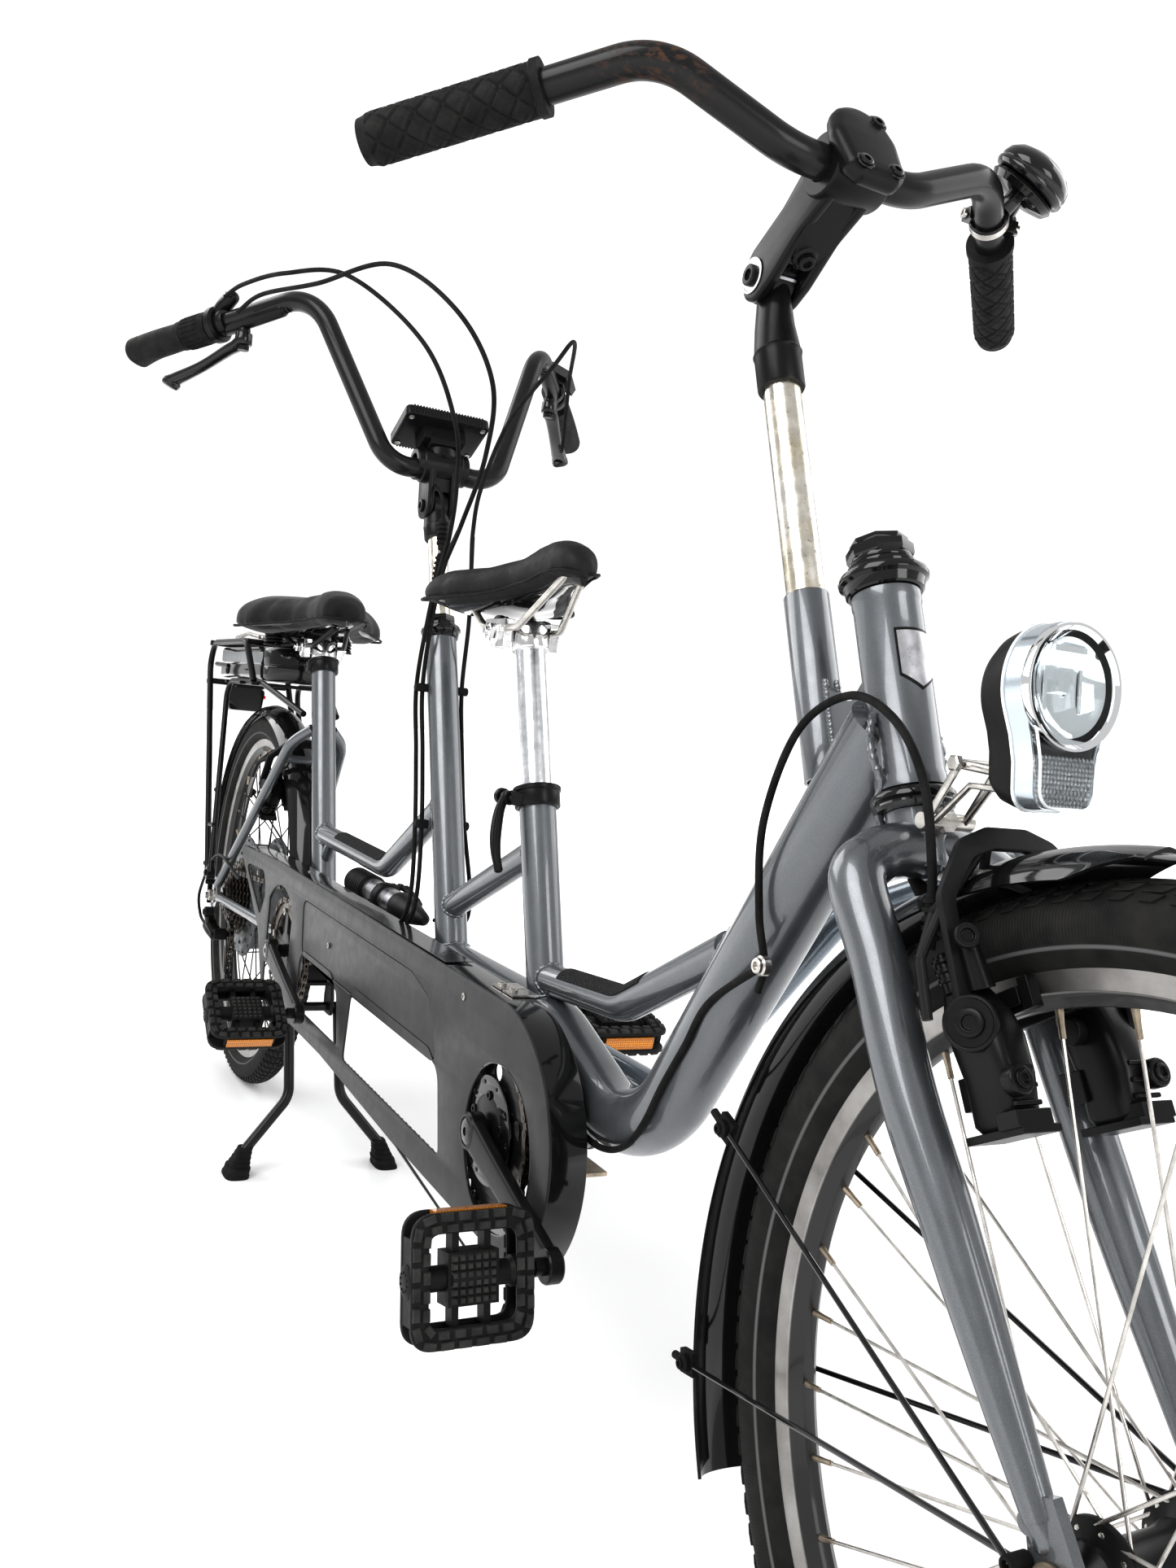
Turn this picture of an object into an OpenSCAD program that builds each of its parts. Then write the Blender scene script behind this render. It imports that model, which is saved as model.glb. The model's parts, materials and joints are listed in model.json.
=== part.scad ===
// Tandem bicycle with steering from the rear seat. Millimetres.
// +X is forward, +Y is the rider's left, +Z is up; the ground is Z = 0.

/* [Wheels] */
// Distance between the wheel axles
wheelbase = 1742; // [1720:1:1760]
// Outside diameter of the tyres
tyre_d = 600; // [596:1:604]
// Width of the tyres
tyre_w = 46; // [42:1:48]
// Spokes in each wheel
spoke_count = 36; // [28, 32, 36]

/* [Frame] */
// Angle of the head tube and the rear steering column from the ground
head_angle = 69.3; // [69:0.1:69.6]
// Outside diameter of the main tube
main_tube_d = 52; // [48:1:54]
// Outside diameter of the head tube
head_tube_d = 40; // [38:1:42]
// Outside diameter of the rear steering column
column_d = 34; // [33:1:36]
// Outside diameter of the seat tubes
seat_tube_d = 34; // [32:1:36]
// Height of both bottom brackets above the ground
bb_height = 292; // [288:1:296]

/* [Drive] */
// Length of the crank arms
crank_length = 170; // [165:1:172]
// Angle of the right cranks below straight ahead
crank_angle = 15; // [0:1:30]
// Teeth of the two rings that join the cranks
timing_teeth = 34; // [32:1:34]
// Teeth of the ring that drives the rear wheel
drive_teeth = 40; // [38:1:40]
// Teeth of the cog in use
cog_teeth = 20; // [18:1:22]

/* [Steering] */
// Length of the two steering arms
steer_arm = 70; // [68:1:72]
// Diameter of the steering rod
steer_rod_d = 18; // [14:1:18]

/* [Stand] */
// Distance from the middle of the bicycle to each stand foot
stand_half_width = 100; // [96:1:108]

/* [Hidden] */
$fn = 48;

// Places that the other sizes hang from
overhang = 8;
axle_z = tyre_d / 2;
front_hub = [wheelbase / 2 + overhang, 0, axle_z];
rear_hub = [-wheelbase / 2 + overhang, 0, axle_z];
up = [-cos(head_angle), 0, sin(head_angle)];
back = [-sin(head_angle), 0, -cos(head_angle)];
head_top = front_hub + [-249, 0, 734 - axle_z];
head_len = 121;
column_top = rear_hub + [740, 0, 715 - axle_z];
column_len = 396;
quill_top = head_top + 73 * back + 31 * up;
front_bb = front_hub + [-610, 0, bb_height - axle_z];
rear_bb = rear_hub + [398, 0, bb_height - axle_z];
stand_pivot = rear_bb + [-28, 0, -84];
seat_up = [-cos(70.5), 0, sin(70.5)];
front_seat_len = 298;
rear_seat_len = 418;
main_z = 377;
timing_y = -55;
drive_y = -46;
pitch = 12.7;
clear = 0.05;
// Bends and corners stand this much proud of the straight pieces they join
seam = 0.15;

function unit(v) = v / norm(v);
function ring_r(teeth) = pitch / (2 * sin(180 / teeth));

// Places children's +Z axis on the line from p to q
module along(p, q) {
    v = q - p;
    translate(p)
    rotate([0, acos(v.z / norm(v)), atan2(v.y, v.x)])
        children();
}

module bar(p, q, r) {
    along(p, q)
        cylinder(r = r, h = norm(q - p));
}

module taper(p, q, ra, rb) {
    along(p, q)
        cylinder(r1 = ra, r2 = rb, h = norm(q - p));
}

// Round bend of a pipe at point b, between points a and c
module bend(a, b, c, r, radius) {
    u = unit(b - a);
    v = unit(c - b);
    turn = acos(u * v);
    inward = (v - u * cos(turn)) / sin(turn);
    centre = b - u * radius * tan(turn / 2) + inward * radius;
    z = cross(-inward, u);
    multmatrix([
        [-inward.x, u.x, z.x, centre.x],
        [-inward.y, u.y, z.y, centre.y],
        [-inward.z, u.z, z.z, centre.z]
    ])
    rotate_extrude(angle = turn, $fn = 96)
    translate([radius, 0])
        circle(r = r + seam);
}

function cut(p, i, radius) =
    i == 0 || i == len(p) - 1 ? 0
    : radius * tan(acos(unit(p[i] - p[i - 1]) * unit(p[i + 1] - p[i])) / 2);

// Pipe of radius r through the points p, with round bends
module pipe(p, r, radius) {
    for (i = [0 : len(p) - 2]) {
        d = unit(p[i + 1] - p[i]);
        start = p[i] + d * (cut(p, i, radius) - (i > 0 ? 1 : 0));
        end = p[i + 1] - d * (cut(p, i + 1, radius) - (i < len(p) - 2 ? 1 : 0));
        bar(start, end, r);
    }
    for (i = [1 : 1 : len(p) - 2])
        bend(p[i - 1], p[i], p[i + 1], r, radius);
}

// Thin wire through the points p, with ball corners
module wire(p, r) {
    for (i = [0 : len(p) - 2])
        bar(p[i], p[i + 1], r);
    for (i = [1 : 1 : len(p) - 2])
        translate(p[i])
            sphere(r = r + seam);
}

// Cylinder across the bicycle, from y0 to y1
module across(c, r, y0, y1) {
    translate([c.x, y0, c.z])
    rotate([-90, 0, 0])
        cylinder(r = r, h = y1 - y0);
}

// The same on side s only, between two distances from the middle
module side_disc(c, s, r, near, far) {
    across(c, r, s > 0 ? near : -far, s > 0 ? far : -near);
}

// Turns a profile drawn with X as radius and Y as width about an axle
module around(c, angle = 360, from = 0) {
    translate(c)
    rotate([90, 0, 0])
    rotate([0, 0, from])
    rotate_extrude(angle = angle, $fn = 180)
        children();
}

// Main frame -----------------------------------------------------------------

main_line = [
    head_top - 72 * up + [-6, 0, -9],
    [front_hub.x - 458, 0, main_z - 60],
    [front_hub.x - 621, 0, main_z - 1],
    [front_hub.x - 869, 0, main_z - 3],
    [rear_bb.x - 20, 0, bb_height + 20]
];

function seat_point(bb, z) = bb + seat_up * (z - bb.z) / seat_up.z;

module stay(s) {
    axle_end = rear_hub + [13, s * 71, 0];
    pipe([rear_bb + [-12, s * 22, 2], rear_bb + [-108, s * 37, 4], axle_end], 8, 120);
    pipe([
        seat_point(rear_bb, 590) + [-6, s * 14, 0], rear_hub + [265, s * 38, 268],
        rear_hub + [8, s * 71, 18]
    ], 7.5, 60);
}

module dropout(s) {
    translate(rear_hub + [0, s * 71 + 3, 0])
    rotate([90, 0, 0])
    difference() {
        linear_extrude(6)
            polygon([[-22, -20], [14, -17], [24, -6], [22, 10], [14, 30], [2, 32], [-16, 16]]);
        translate([0, 0, -1])
            cylinder(r = 5 + clear, h = 8);
    }
}

module main_frame() {
    color("slategray")
    difference() {
        union() {
            pipe(main_line, main_tube_d / 2, 90);
            bar(head_top - head_len * up, head_top, head_tube_d / 2);
            bar(quill_top - 125 * up, quill_top, 14.8);
            bar(front_bb, front_bb + front_seat_len * seat_up, seat_tube_d / 2);
            bar(rear_bb, rear_bb + rear_seat_len * seat_up, seat_tube_d / 2);
            bar(column_top - column_len * up, column_top, column_d / 2);
            across(front_bb, 20, -34, 34);
            across(rear_bb, 20, -34, 34);
            bar(column_top - 303 * up, seat_point(front_bb, 522), 13);
            pipe([seat_point(front_bb, 412), front_bb + [105, 0, 132], head_top + [-120, 0, -238]], 14, 60);
            pipe([seat_point(rear_bb, 448), rear_bb + [236, 0, 151], column_top - 188 * up], 14, 60);
            bar(seat_point(rear_bb, 405), rear_bb + [-8, 0, 153], 8);
            gusset();
            stand_plate();
            for (s = [-1, 1]) {
                stay(s);
                dropout(s);
            }
            stay_bridge();
        }
        bar(head_top - (head_len + 1) * up, head_top + up, 18);
        bar(column_top - (column_len + 1) * up, column_top + up, 14);
        bar(quill_top - 124 * up, quill_top + up, 12.7 + clear);
        bar(front_bb + 60 * seat_up, front_bb + (front_seat_len + 1) * seat_up, 13.6 + clear);
        bar(rear_bb + 60 * seat_up, rear_bb + (rear_seat_len + 1) * seat_up, 13.6 + clear);
        across(front_bb, 17, -35, 35);
        across(rear_bb, 17, -35, 35);
    }
}

// Plate that ties the quill tube to the head tube
module gusset() {
    translate([0, 4, 0])
    rotate([90, 0, 0])
    linear_extrude(8)
        polygon([for (p = [
            head_top - 12 * up, head_top - 80 * up, head_top - 80 * up + 70 * back,
            head_top - 30 * up + 62 * back, head_top - 42 * up + 36 * back
        ]) [p.x, p.z]]);
}

// Plate between the chain stays that the stand bracket hangs from
module stand_plate() {
    translate(rear_bb + [-43, -25, -8])
        cube([24, 50, 5]);
}

// Bridge above the rear tyre that carries the brake
module stay_bridge() {
    across(rear_hub + [236, 0, 242], 6, -41, 41);
}

module cup(c, d, r_out, r_in, h) {
    difference() {
        bar(c, c + h * d, r_out);
        bar(c - d, c + (h + 1) * d, r_in);
    }
}

// Bearing cups of both steering tubes and both bottom brackets
module bearing_cups() {
    color("#1c1c1e")
    {
        cup(head_top + 0.02 * up, up, 23, 12.75, 9);
        cup(head_top + 9.02 * up, up, 26, 12.75, 5);
        cup(column_top + 0.02 * up, up, 18.5, 12.75, 9);
        cup(column_top + 9.02 * up, up, 21, 12.75, 5);
        cup(head_top - (head_len + 12.02) * up, up, 23, 12.75, 12);
        cup(column_top - (column_len + 8.02) * up, up, 19, 12.75, 8);
        for (b = [front_bb, rear_bb], s = [-1, 1])
            difference() {
                union() {
                    side_disc(b, s, 16.98, 14, 34);
                    side_disc(b, s, 21, 34.02, 37);
                }
                across(b, 8.55, -40, 40);
            }
    }
}

// Chain case -----------------------------------------------------------------

case_front = [front_bb.x + 14, bb_height];
case_r = 113;
case_top = bb_height + case_r;
case_y = -61.5;
case_depth = 31;

module case_outline() {
    translate(case_front)
        circle(r = case_r, $fn = 120);
    polygon([
        [case_front.x, case_top], [rear_bb.x - 20, case_top + 4], [rear_bb.x - 262, case_top - 4],
        [rear_bb.x - 270, case_top - 14], [rear_bb.x - 122, bb_height + 6], [rear_bb.x - 98, bb_height - 34],
        [rear_bb.x - 62, bb_height - 80], [rear_bb.x, bb_height - 105], [rear_bb.x + 90, bb_height - 66],
        [rear_bb.x + 240, bb_height - 64], [front_bb.x - 200, bb_height - 78],
        [case_front.x - 30, bb_height - 109]
    ]);
}

// Window with slanted ends in the lower part of the case
module case_window(x0, x1, top, bottom) {
    polygon([
        [x0, bottom], [x0 + 14, top - 18], [x0 + 34, top],
        [x1 - 52, top], [x1 - 22, top - 14], [x1, bottom]
    ]);
}

module case_openings() {
    translate([front_bb.x + 26, bb_height - 6])
        circle(r = 68, $fn = 96);
    translate([rear_bb.x - 6, bb_height - 5])
    intersection() {
        circle(r = 92, $fn = 96);
        square([126, 184], center = true);
    }
    polygon([
        [rear_bb.x - 238, case_top - 26], [rear_bb.x - 116, case_top - 22],
        [rear_bb.x - 96, case_top - 50], [rear_bb.x - 112, bb_height + 36], [rear_bb.x - 122, bb_height + 28]
    ]);
    case_window(rear_bb.x + 105, rear_bb.x + 302, bb_height + 26, bb_height - 48);
    case_window(rear_bb.x + 326, front_bb.x - 96, bb_height + 30, bb_height - 56);
}

module chain_case() {
    color("#3a3c3d")
    translate([0, case_y, 0])
    rotate([90, 0, 0]) {
        difference() {
            linear_extrude(2.5)
                case_outline();
            translate([0, 0, -1])
            linear_extrude(5)
                case_openings();
            translate([0, 0, 1.7])
            linear_extrude(2)
            translate([rear_bb.x + 106, case_top - 92])
                square([510, 66]);
        }
        translate([0, 0, -case_depth])
            case_rim();
    }
    color("#3a3c3d")
        bar([front_bb.x + 20, -26.2, case_top - 3], [front_bb.x + 20, case_y, case_top - 3], 2.4);
}

// Rim that runs round the outside of the case, open at the tail
module case_rim() {
    difference() {
        linear_extrude(case_depth)
            case_outline();
        translate([0, 0, -1])
        linear_extrude(case_depth + 2)
            case_inside();
    }
}

module case_inside() {
    translate(case_front)
        circle(r = case_r - 2.4, $fn = 120);
    polygon([
        [case_front.x, case_top - 2.4], [rear_bb.x - 20, case_top + 1.6], [rear_bb.x - 275, case_top - 7],
        [rear_bb.x - 290, case_top - 20], [rear_bb.x - 125, bb_height + 10],
        [rear_bb.x - 110, bb_height - 130],
        [front_bb.x - 200, bb_height - 130], [front_bb.x - 80, bb_height - 115],
        [case_front.x - 30, bb_height - 106.4]
    ]);
}

// Wheels ---------------------------------------------------------------------

rim_r = 260;
rim_in = 241;
tyre_r = tyre_w / 2;

module tyre(c) {
    color("#151515")
    difference() {
        around(c)
        translate([axle_z - tyre_r, 0])
            circle(r = tyre_r);
        across(c, rim_r + clear, -40, 40);
    }
}

module rim(c) {
    color("#2a2a2a")
    around(c)
        polygon([
            [rim_in, -5], [rim_in, 5], [248, 11], [rim_r, 12.5], [rim_r, 10.5],
            [252, 9.5], [252, -9.5], [rim_r, -10.5], [rim_r, -12.5], [248, -11]
        ]);
}

function spoke_side(k) = k % 2 == 0 ? 1 : -1;
function spoke_lean(k) = floor(k / 2) % 2 == 0 ? 62 : -62;

// Spoke k of a wheel: elbow in the flange, blade to the rim, nipple
module spoke(c, k, flange_r, flange_y) {
    s = spoke_side(k);
    out = floor(k / 2) % 2 == 0 ? (flange_r > 50 ? 4.4 : 3.6) : -2.4;
    a = k * 360 / spoke_count;
    b = a + spoke_lean(k);
    y = s * (flange_y + out);
    root = c + [flange_r * cos(b), y, flange_r * sin(b)];
    tip = c + [(rim_in - 1.2) * cos(a), s * 1.6, (rim_in - 1.2) * sin(a)];
    bar(root, tip, 1);
    bar(tip - 14 * unit(tip - root), tip, 2.1);
    across(root, 1, min(s * flange_y - 2.4, y), max(s * flange_y + 2.4, y));
}

module spokes(c, flange_r, flange_y) {
    color("silver")
    for (k = [0 : spoke_count - 1])
        spoke(c, k, flange_r, flange_y);
}

module spoke_holes(c, flange_r, flange_y) {
    for (k = [0 : spoke_count - 1]) {
        b = k * 360 / spoke_count + spoke_lean(k);
        y = spoke_side(k) * (flange_y - 1);
        across(c + [flange_r * cos(b), 0, flange_r * sin(b)], 1.3, y - 4, y + 4);
    }
}

front_flange = 19;
front_flange_y = 28;
rear_flange = 92;
rear_flange_y = 24;

module front_tyre() { tyre(front_hub); }
module rear_tyre() { tyre(rear_hub); }
module front_rim() { rim(front_hub); }
module rear_rim() { rim(rear_hub); }
module front_spokes() { spokes(front_hub, front_flange, front_flange_y); }
module rear_spokes() { spokes(rear_hub, rear_flange, rear_flange_y); }

module front_hub() {
    color("#202022")
    difference() {
        union() {
            across(front_hub, 15, -42, 42);
            for (s = [-1, 1])
                across(front_hub, 23.5, s * front_flange_y - 1.3, s * front_flange_y + 1.3);
        }
        across(front_hub, 5 + clear, -43, 43);
        spoke_holes(front_hub, front_flange, front_flange_y);
    }
}

module hub_motor() {
    color("#6d6f72")
    difference() {
        union() {
            across(rear_hub, 88, -22, 22);
            for (s = [-1, 1])
                across(rear_hub, 95, s * rear_flange_y - 1.3, s * rear_flange_y + 1.3);
            across(rear_hub, 70, 22, 34);
            across(rear_hub, 40, 34, 46);
            across(rear_hub, 60, -27, -22);
        }
        across(rear_hub, 6 + clear, -50, 50);
        spoke_holes(rear_hub, rear_flange, rear_flange_y);
    }
}

module front_axle() {
    color("silver") {
        across(front_hub, 5, -66, 66);
        for (s = [-1, 1]) {
            across(front_hub, 9, s * 46.5 - 3, s * 46.5 + 3);
            translate(front_hub + [0, s * 61, 0])
            rotate([90, 0, 0])
                cylinder(r = 8.6, h = 6, center = true, $fn = 6);
        }
    }
}

module rear_axle() {
    color("silver") {
        across(rear_hub, 5, -88, 88);
        across(rear_hub, 6, -67.5, 67.5);
        for (s = [-1, 1]) {
            translate(rear_hub + [0, s * 78.2, 0])
            rotate([90, 0, 0])
                cylinder(r = 9.6, h = 8, center = true, $fn = 6);
        }
    }
}

// Toothed wheel: a plate with one notch between each two teeth
module sprocket(c, teeth, y, bore, thick = 2) {
    r = ring_r(teeth);
    translate([c.x, y, c.z])
    rotate([90, 0, 0])
    difference() {
        cylinder(r = r + 3, h = thick, center = true, $fn = 96);
        for (i = [0 : teeth - 1])
            rotate([0, 0, (i + 0.5) * 360 / teeth])
            translate([r + 1.2, 0, 0])
                cylinder(r = 3.9, h = thick + 1, center = true, $fn = 16);
        cylinder(r = bore, h = thick + 1, center = true);
    }
}

module cassette() {
    color("#77736c") {
        difference() {
            across(rear_hub, 16, -62, -28.5);
            across(rear_hub, 6 + clear, -70, -20);
        }
        for (i = [0 : 6])
            sprocket(rear_hub, cog_teeth + (i - 3) * (i > 3 ? 3 : 3), drive_y - (3 - i) * 4.4, 15.9);
    }
}

// Cranks ---------------------------------------------------------------------

function crank_end(b, s) = b + s * crank_length * [cos(crank_angle), 0, -sin(crank_angle)];

module crank_arm(b, s) {
    turn = s > 0 ? -crank_angle : 180 - crank_angle;
    translate([b.x, s > 0 ? -68 : 80, b.z])
    rotate([0, -turn, 0])
    rotate([90, 0, 0]) {
        cylinder(r = 16, h = 12);
        translate([crank_length, 0, 0])
            cylinder(r = 13, h = 12);
        linear_extrude(11)
            polygon([[0, -14], [crank_length, -10.5], [crank_length, 10.5], [0, 14]]);
    }
}

module crankset(b) {
    difference() {
        union() {
            across(b, 8.5, -68, 68);
            crank_arm(b, 1);
            crank_arm(b, -1);
        }
        across(b, 4, -69, -50);
    }
    across(crank_end(b, 1), 4.95, -176, -79);
    across(crank_end(b, -1), 4.95, 79, 176);
}

module front_crankset() {
    color("#18181a")
        crankset(front_bb);
}

module rear_crankset() {
    color("#8c8e90")
        crankset(rear_bb);
}

module front_chainring() {
    color("#202022") {
        sprocket(front_bb, timing_teeth, timing_y, 30);
        difference() {
            union() {
                across(front_bb, 44, -58.5, -56.2);
                across(front_bb, 32, -60, -38.5);
            }
            across(front_bb, 8.5 + clear, -62, -36);
        }
    }
}

module rear_chainrings() {
    color("#a8a49a") {
        sprocket(rear_bb, timing_teeth, timing_y, 50);
        sprocket(rear_bb, drive_teeth, drive_y, 50);
        difference() {
            union() {
                across(rear_bb, 22, -60, -38.5);
                for (i = [0 : 4])
                    rotate_about(rear_bb, i * 72 + 20)
                    translate([20, -55.5, -7])
                        cube([38, 10, 14]);
            }
            across(rear_bb, 8.5 + clear, -62, -36);
        }
    }
}

module rotate_about(c, a) {
    translate(c)
    rotate([0, -a, 0])
        children();
}

// Pedal: cage of two treads, a middle barrel and its own axle bore
module pedal(b, s, tilt) {
    e = crank_end(b, s);
    y0 = 92;
    color("#161616")
    translate([e.x, -s * y0, e.z])
    rotate([0, tilt, 0])
    rotate([90, 0, s > 0 ? 0 : 180])
    difference() {
        union() {
            cylinder(r = 11, h = 92);
            for (z = [0, 84])
                translate([-44, -13, z])
                    cube([88, 26, 8]);
            for (x = [-46, 34])
                translate([x, -13, 2])
                    cube([12, 26, 88]);
            translate([-22, -11, 26])
                cube([44, 22, 40]);
        }
        translate([0, 0, -1])
            cylinder(r = 4.95 + clear, h = 90);
    }
}

module front_right_pedal() { pedal(front_bb, 1, 76); }
module front_left_pedal() { pedal(front_bb, -1, 10); }
module rear_right_pedal() { pedal(rear_bb, 1, 35); }
module rear_left_pedal() { pedal(rear_bb, -1, 12); }

// Chains ---------------------------------------------------------------------
// A chain loop is a list of wheels [x, z, radius, sense]; sense is 1 where the
// wheel lies on the right-hand side of the running chain

function turned(v, a) = [v.x * cos(a) - v.y * sin(a), v.x * sin(a) + v.y * cos(a)];
function normal_of(a, b) =
    turned(unit([b[0] - a[0], b[1] - a[1]]),
        acos((a[2] * a[3] - b[2] * b[3]) / norm([b[0] - a[0], b[1] - a[1]])));
function leave(a, b) = [a[0], a[1]] + normal_of(a, b) * a[2] * a[3];
function arrive(a, b) = [b[0], b[1]] + normal_of(a, b) * b[2] * b[3];
function heading(v) = atan2(v.y, v.x);
function wrapped(a) = a < 0 ? a + 360 : a >= 360 ? a - 360 : a;

module chain_side(loop, h, t) {
    n = len(loop);
    for (i = [0 : n - 1]) {
        a = loop[i];
        b = loop[(i + 1) % n];
        before = loop[(i + n - 1) % n];
        p = leave(a, b);
        q = arrive(a, b);
        translate(p)
        rotate([0, 0, heading(q - p)])
        translate([0, -h / 2, -t / 2])
            cube([norm(q - p), h, t]);
        into = heading(arrive(before, a) - [a[0], a[1]]);
        out = heading(p - [a[0], a[1]]);
        sweep = a[3] > 0 ? wrapped(into - out) : wrapped(out - into);
        translate([a[0], a[1], -t / 2])
        rotate([0, 0, a[3] > 0 ? out : into])
        rotate_extrude(angle = sweep, $fn = 96)
        translate([a[2] - h / 2, 0])
            square([h, t]);
    }
}

// Rollers of the straight run from wheel a to wheel b, every second link
module chain_rollers(a, b, w) {
    p = leave(a, b);
    q = arrive(a, b);
    count = floor((norm(q - p) - 88) / (2 * pitch));
    for (i = [0 : count]) {
        c = p + unit(q - p) * (44 + i * 2 * pitch);
        translate([c.x, c.y, -w / 2])
            cylinder(r = 3.8, h = w, $fn = 24);
    }
}

module chain(loop, y, runs) {
    color("#5d5348")
    translate([0, y, 0])
    rotate([90, 0, 0]) {
        for (s = [-1, 1])
            translate([0, 0, s * 2.6])
                chain_side(loop, 8, 1);
        for (i = runs)
            chain_rollers(loop[i], loop[(i + 1) % len(loop)], 5);
    }
}

timing_r = ring_r(timing_teeth);
timing_loop = [[front_bb.x, bb_height, timing_r, -1], [rear_bb.x, bb_height, timing_r, -1]];
guide = [rear_hub.x + 8, axle_z - 62];
tension = [rear_hub.x + 26, axle_z - 138];
pulley_r = 20;
drive_loop = [
    [rear_bb.x, bb_height, ring_r(drive_teeth), -1],
    [rear_hub.x, axle_z, ring_r(cog_teeth), -1],
    [guide.x, guide.y, pulley_r, 1],
    [tension.x, tension.y, pulley_r, -1]
];

module timing_chain() { chain(timing_loop, timing_y, [0, 1]); }
module drive_chain() { chain(drive_loop, drive_y, [0, 3]); }

// Derailleur hanging from the right dropout, with its two pulleys
module derailleur() {
    color("#1b1b1c") {
        for (y = [drive_y - 5.4, drive_y + 5.4])
            translate([0, y + 0.75, 0])
            rotate([90, 0, 0])
            linear_extrude(1.5)
                polygon([
                    guide + [-9, 6], guide + [7, 8], tension + [9, -4], tension + [4, -9], tension + [-8, -6]
                ]);
        for (p = [guide, tension]) {
            across([p.x, 0, p.y], pulley_r - 4.4, drive_y - 1, drive_y + 1);
            across([p.x, 0, p.y], 4, drive_y - 7, drive_y + 7);
        }
        across([guide.x, 0, guide.y], 9, drive_y - 26, drive_y - 5);
        bar([guide.x, drive_y - 20, guide.y], [rear_hub.x + 4, -72, axle_z - 30], 8);
        across([rear_hub.x + 2, 0, axle_z - 27], 8, -88, -74.05);
        bar([guide.x - 2, drive_y - 22, guide.y - 4], [guide.x - 40, drive_y - 30, guide.y + 6], 7);
    }
}

// Fork and front end ---------------------------------------------------------

crown = head_top - 159 * up;

module fork() {
    color("slategray") {
        difference() {
            union() {
                bar(head_top - 160 * up, head_top + 34 * up, 12.7);
                bar(head_top + 14.1 * up, head_top + 20 * up, 19);
                along(head_top + 20 * up, head_top + 33 * up)
                    cylinder(r = 18, h = 12, $fn = 8);
            }
            bar(head_top - 100 * up, head_top + 35 * up, 10.5);
        }
        bar(crown - 10 * up, head_top - (head_len + 12.1) * up, 17);
        for (s = [-1, 1]) {
            shoulder = front_hub + [-181, s * 52, 276];
            middle = front_hub + [-120, s * 57, 176];
            foot = front_hub + [-13, s * 53, 22];
            bar(crown, shoulder, 14);
            translate(shoulder)
                sphere(r = 14.4);
            bar(shoulder, middle, 14);
            taper(middle - unit(foot - middle), foot, 14.2, 8.5);
            translate(front_hub + [0, s * 53 + 3, 0])
            rotate([90, 0, 0])
            difference() {
                linear_extrude(6)
                    polygon([[-24, 28], [-4, 36], [12, 12], [12, -10], [0, -14], [-12, -10], [-14, 6]]);
                translate([0, 0, -1])
                    cylinder(r = 5 + clear, h = 8);
            }
        }
        bar(crown, rod_front, 9);
        bar(rod_front - 8 * up, rod_front + 8 * up, 10);
    }
}

// Arched plate over the fender that ties the two cylinders of a rim brake together
module booster(c, lean) {
    translate(c)
    rotate([0, lean, 0])
    rotate([90, 0, 90])
    translate([0, 0, -3])
    linear_extrude(6)
        polygon([
            [-54, -2], [-54, 64], [-30, 93], [30, 93], [54, 64], [54, -2],
            [42, -2], [42, 60], [24, 84], [-24, 84], [-42, 60], [-42, -2]
        ]);
}

module front_brake() {
    color("#161617") {
        for (s = [-1, 1]) {
            translate(front_hub + [-92, s * 33.5, 203])
            rotate([0, -30, 0])
            translate([-3, -10, -44])
                cube([28, 20, 66]);
            translate(front_hub + [-126, s * 15.6, 220])
            rotate([0, 60, 0])
            translate([-4, -1.8, -26])
                cube([12, 3.6, 52]);
            bar(front_hub + [-112, s * 26, 220], front_hub + [-122, s * 17, 220], 5);
        }
        booster(front_hub + [-94, 0, 220], -24.2);
    }
}

// Fender shell: an arched section turned about a point near the axle
module fender_arc(c, r, from, to, half = 29, thick = 1.6) {
    around(c, to - from, from)
        polygon(concat(
            [for (a = [-68 : 8.5 : 68]) [r - half + half * cos(a) * 0.9 + 3, half * sin(a)]],
            [for (a = [68 : -8.5 : -68])
                [r - half + (half - thick) * cos(a) * 0.9 + 3, (half - thick) * sin(a)]]
        ));
}

front_fender_c = front_hub + [-16, 0, -14];
front_fender_r = 326;

module front_fender() {
    color("#121213") {
        fender_arc(front_fender_c, front_fender_r, 93, 203);
        for (s = [-1, 1]) {
            for (a = [160, 190]) {
                d = [cos(a), 0, sin(a)];
                p = front_fender_c + (front_fender_r - 14) * d + [0, s * 27.5, 0];
                end = front_hub + [-15, s * (a > 170 ? 60.5 : 66), 4];
                wire([p - 16 * unit(front_hub - p), p + [0, s * 3, 0], end], 1.6);
            }
            side_disc(front_hub + [-15, 0, 4], s, 4, 56.1, 69);
        }
        bar(crown - 26 * up, crown - 17 * up, 4);
    }
}

light_c = front_hub + [-133, 0, 365];

module headlight() {
    color("#141415") {
        difference() {
            union() {
                translate(light_c + [0, 0, 16])
                rotate([0, 90 - 5, 0])
                    cylinder(r1 = 26, r2 = 34, h = 34);
                translate(light_c + [4, -25, -52])
                rotate([0, -5, 0])
                    cube([30, 50, 66]);
            }
            translate(light_c + [28.5, -60, -80])
            rotate([0, -5, 0])
                cube([40, 120, 160]);
        }
        for (s = [-1, 1])
            wire([light_c + [8, s * 14, -26], light_c + [-26, s * 14, -25], crown + [16, s * 14, 22]], 2.2);
        bar(crown + [16, -16, 22], crown + [16, 16, 22], 5);
    }
}

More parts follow.
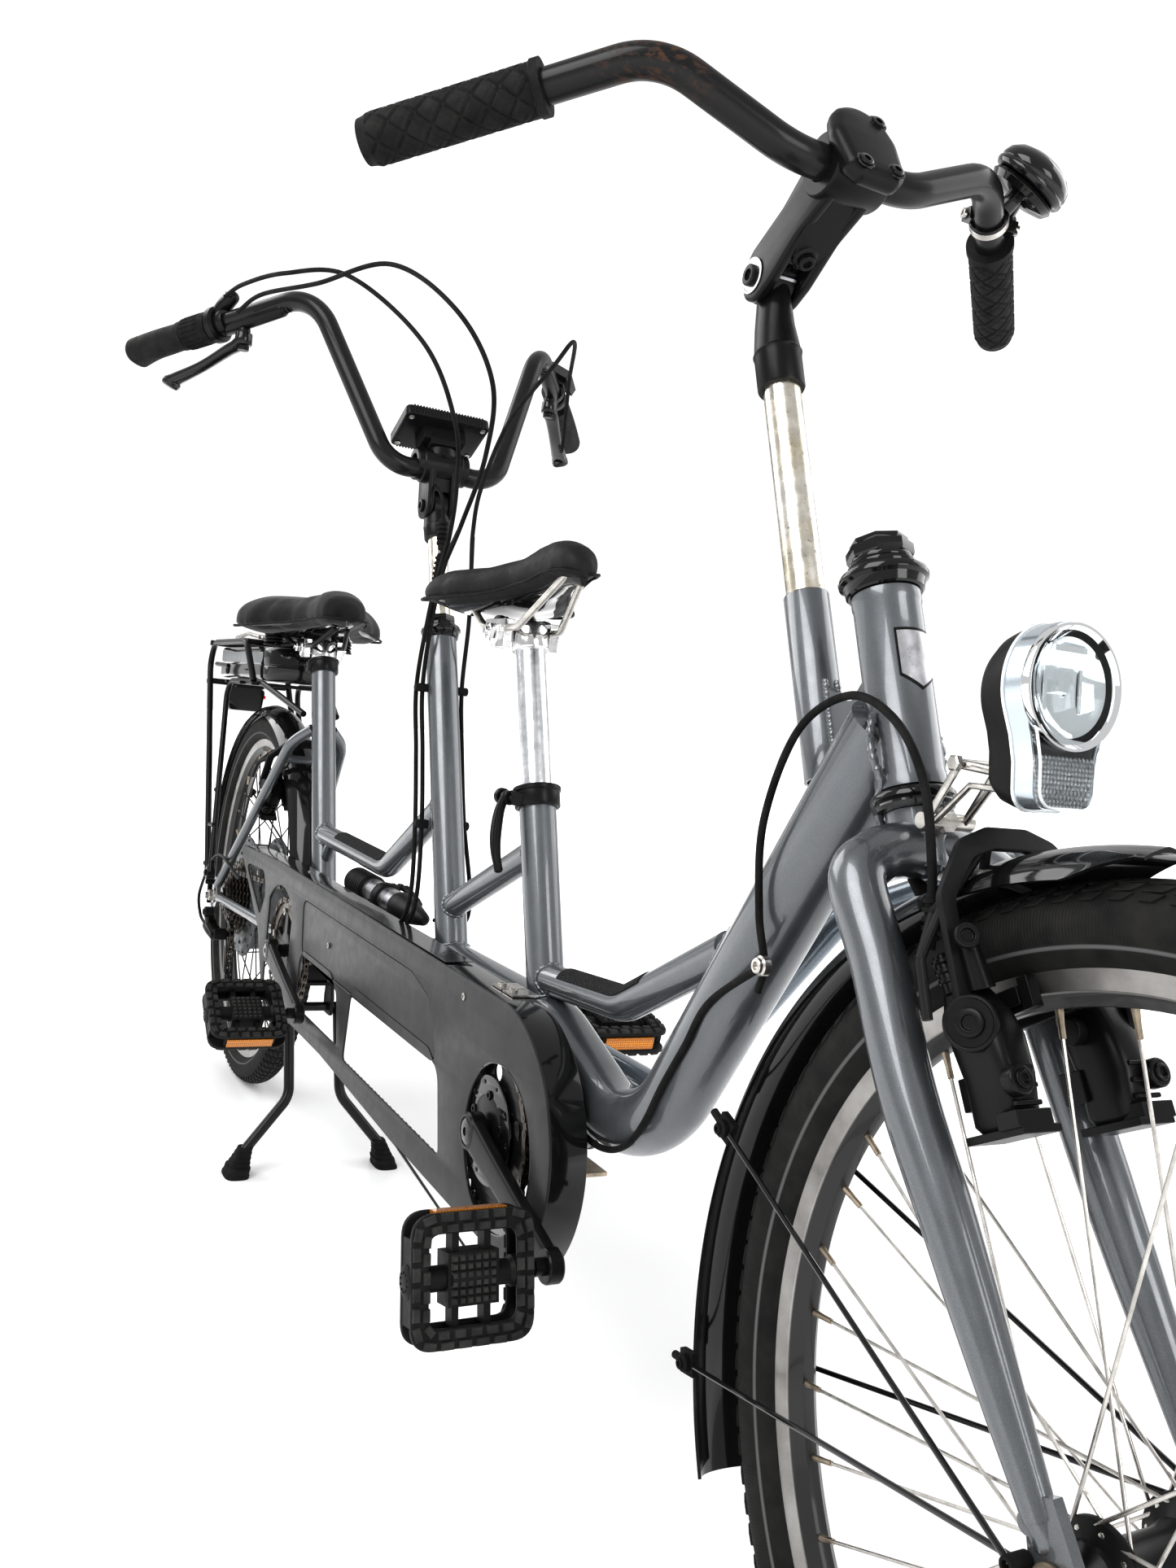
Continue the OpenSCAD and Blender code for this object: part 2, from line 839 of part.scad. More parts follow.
module headlight_lens() {
    color("#dfe6e8")
    translate(light_c + [28.7, 0, 0])
    rotate([0, -5, 0]) {
        translate([0.4, 0, 17])
        rotate([0, 90, 0])
            cylinder(r = 35, h = 10);
        translate([0.4, -25, -53])
            cube([10, 50, 60]);
    }
}

// Rear structures ------------------------------------------------------------

module rear_fender() {
    color("#121213") {
        fender_arc(rear_hub, 314, 12, 192);
        for (s = [-1, 1]) {
            for (a = [150, 178]) {
                p = rear_hub + [300 * cos(a), s * 27.5, 300 * sin(a)];
                wire([p, p + [8, s * 6, 0], rear_hub + [-12, s * (a > 165 ? 78 : 84), 20]], 1.6);
            }
            side_disc(rear_hub + [-12, 0, 20], s, 4, 74.1, 87);
        }
    }
}

rack_z = 712;
shelf_z = 648;

module rack() {
    color("#161617") {
        for (s = [-1, 1]) {
            pipe([
                rear_hub + [-16, s * 84, 34], [rear_hub.x - 262, s * 66, rack_z],
                [rear_hub.x + 40, s * 66, rack_z], [rear_hub.x + 86, s * 60, shelf_z + 2]
            ], 5, 34);
            pipe([
                rear_hub + [8, s * 84, 38], [rear_hub.x - 120, s * 58, shelf_z],
                [rear_hub.x + 110, s * 50, shelf_z], rear_hub + [266, s * 24, 310]
            ], 4.5, 24);
            side_disc(rear_hub + [-4, 0, 36], s, 11, 77, 89);
        }
        for (x = [-222, -110, 0, 86])
            translate([rear_hub.x + x, -66, shelf_z - 3])
                cube([9, 132, 4]);
        translate([rear_hub.x - 262, -30, shelf_z - 52])
            cube([24, 60, 46]);
        translate([rear_hub.x - 240, -24, shelf_z - 10])
            cube([26, 48, 8]);
    }
}

module battery() {
    color("#1a1a1c") {
        translate([rear_hub.x - 225, -52, shelf_z + 5])
            cube([330, 104, 52]);
        translate([rear_hub.x + 105, 0, shelf_z + 5])
            cylinder(r = 52, h = 52);
    }
}

module rear_brake() {
    color("#161617") {
        for (s = [-1, 1]) {
            translate(rear_hub + [164, s * 34, 200])
            rotate([0, 40, 0])
            translate([-13, -10, -36])
                cube([26, 20, 66]);
            translate(rear_hub + [170, s * 15.6, 184])
            rotate([0, -47, 0])
            translate([-6, -1.8, -26])
                cube([12, 3.6, 52]);
            bar(rear_hub + [168, s * 30, 186], rear_hub + [169, s * 17, 185], 5);
        }
        booster(rear_hub + [156, 0, 198], 42);
    }
}

module tool_canister() {
    nose = [front_hub.x - 983, 6, 402];
    cap = nose - [262, 0, -3];
    run = nose - cap;
    color("#202022") {
        taper(nose - 0.3 * run, nose, 16.5, 7);
        bar(cap + 0.02 * run, cap + 0.71 * run, 15);
        bar(cap, cap + 0.26 * run, 18.5);
        bar(cap + 0.44 * run, cap + 0.5 * run, 18);
        translate(cap + [116, -14, -35])
            cube([14, 16, 27]);
    }
}

module stand_bracket() {
    color("#18181a") {
        difference() {
            translate(stand_pivot + [-16, -26, -10])
                cube([32, 52, 48]);
            across(stand_pivot, 6 + clear, -60, 60);
            translate(stand_pivot + [-20, -14, -12])
                cube([40, 28, 36]);
        }
        translate([stand_pivot.x - 12, -15, stand_pivot.z + 30])
            cube([20, 30, 45.9]);
    }
}

module stand_legs() {
    color("#1c1c1e") {
        across(stand_pivot, 6, -42, 42);
        for (s = [-1, 1])
            pipe([
                stand_pivot + [0, s * 34, 6], stand_pivot + [46, s * 35, -112],
                [rear_bb.x + 36, s * stand_half_width, 22]
            ], 7, 30);
    }
}

module stand_feet() {
    color("#222222")
    for (s = [-1, 1])
        translate([rear_bb.x + 36, s * (stand_half_width + 2), 0])
        difference() {
            union() {
                translate([-22, -13, 0])
                    cube([44, 30, 14]);
                cylinder(r1 = 17, r2 = 11, h = 34);
            }
            pipe_cut(s);
        }
}

// Room for the leg inside its foot
module pipe_cut(s) {
    translate([-rear_bb.x - 36, -s * (stand_half_width + 2), 0])
        bar(
            stand_pivot + [46, s * 37, -112],
            [rear_bb.x + 36, s * stand_half_width, 22] + 0.6 * unit([-10, s * 71, -74]), 7.02
        );
}

// Cockpits -------------------------------------------------------------------

front_pivot = front_hub + [-408, 0, 659];
front_clamp = front_hub + [-333, 0, 709];
rear_quill_end = column_top + 137 * up;
rear_pivot = rear_quill_end + 26 * up;
rear_clamp = front_hub + [-1063, 0, 614];

// Height-adjustable post with the lower half of its stem
module quill(bottom, end, pivot, r, collar) {
    u = unit(pivot - end);
    bar(bottom, end, r);
    difference() {
        union() {
            bar(end - collar * up, end + 4 * up, 17);
            bar(end, pivot - 19 * u, 14);
            bar(pivot - 22 * u, pivot, 8.9);
            across(pivot, 17, -9, 9);
        }
        across(pivot, 5 + clear, -20, 20);
    }
}

module front_quill() {
    color("#c9c2ae")
        quill(quill_top - 72 * up, quill_top + 178 * up, front_pivot, 12.7, 26);
}

module rear_quill() {
    color("#c9c2ae")
        quill(column_top - 60 * up, rear_quill_end, rear_pivot, 11.1, 14);
}

// Upper half of a stem: two cheeks on the pivot bolt, and the bar clamp
module stem(pivot, clamp, r) {
    color("#141415") {
        across(pivot, 5, -19, 19);
        difference() {
            union() {
                for (y = [-17, 9.1])
                    translate([0, y, 0])
                    rotate([-90, 0, 0])
                        stem_cheek(pivot, clamp);
                across(clamp, r + 9, -22, 22);
                bar(pivot + 0.55 * (clamp - pivot), clamp, 15);
            }
            across(clamp, r + clear, -30, 30);
        }
    }
}

module stem_cheek(pivot, clamp) {
    u = unit(clamp - pivot);
    length = norm(clamp - pivot);
    translate([pivot.x, -pivot.z, 0])
    rotate([0, 0, -atan2(u.z, u.x)]) {
        cylinder(r = 17, h = 7.9);
        translate([0, -15, 0])
            cube([length, 30, 7.9]);
    }
}

bar_r = 11.1;

module front_stem() { stem(front_pivot, front_clamp, bar_r); }
module rear_stem() { stem(rear_pivot, rear_clamp, bar_r); }

function front_bar_line(s) = [
    front_clamp + [2, s * 48, 0], front_clamp + [-22, s * 134, 42], front_clamp + [-147, s * 272, -8]
];
function rear_bar_line(s) = [
    rear_clamp + [11, s * 63, -12], rear_clamp + [-77, s * 142, 183], rear_clamp + [-312, s * 306, 129]
];

module handlebar(right, left, clamp) {
    color("#202124")
    difference() {
        pipe([
            right[2], right[1], right[0], clamp + [0, -33, 0], clamp + [0, 33, 0],
            left[0], left[1], left[2]
        ], bar_r, 40);
        for (p = [right, left])
            along(p[2] - 1 * unit(p[2] - p[1]), p[1])
            translate([0, 0, -2])
                cylinder(r = bar_r - 2.5, h = 30);
    }
}

module front_bar() { handlebar(front_bar_line(-1), front_bar_line(1), front_clamp); }
module rear_bar() { handlebar(rear_bar_line(-1), rear_bar_line(1), rear_clamp); }

// Sleeve on the end of a bar: from a to b millimetres from the end
module sleeve(line, a, b, r) {
    d = unit(line[1] - line[2]);
    difference() {
        bar(line[2] + a * d, line[2] + b * d, r);
        bar(line[2] + (a - 5) * d, line[2] + (b + 5) * d, bar_r + 0.02);
    }
}

module grip(line, length, r) {
    d = unit(line[1] - line[2]);
    sleeve(line, 0, length, r);
    bar(line[2] - 4 * d, line[2] - 0.02 * d, r);
}

module front_grips() {
    color("#18181a")
    for (s = [-1, 1])
        grip(front_bar_line(s), 120, 16);
}

module rear_grips() {
    color("#1c1c1e")
    for (s = [-1, 1])
        grip(rear_bar_line(s), s < 0 ? 92 : 130, 16.5);
}

module twist_shifter() {
    color("#161617")
        sleeve(rear_bar_line(-1), 94, 134, 19);
}

module bell() {
    line = front_bar_line(1);
    d = unit(line[1] - line[2]);
    color("#121213") {
        difference() {
            bar(line[2] + 140 * d, line[2] + 150 * d, 14);
            bar(line[2] + 130 * d, line[2] + 160 * d, bar_r + 0.02);
        }
        bar(line[2] + 145 * d + [9, 6, 9], line[2] + 145 * d + [22, 15, 26], 6);
        along(line[2] + 145 * d + [19, 13, 22], line[2] + 145 * d + [34, 23, 44])
            rotate_extrude()
                polygon([[0, 0], [27, 0], [29, 3], [27, 12], [18, 20], [0, 23]]);
    }
}

// Brake levers hang in front of and below the rear grips
function lever_pin(s) =
    rear_bar_line(s)[2] + 158 * unit(rear_bar_line(s)[1] - rear_bar_line(s)[2]) + [22, -s * 16, -22];

module brake_cylinders() {
    color("#161617")
    for (s = [-1, 1]) {
        end = rear_bar_line(s)[2];
        d = unit(rear_bar_line(s)[1] - end);
        difference() {
            union() {
                sleeve(rear_bar_line(s), 146, 160, 15);
                bar(end + 150 * d + [13, -s * 9, -9], end + 205 * d + [26, -s * 16, -8], 8);
            }
            bar(end, end + 270 * d, bar_r + 0.02);
        }
        translate(lever_pin(s) - [0, 0, 9])
            cylinder(r = 3, h = 18);
    }
}

// Flat blade that slopes down from its boss towards the grip
module brake_lever(s) {
    d = unit(rear_bar_line(s)[1] - rear_bar_line(s)[2]);
    run = [14, -s * 8, -22] - 128 * d;
    color("#1d1d1f")
    translate(lever_pin(s))
    difference() {
        union() {
            translate([0, 0, -4])
                cylinder(r = 10, h = 8);
            rotate([0, 0, atan2(run.y, run.x)])
            rotate([0, atan2(-run.z, norm([run.x, run.y])), 0])
            translate([0, 0, -4])
            linear_extrude(7.6)
                polygon([
                    [5, -6.5], [60, -5.5], [110, -7.5], [119, -3], [119, 3], [110, 7.5], [60, 5.5], [5, 6.5]
                ]);
        }
        translate([0, 0, -20])
            cylinder(r = 3 + clear, h = 40);
    }
}

module right_brake_lever() { brake_lever(-1); }
module left_brake_lever() { brake_lever(1); }

module display() {
    color("#17181a")
    translate(rear_clamp + [-8, 0, 36])
    rotate([0, -26, 0]) {
        translate([-32, -50, 0])
            cube([64, 100, 14]);
        translate([-12, -24, -12])
            cube([24, 48, 12.5]);
    }
}

// Rear steering column and rod -----------------------------------------------

rod_rear = column_top - (column_len + 22) * up + [0, steer_arm, 0];
rod_front = crown + [0, steer_arm, 0];

module rear_steerer() {
    arm = rod_rear - [0, 20, 0];
    color("slategray") {
        difference() {
            bar(column_top - (column_len + 28) * up, column_top + 22 * up, 12.7);
            bar(column_top - 100 * up, column_top + 23 * up, 11.1 + clear);
        }
        bar(rod_rear - [0, steer_arm, 0], arm, 8);
        bar(arm - 11 * up, arm + 11 * up, 4.3);
        for (h = [-8, 8])
            bar(arm + h * up, rod_rear + h * up + [0, 4, 0], 4);
        bar(rod_rear - 10 * up, rod_rear + 10 * up, 3);
    }
}

// Bent rod with an eye at its rear end
module steering_rod() {
    bend_z = main_z - 25;
    color("lightslategray")
    difference() {
        union() {
            pipe([
                rod_rear + [15, 0, 5], [rod_rear.x + 62, 50, bend_z - 4], [front_bb.x + 123, 50, bend_z],
                [rod_front.x - 122, 50, rod_front.z - 54], rod_front - [26, 0, 10]
            ], steer_rod_d / 2, 24);
            bar(rod_rear - 3.5 * up, rod_rear + 3.5 * up, 9);
            bar(rod_rear, rod_rear + [18, 0, 6], 3.3);
        }
        bar(rod_rear - 8 * up, rod_rear + 8 * up, 3 + clear);
    }
}

// Saddles --------------------------------------------------------------------

collar_front = front_bb + (front_seat_len + 0.05) * seat_up;
collar_rear = rear_bb + (rear_seat_len + 0.05) * seat_up;
front_post_top = front_bb + 452 * seat_up;
rear_post_top = rear_bb + 440 * seat_up;

module seat_collar(p) {
    difference() {
        union() {
            bar(p - 16 * seat_up, p, seat_tube_d / 2 + 4);
            bar(p, p + 3 * seat_up, seat_tube_d / 2 + 5);
        }
        bar(p - 18 * seat_up, p, seat_tube_d / 2 + 0.02);
        bar(p - 18 * seat_up, p + 8 * seat_up, 13.65);
    }
}

lever_axis = collar_front - 8 * seat_up + [-2, -28, 0];

module seat_collars() {
    color("#141415") {
        seat_collar(collar_front);
        seat_collar(collar_rear);
        translate(lever_axis + [-10, 0, 0])
        rotate([0, 90, 0])
            cylinder(r = 3, h = 20);
        for (x = [-9, 5])
            translate(lever_axis + [x, 0, -4])
                cube([4, 10.9, 8]);
    }
}

module quick_release_lever() {
    color("#151516")
    difference() {
        union() {
            translate(lever_axis + [-4.8, 0, 0])
            rotate([0, 90, 0])
                cylinder(r = 6.6, h = 9.6);
            taper(lever_axis + [0, -2, 0], lever_axis + [10, -14, -36], 4.6, 5);
            translate(lever_axis + [10, -14, -36])
                sphere(r = 5.6);
            taper(lever_axis + [10, -14, -36], lever_axis + [22, -12, -64], 5, 6);
        }
        translate(lever_axis + [-20, 0, 0])
        rotate([0, 90, 0])
            cylinder(r = 3 + clear, h = 40);
    }
}

module seatpost(bb, from, top) {
    bar(bb + from * seat_up, top, 13.6);
    bar(top - 18 * seat_up, top - 2 * seat_up, 16);
    across(top + [-4, 0, -4], 11, -20, 20);
    for (s = [-1, 1])
        wire([
            top + [-62, s * 30, 14], top + [-34, s * 22, 2], top + [34, s * 22, 2], top + [76, s * 9, 16]
        ], 3.5);
}

module front_seatpost() {
    color("silver")
        seatpost(front_bb, 130, front_post_top);
}

module rear_seatpost() {
    color("#2a2a2b")
        seatpost(rear_bb, 220, rear_post_top);
}

module front_saddle() {
    color("#1a1a1b")
        saddle_shape([front_hub.x - 1105 + 206, 740], 250, 80, 22, 44);
}

module rear_saddle() {
    color("#1a1a1b")
        saddle_shape([rear_hub.x + 106, 722], 262, 118, 40, 56);
}

module saddle_shape(tail, length, half_tail, half_nose, depth) {
    translate([tail.x, 0, tail.y])
    rotate([0, -3, 0])
    linear_extrude(depth)
        polygon([
            [0, -0.6 * half_tail], [8, -0.9 * half_tail], [0.2 * length, -half_tail],
            [0.45 * length, -0.62 * half_tail], [0.7 * length, -half_nose], [0.97 * length, -0.8 * half_nose],
            [length, -0.4 * half_nose], [length, 0.4 * half_nose],
            [0.97 * length, 0.8 * half_nose], [0.7 * length, half_nose], [0.45 * length, 0.62 * half_tail],
            [0.2 * length, half_tail], [8, 0.9 * half_tail], [0, 0.6 * half_tail]
        ]);
}

main_frame();
bearing_cups();
chain_case();
rear_fender();
rack();
battery();
seat_collars();
quick_release_lever();
rear_brake();
tool_canister();
stand_bracket();
stand_legs();
stand_feet();
derailleur();
rear_axle();
fork();
front_brake();
front_fender();
headlight();
headlight_lens();
front_axle();
front_tyre();
front_rim();
front_spokes();
front_hub();
rear_tyre();
rear_rim();
rear_spokes();
hub_motor();
cassette();
front_crankset();
front_chainring();
rear_crankset();
rear_chainrings();
front_right_pedal();
front_left_pedal();
rear_right_pedal();
rear_left_pedal();
timing_chain();
drive_chain();
steering_rod();
rear_steerer();
front_quill();
front_stem();
front_bar();
front_grips();
bell();
rear_quill();
rear_stem();
rear_bar();
rear_grips();
right_brake_lever();
left_brake_lever();
brake_cylinders();
twist_shifter();
display();
front_seatpost();
front_saddle();
rear_seatpost();
rear_saddle();
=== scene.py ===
"""Looks of a tandem bicycle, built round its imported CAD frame. Lengths in this script are millimetres."""
import json
import math
import random

import bmesh
import bpy
from mathutils import Matrix, Quaternion, Vector, noise


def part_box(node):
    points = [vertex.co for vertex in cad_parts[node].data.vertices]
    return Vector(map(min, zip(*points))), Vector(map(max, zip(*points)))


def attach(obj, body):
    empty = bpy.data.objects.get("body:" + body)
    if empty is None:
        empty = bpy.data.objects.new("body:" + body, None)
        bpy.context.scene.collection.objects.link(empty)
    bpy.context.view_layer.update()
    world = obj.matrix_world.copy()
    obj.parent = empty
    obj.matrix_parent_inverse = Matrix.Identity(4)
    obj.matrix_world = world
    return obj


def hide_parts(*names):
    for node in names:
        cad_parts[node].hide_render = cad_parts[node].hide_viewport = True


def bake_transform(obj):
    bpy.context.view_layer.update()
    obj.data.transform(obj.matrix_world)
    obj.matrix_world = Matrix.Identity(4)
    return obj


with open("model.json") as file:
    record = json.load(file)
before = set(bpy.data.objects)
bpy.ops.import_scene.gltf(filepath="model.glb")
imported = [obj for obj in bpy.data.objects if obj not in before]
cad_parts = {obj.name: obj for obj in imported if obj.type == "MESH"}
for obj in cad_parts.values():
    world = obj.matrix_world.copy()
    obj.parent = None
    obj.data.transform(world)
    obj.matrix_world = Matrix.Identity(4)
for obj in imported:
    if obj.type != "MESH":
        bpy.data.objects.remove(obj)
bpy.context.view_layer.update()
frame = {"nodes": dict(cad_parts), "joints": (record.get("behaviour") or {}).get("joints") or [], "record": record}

MM = 0.001
X, Y, Z = Vector((1, 0, 0)), Vector((0, 1, 0)), Vector((0, 0, 1))
JOINTS = {j["name"]: j for j in frame["joints"]}


# Places taken from the frame ------------------------------------------------

def joint_at(name):
    return Vector(JOINTS[name]["pos_m"]) / MM


def joint_axis(name):
    return Vector(JOINTS[name]["axis"])


def low(node):
    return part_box(node)[0] / MM


def high(node):
    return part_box(node)[1] / MM


def middle(node):
    return (low(node) + high(node)) / 2


UP = joint_axis("fork_steer")
BACK = Vector((-UP.z, 0, UP.x))
HEAD = joint_at("fork_steer")
COLUMN = joint_at("rear_bar_steer")
FRONT_HUB = joint_at("front_wheel_spin")
REAR_HUB = joint_at("rear_wheel_spin")
FRONT_BB = joint_at("front_crank_spin")
REAR_BB = joint_at("rear_crank_spin")
SEAT_UP = joint_axis("front_saddle_height")
WHEEL_R = FRONT_HUB.z
HEAD_LEN = 121
COLUMN_LEN = 396
QUILL_TOP = HEAD + 73 * BACK + 31 * UP
CROWN = HEAD - 159 * UP
MAIN_Z = 377


def seat_point(bb, z):
    return bb + SEAT_UP * (z - bb.z) / SEAT_UP.z


# Materials ------------------------------------------------------------------

class Finish:
    """A node material: Principled shader with helpers that add procedural detail in object space."""

    def __init__(self, name, color, rough=0.4, metal=0.0, coat=0.0, coat_rough=0.05, spec=0.5):
        self.mat = bpy.data.materials.new(name)
        self.mat.use_nodes = True
        self.nodes = self.mat.node_tree.nodes
        self.links = self.mat.node_tree.links
        self.shader = self.nodes["Principled BSDF"]
        self.coords = self.nodes.new("ShaderNodeTexCoord").outputs["Object"]
        self.put("Base Color", (*color, 1))
        self.put("Roughness", rough)
        self.put("Metallic", metal)
        self.put("Coat Weight", coat)
        self.put("Coat Roughness", coat_rough)
        self.put("Specular IOR Level", spec)
        self.normal = None

    def put(self, socket, value):
        if isinstance(value, bpy.types.NodeSocket):
            self.links.new(value, self.shader.inputs[socket])
        else:
            self.shader.inputs[socket].default_value = value
        return self

    def node(self, kind, inputs=None, **settings):
        made = self.nodes.new("ShaderNode" + kind)
        for key, value in settings.items():
            setattr(made, key, value)
        for key, value in (inputs or {}).items():
            if isinstance(value, bpy.types.NodeSocket):
                self.links.new(value, made.inputs[key])
            else:
                made.inputs[key].default_value = value
        return made

    def noise(self, scale, detail=4.0, stretch=(1, 1, 1), rough=0.6):
        """Noise with features about 1/scale metres across."""
        place = self.node("Mapping", {"Vector": self.coords, "Scale": stretch}).outputs[0]
        found = self.node("TexNoise", {"Vector": place, "Scale": scale, "Detail": detail, "Roughness": rough})
        return found.outputs["Fac"]

    def ramp(self, value, low_at, high_at, low_out=0.0, high_out=1.0):
        made = self.node("MapRange", {
            "Value": value, "From Min": low_at, "From Max": high_at, "To Min": low_out, "To Max": high_out})
        return made.outputs[0]

    def mix(self, factor, a, b):
        made = self.node("Mix", {"Factor": factor}, data_type="RGBA")
        for socket, value in ((made.inputs[6], a), (made.inputs[7], b)):
            if isinstance(value, bpy.types.NodeSocket):
                self.links.new(value, socket)
            else:
                socket.default_value = (*value, 1)
        return made.outputs[2]

    def math(self, operation, a, b=0.5):
        return self.node("Math", {0: a, 1: b}, operation=operation).outputs[0]

    def bump(self, height, depth_mm, strength=1.0):
        inputs = {"Height": height, "Distance": depth_mm * MM, "Strength": strength}
        if self.normal is not None:
            inputs["Normal"] = self.normal
        self.normal = self.node("Bump", inputs).outputs[0]
        self.put("Normal", self.normal)
        return self

    def tint(self, a, b, scale, low_at=0.35, high_at=0.65, detail=4.0, stretch=(1, 1, 1)):
        """Base colour that wanders between two colours."""
        factor = self.ramp(self.noise(scale, detail, stretch), low_at, high_at)
        self.put("Base Color", self.mix(factor, a, b))
        return self

    def rough_noise(self, a, b, scale, stretch=(1, 1, 1)):
        self.put("Roughness", self.ramp(self.noise(scale, 5, stretch), 0.3, 0.7, a, b))
        return self


def metallic_paint():
    f = Finish("frame_paint", (0.2, 0.22, 0.24), rough=0.34, metal=0.62, coat=1.0, coat_rough=0.04)
    flake = f.ramp(f.noise(5200, 1), 0.42, 0.62)
    f.put("Base Color", f.mix(flake, (0.115, 0.122, 0.13), (0.185, 0.196, 0.208)))
    f.rough_noise(0.28, 0.42, 60)
    return f.bump(f.noise(420, 2), 0.012, 0.35).mat


def black(name, rough, coat=0.0, grain=900, depth=0.01, level=0.009, metal=0.0):
    f = Finish(name, (level, level, level * 1.05), rough=rough, metal=metal, coat=coat, spec=0.28)
    f.tint((level * 0.9,) * 3, (level * 1.2, level * 1.2, level * 1.22), 35)
    f.rough_noise(rough * 0.9, min(1.0, rough * 1.12), 90)
    return f.bump(f.noise(grain, 3), depth, 0.5).mat


def rubber(name, level=0.01, rough=0.72):
    f = Finish(name, (level,) * 3, rough=rough, spec=0.2)
    f.tint((level * 0.75,) * 3, (level * 1.8, level * 1.75, level * 1.7), 55, detail=6)
    f.rough_noise(rough * 0.85, min(1, rough * 1.15), 140)
    return f.bump(f.noise(2600, 4), 0.05, 0.6).mat


def metal(name, color, rough, scratch=(1, 1, 1), scale=400, depth=0.004, dark=0.7):
    f = Finish(name, color, rough=rough, metal=1.0)
    f.tint(tuple(c * dark for c in color), color, 70, 0.25, 0.6, 6)
    f.rough_noise(rough * 0.7, rough * 1.5, 120)
    return f.bump(f.noise(scale, 3, scratch), depth, 0.5).mat


def worn_chrome():
    """Old plated post: yellowed, with brown streaks and fine pits."""
    f = Finish("worn_chrome", (0.7, 0.67, 0.6), rough=0.2, metal=1.0)
    base = f.mix(f.ramp(f.noise(28, 6), 0.35, 0.7), (0.78, 0.76, 0.72), (0.62, 0.56, 0.43))
    spots = f.ramp(f.noise(240, 8), 0.62, 0.74)
    f.put("Base Color", f.mix(spots, base, (0.2, 0.13, 0.07)))
    f.put("Roughness", f.ramp(f.noise(90, 6), 0.3, 0.75, 0.12, 0.42))
    return f.bump(f.noise(700, 5), 0.02, 0.4).mat


def grit():
    f = Finish("grip_tape", (0.02, 0.02, 0.02), rough=0.95, spec=0.25)
    grains = f.noise(1500, 2)
    f.put("Base Color", f.mix(f.ramp(grains, 0.45, 0.75), (0.008, 0.008, 0.008), (0.11, 0.11, 0.11)))
    return f.bump(grains, 0.6, 0.9).mat


def wheel_radius(f, hub):
    """Distance from a wheel's axle, in metres, as a shader value."""
    shifted = f.node("VectorMath", {0: f.coords, 1: tuple(hub * MM)}, operation="SUBTRACT").outputs[0]
    flat = f.node("VectorMath", {0: shifted, 1: (1, 0, 1)}, operation="MULTIPLY").outputs[0]
    return f.node("VectorMath", {0: flat}, operation="LENGTH").outputs["Value"], shifted


def band(f, value, start, end, soft=0.0004):
    rise = f.ramp(value, start - soft, start + soft)
    fall = f.ramp(value, end - soft, end + soft, 1.0, 0.0)
    return f.math("MULTIPLY", rise, fall)


def wheel_angle(f, shifted):
    split = f.node("SeparateXYZ", {0: shifted})
    return f.node("Math", {0: split.outputs[2], 1: split.outputs[0]}, operation="ARCTAN2").outputs[0]


def tyre_rubber(name, hub):
    f = Finish(name, (0.02, 0.02, 0.02), rough=0.66, spec=0.22)
    radius, shifted = wheel_radius(f, hub)
    dust = f.mix(f.ramp(f.noise(45, 6), 0.3, 0.8), (0.008, 0.008, 0.008), (0.03, 0.029, 0.027))
    stripe = band(f, radius, 0.2674, 0.2692)
    f.put("Base Color", f.mix(stripe, dust, (0.13, 0.13, 0.13)))
    ribs = f.math("SINE", f.math("MULTIPLY", wheel_angle(f, shifted), 900.0), 0)
    side = band(f, radius, 0.271, 0.289, 0.002)
    f.bump(f.math("MULTIPLY", ribs, side), 0.25, 0.5)
    f.bump(f.noise(1800, 4), 0.06, 0.5)
    return f.mat


def rim_alloy(name, hub):
    """Black rim with a machined braking track."""
    f = Finish(name, (0.02, 0.02, 0.02), rough=0.3, coat=0.3)
    radius, shifted = wheel_radius(f, hub)
    rings = f.node("TexNoise", {"Vector": f.node("CombineXYZ", {0: radius}).outputs[0], "Scale": 5200.0, "Detail": 4.0}).outputs["Fac"]
    wear = f.noise(26, 5)
    track = band(f, radius, 0.2475, 0.2592)
    worn = f.mix(f.ramp(wear, 0.35, 0.7), (0.5, 0.49, 0.47), (0.2, 0.19, 0.18))
    lines = f.mix(f.ramp(rings, 0.4, 0.6), (0.32, 0.31, 0.3), worn)
    f.put("Base Color", f.mix(track, (0.018, 0.018, 0.019), lines))
    f.put("Metallic", track)
    f.put("Roughness", f.ramp(rings, 0.3, 0.7, 0.26, 0.5))
    return f.bump(f.math("MULTIPLY", rings, track), 0.05, 0.7).mat


def knit():
    """Woven saddle cover."""
    f = Finish("saddle_knit", (0.014, 0.014, 0.014), rough=0.86, spec=0.2)
    f.put("Sheen Weight", 0.25)
    f.put("Sheen Roughness", 0.5)
    f.tint((0.009,) * 3, (0.02, 0.02, 0.021), 40, detail=6)
    wave = f.node("TexWave", {"Vector": f.coords, "Scale": 420.0, "Distortion": 1.2}, bands_direction="DIAGONAL").outputs["Fac"]
    f.bump(wave, 0.08, 0.3)
    return f.bump(f.noise(2400, 3), 0.08, 0.5).mat


def saddle_leather():
    """Grained cover."""
    f = Finish("saddle_leather", (0.014, 0.014, 0.014), rough=0.55, spec=0.3)
    f.rough_noise(0.48, 0.66, 120)
    cells = f.node("TexVoronoi", {"Vector": f.coords, "Scale": 900.0}, feature="DISTANCE_TO_EDGE").outputs["Distance"]
    return f.bump(f.ramp(cells, 0.0, 0.35), 0.05, 0.5).bump(f.noise(1900, 3), 0.03, 0.4).mat


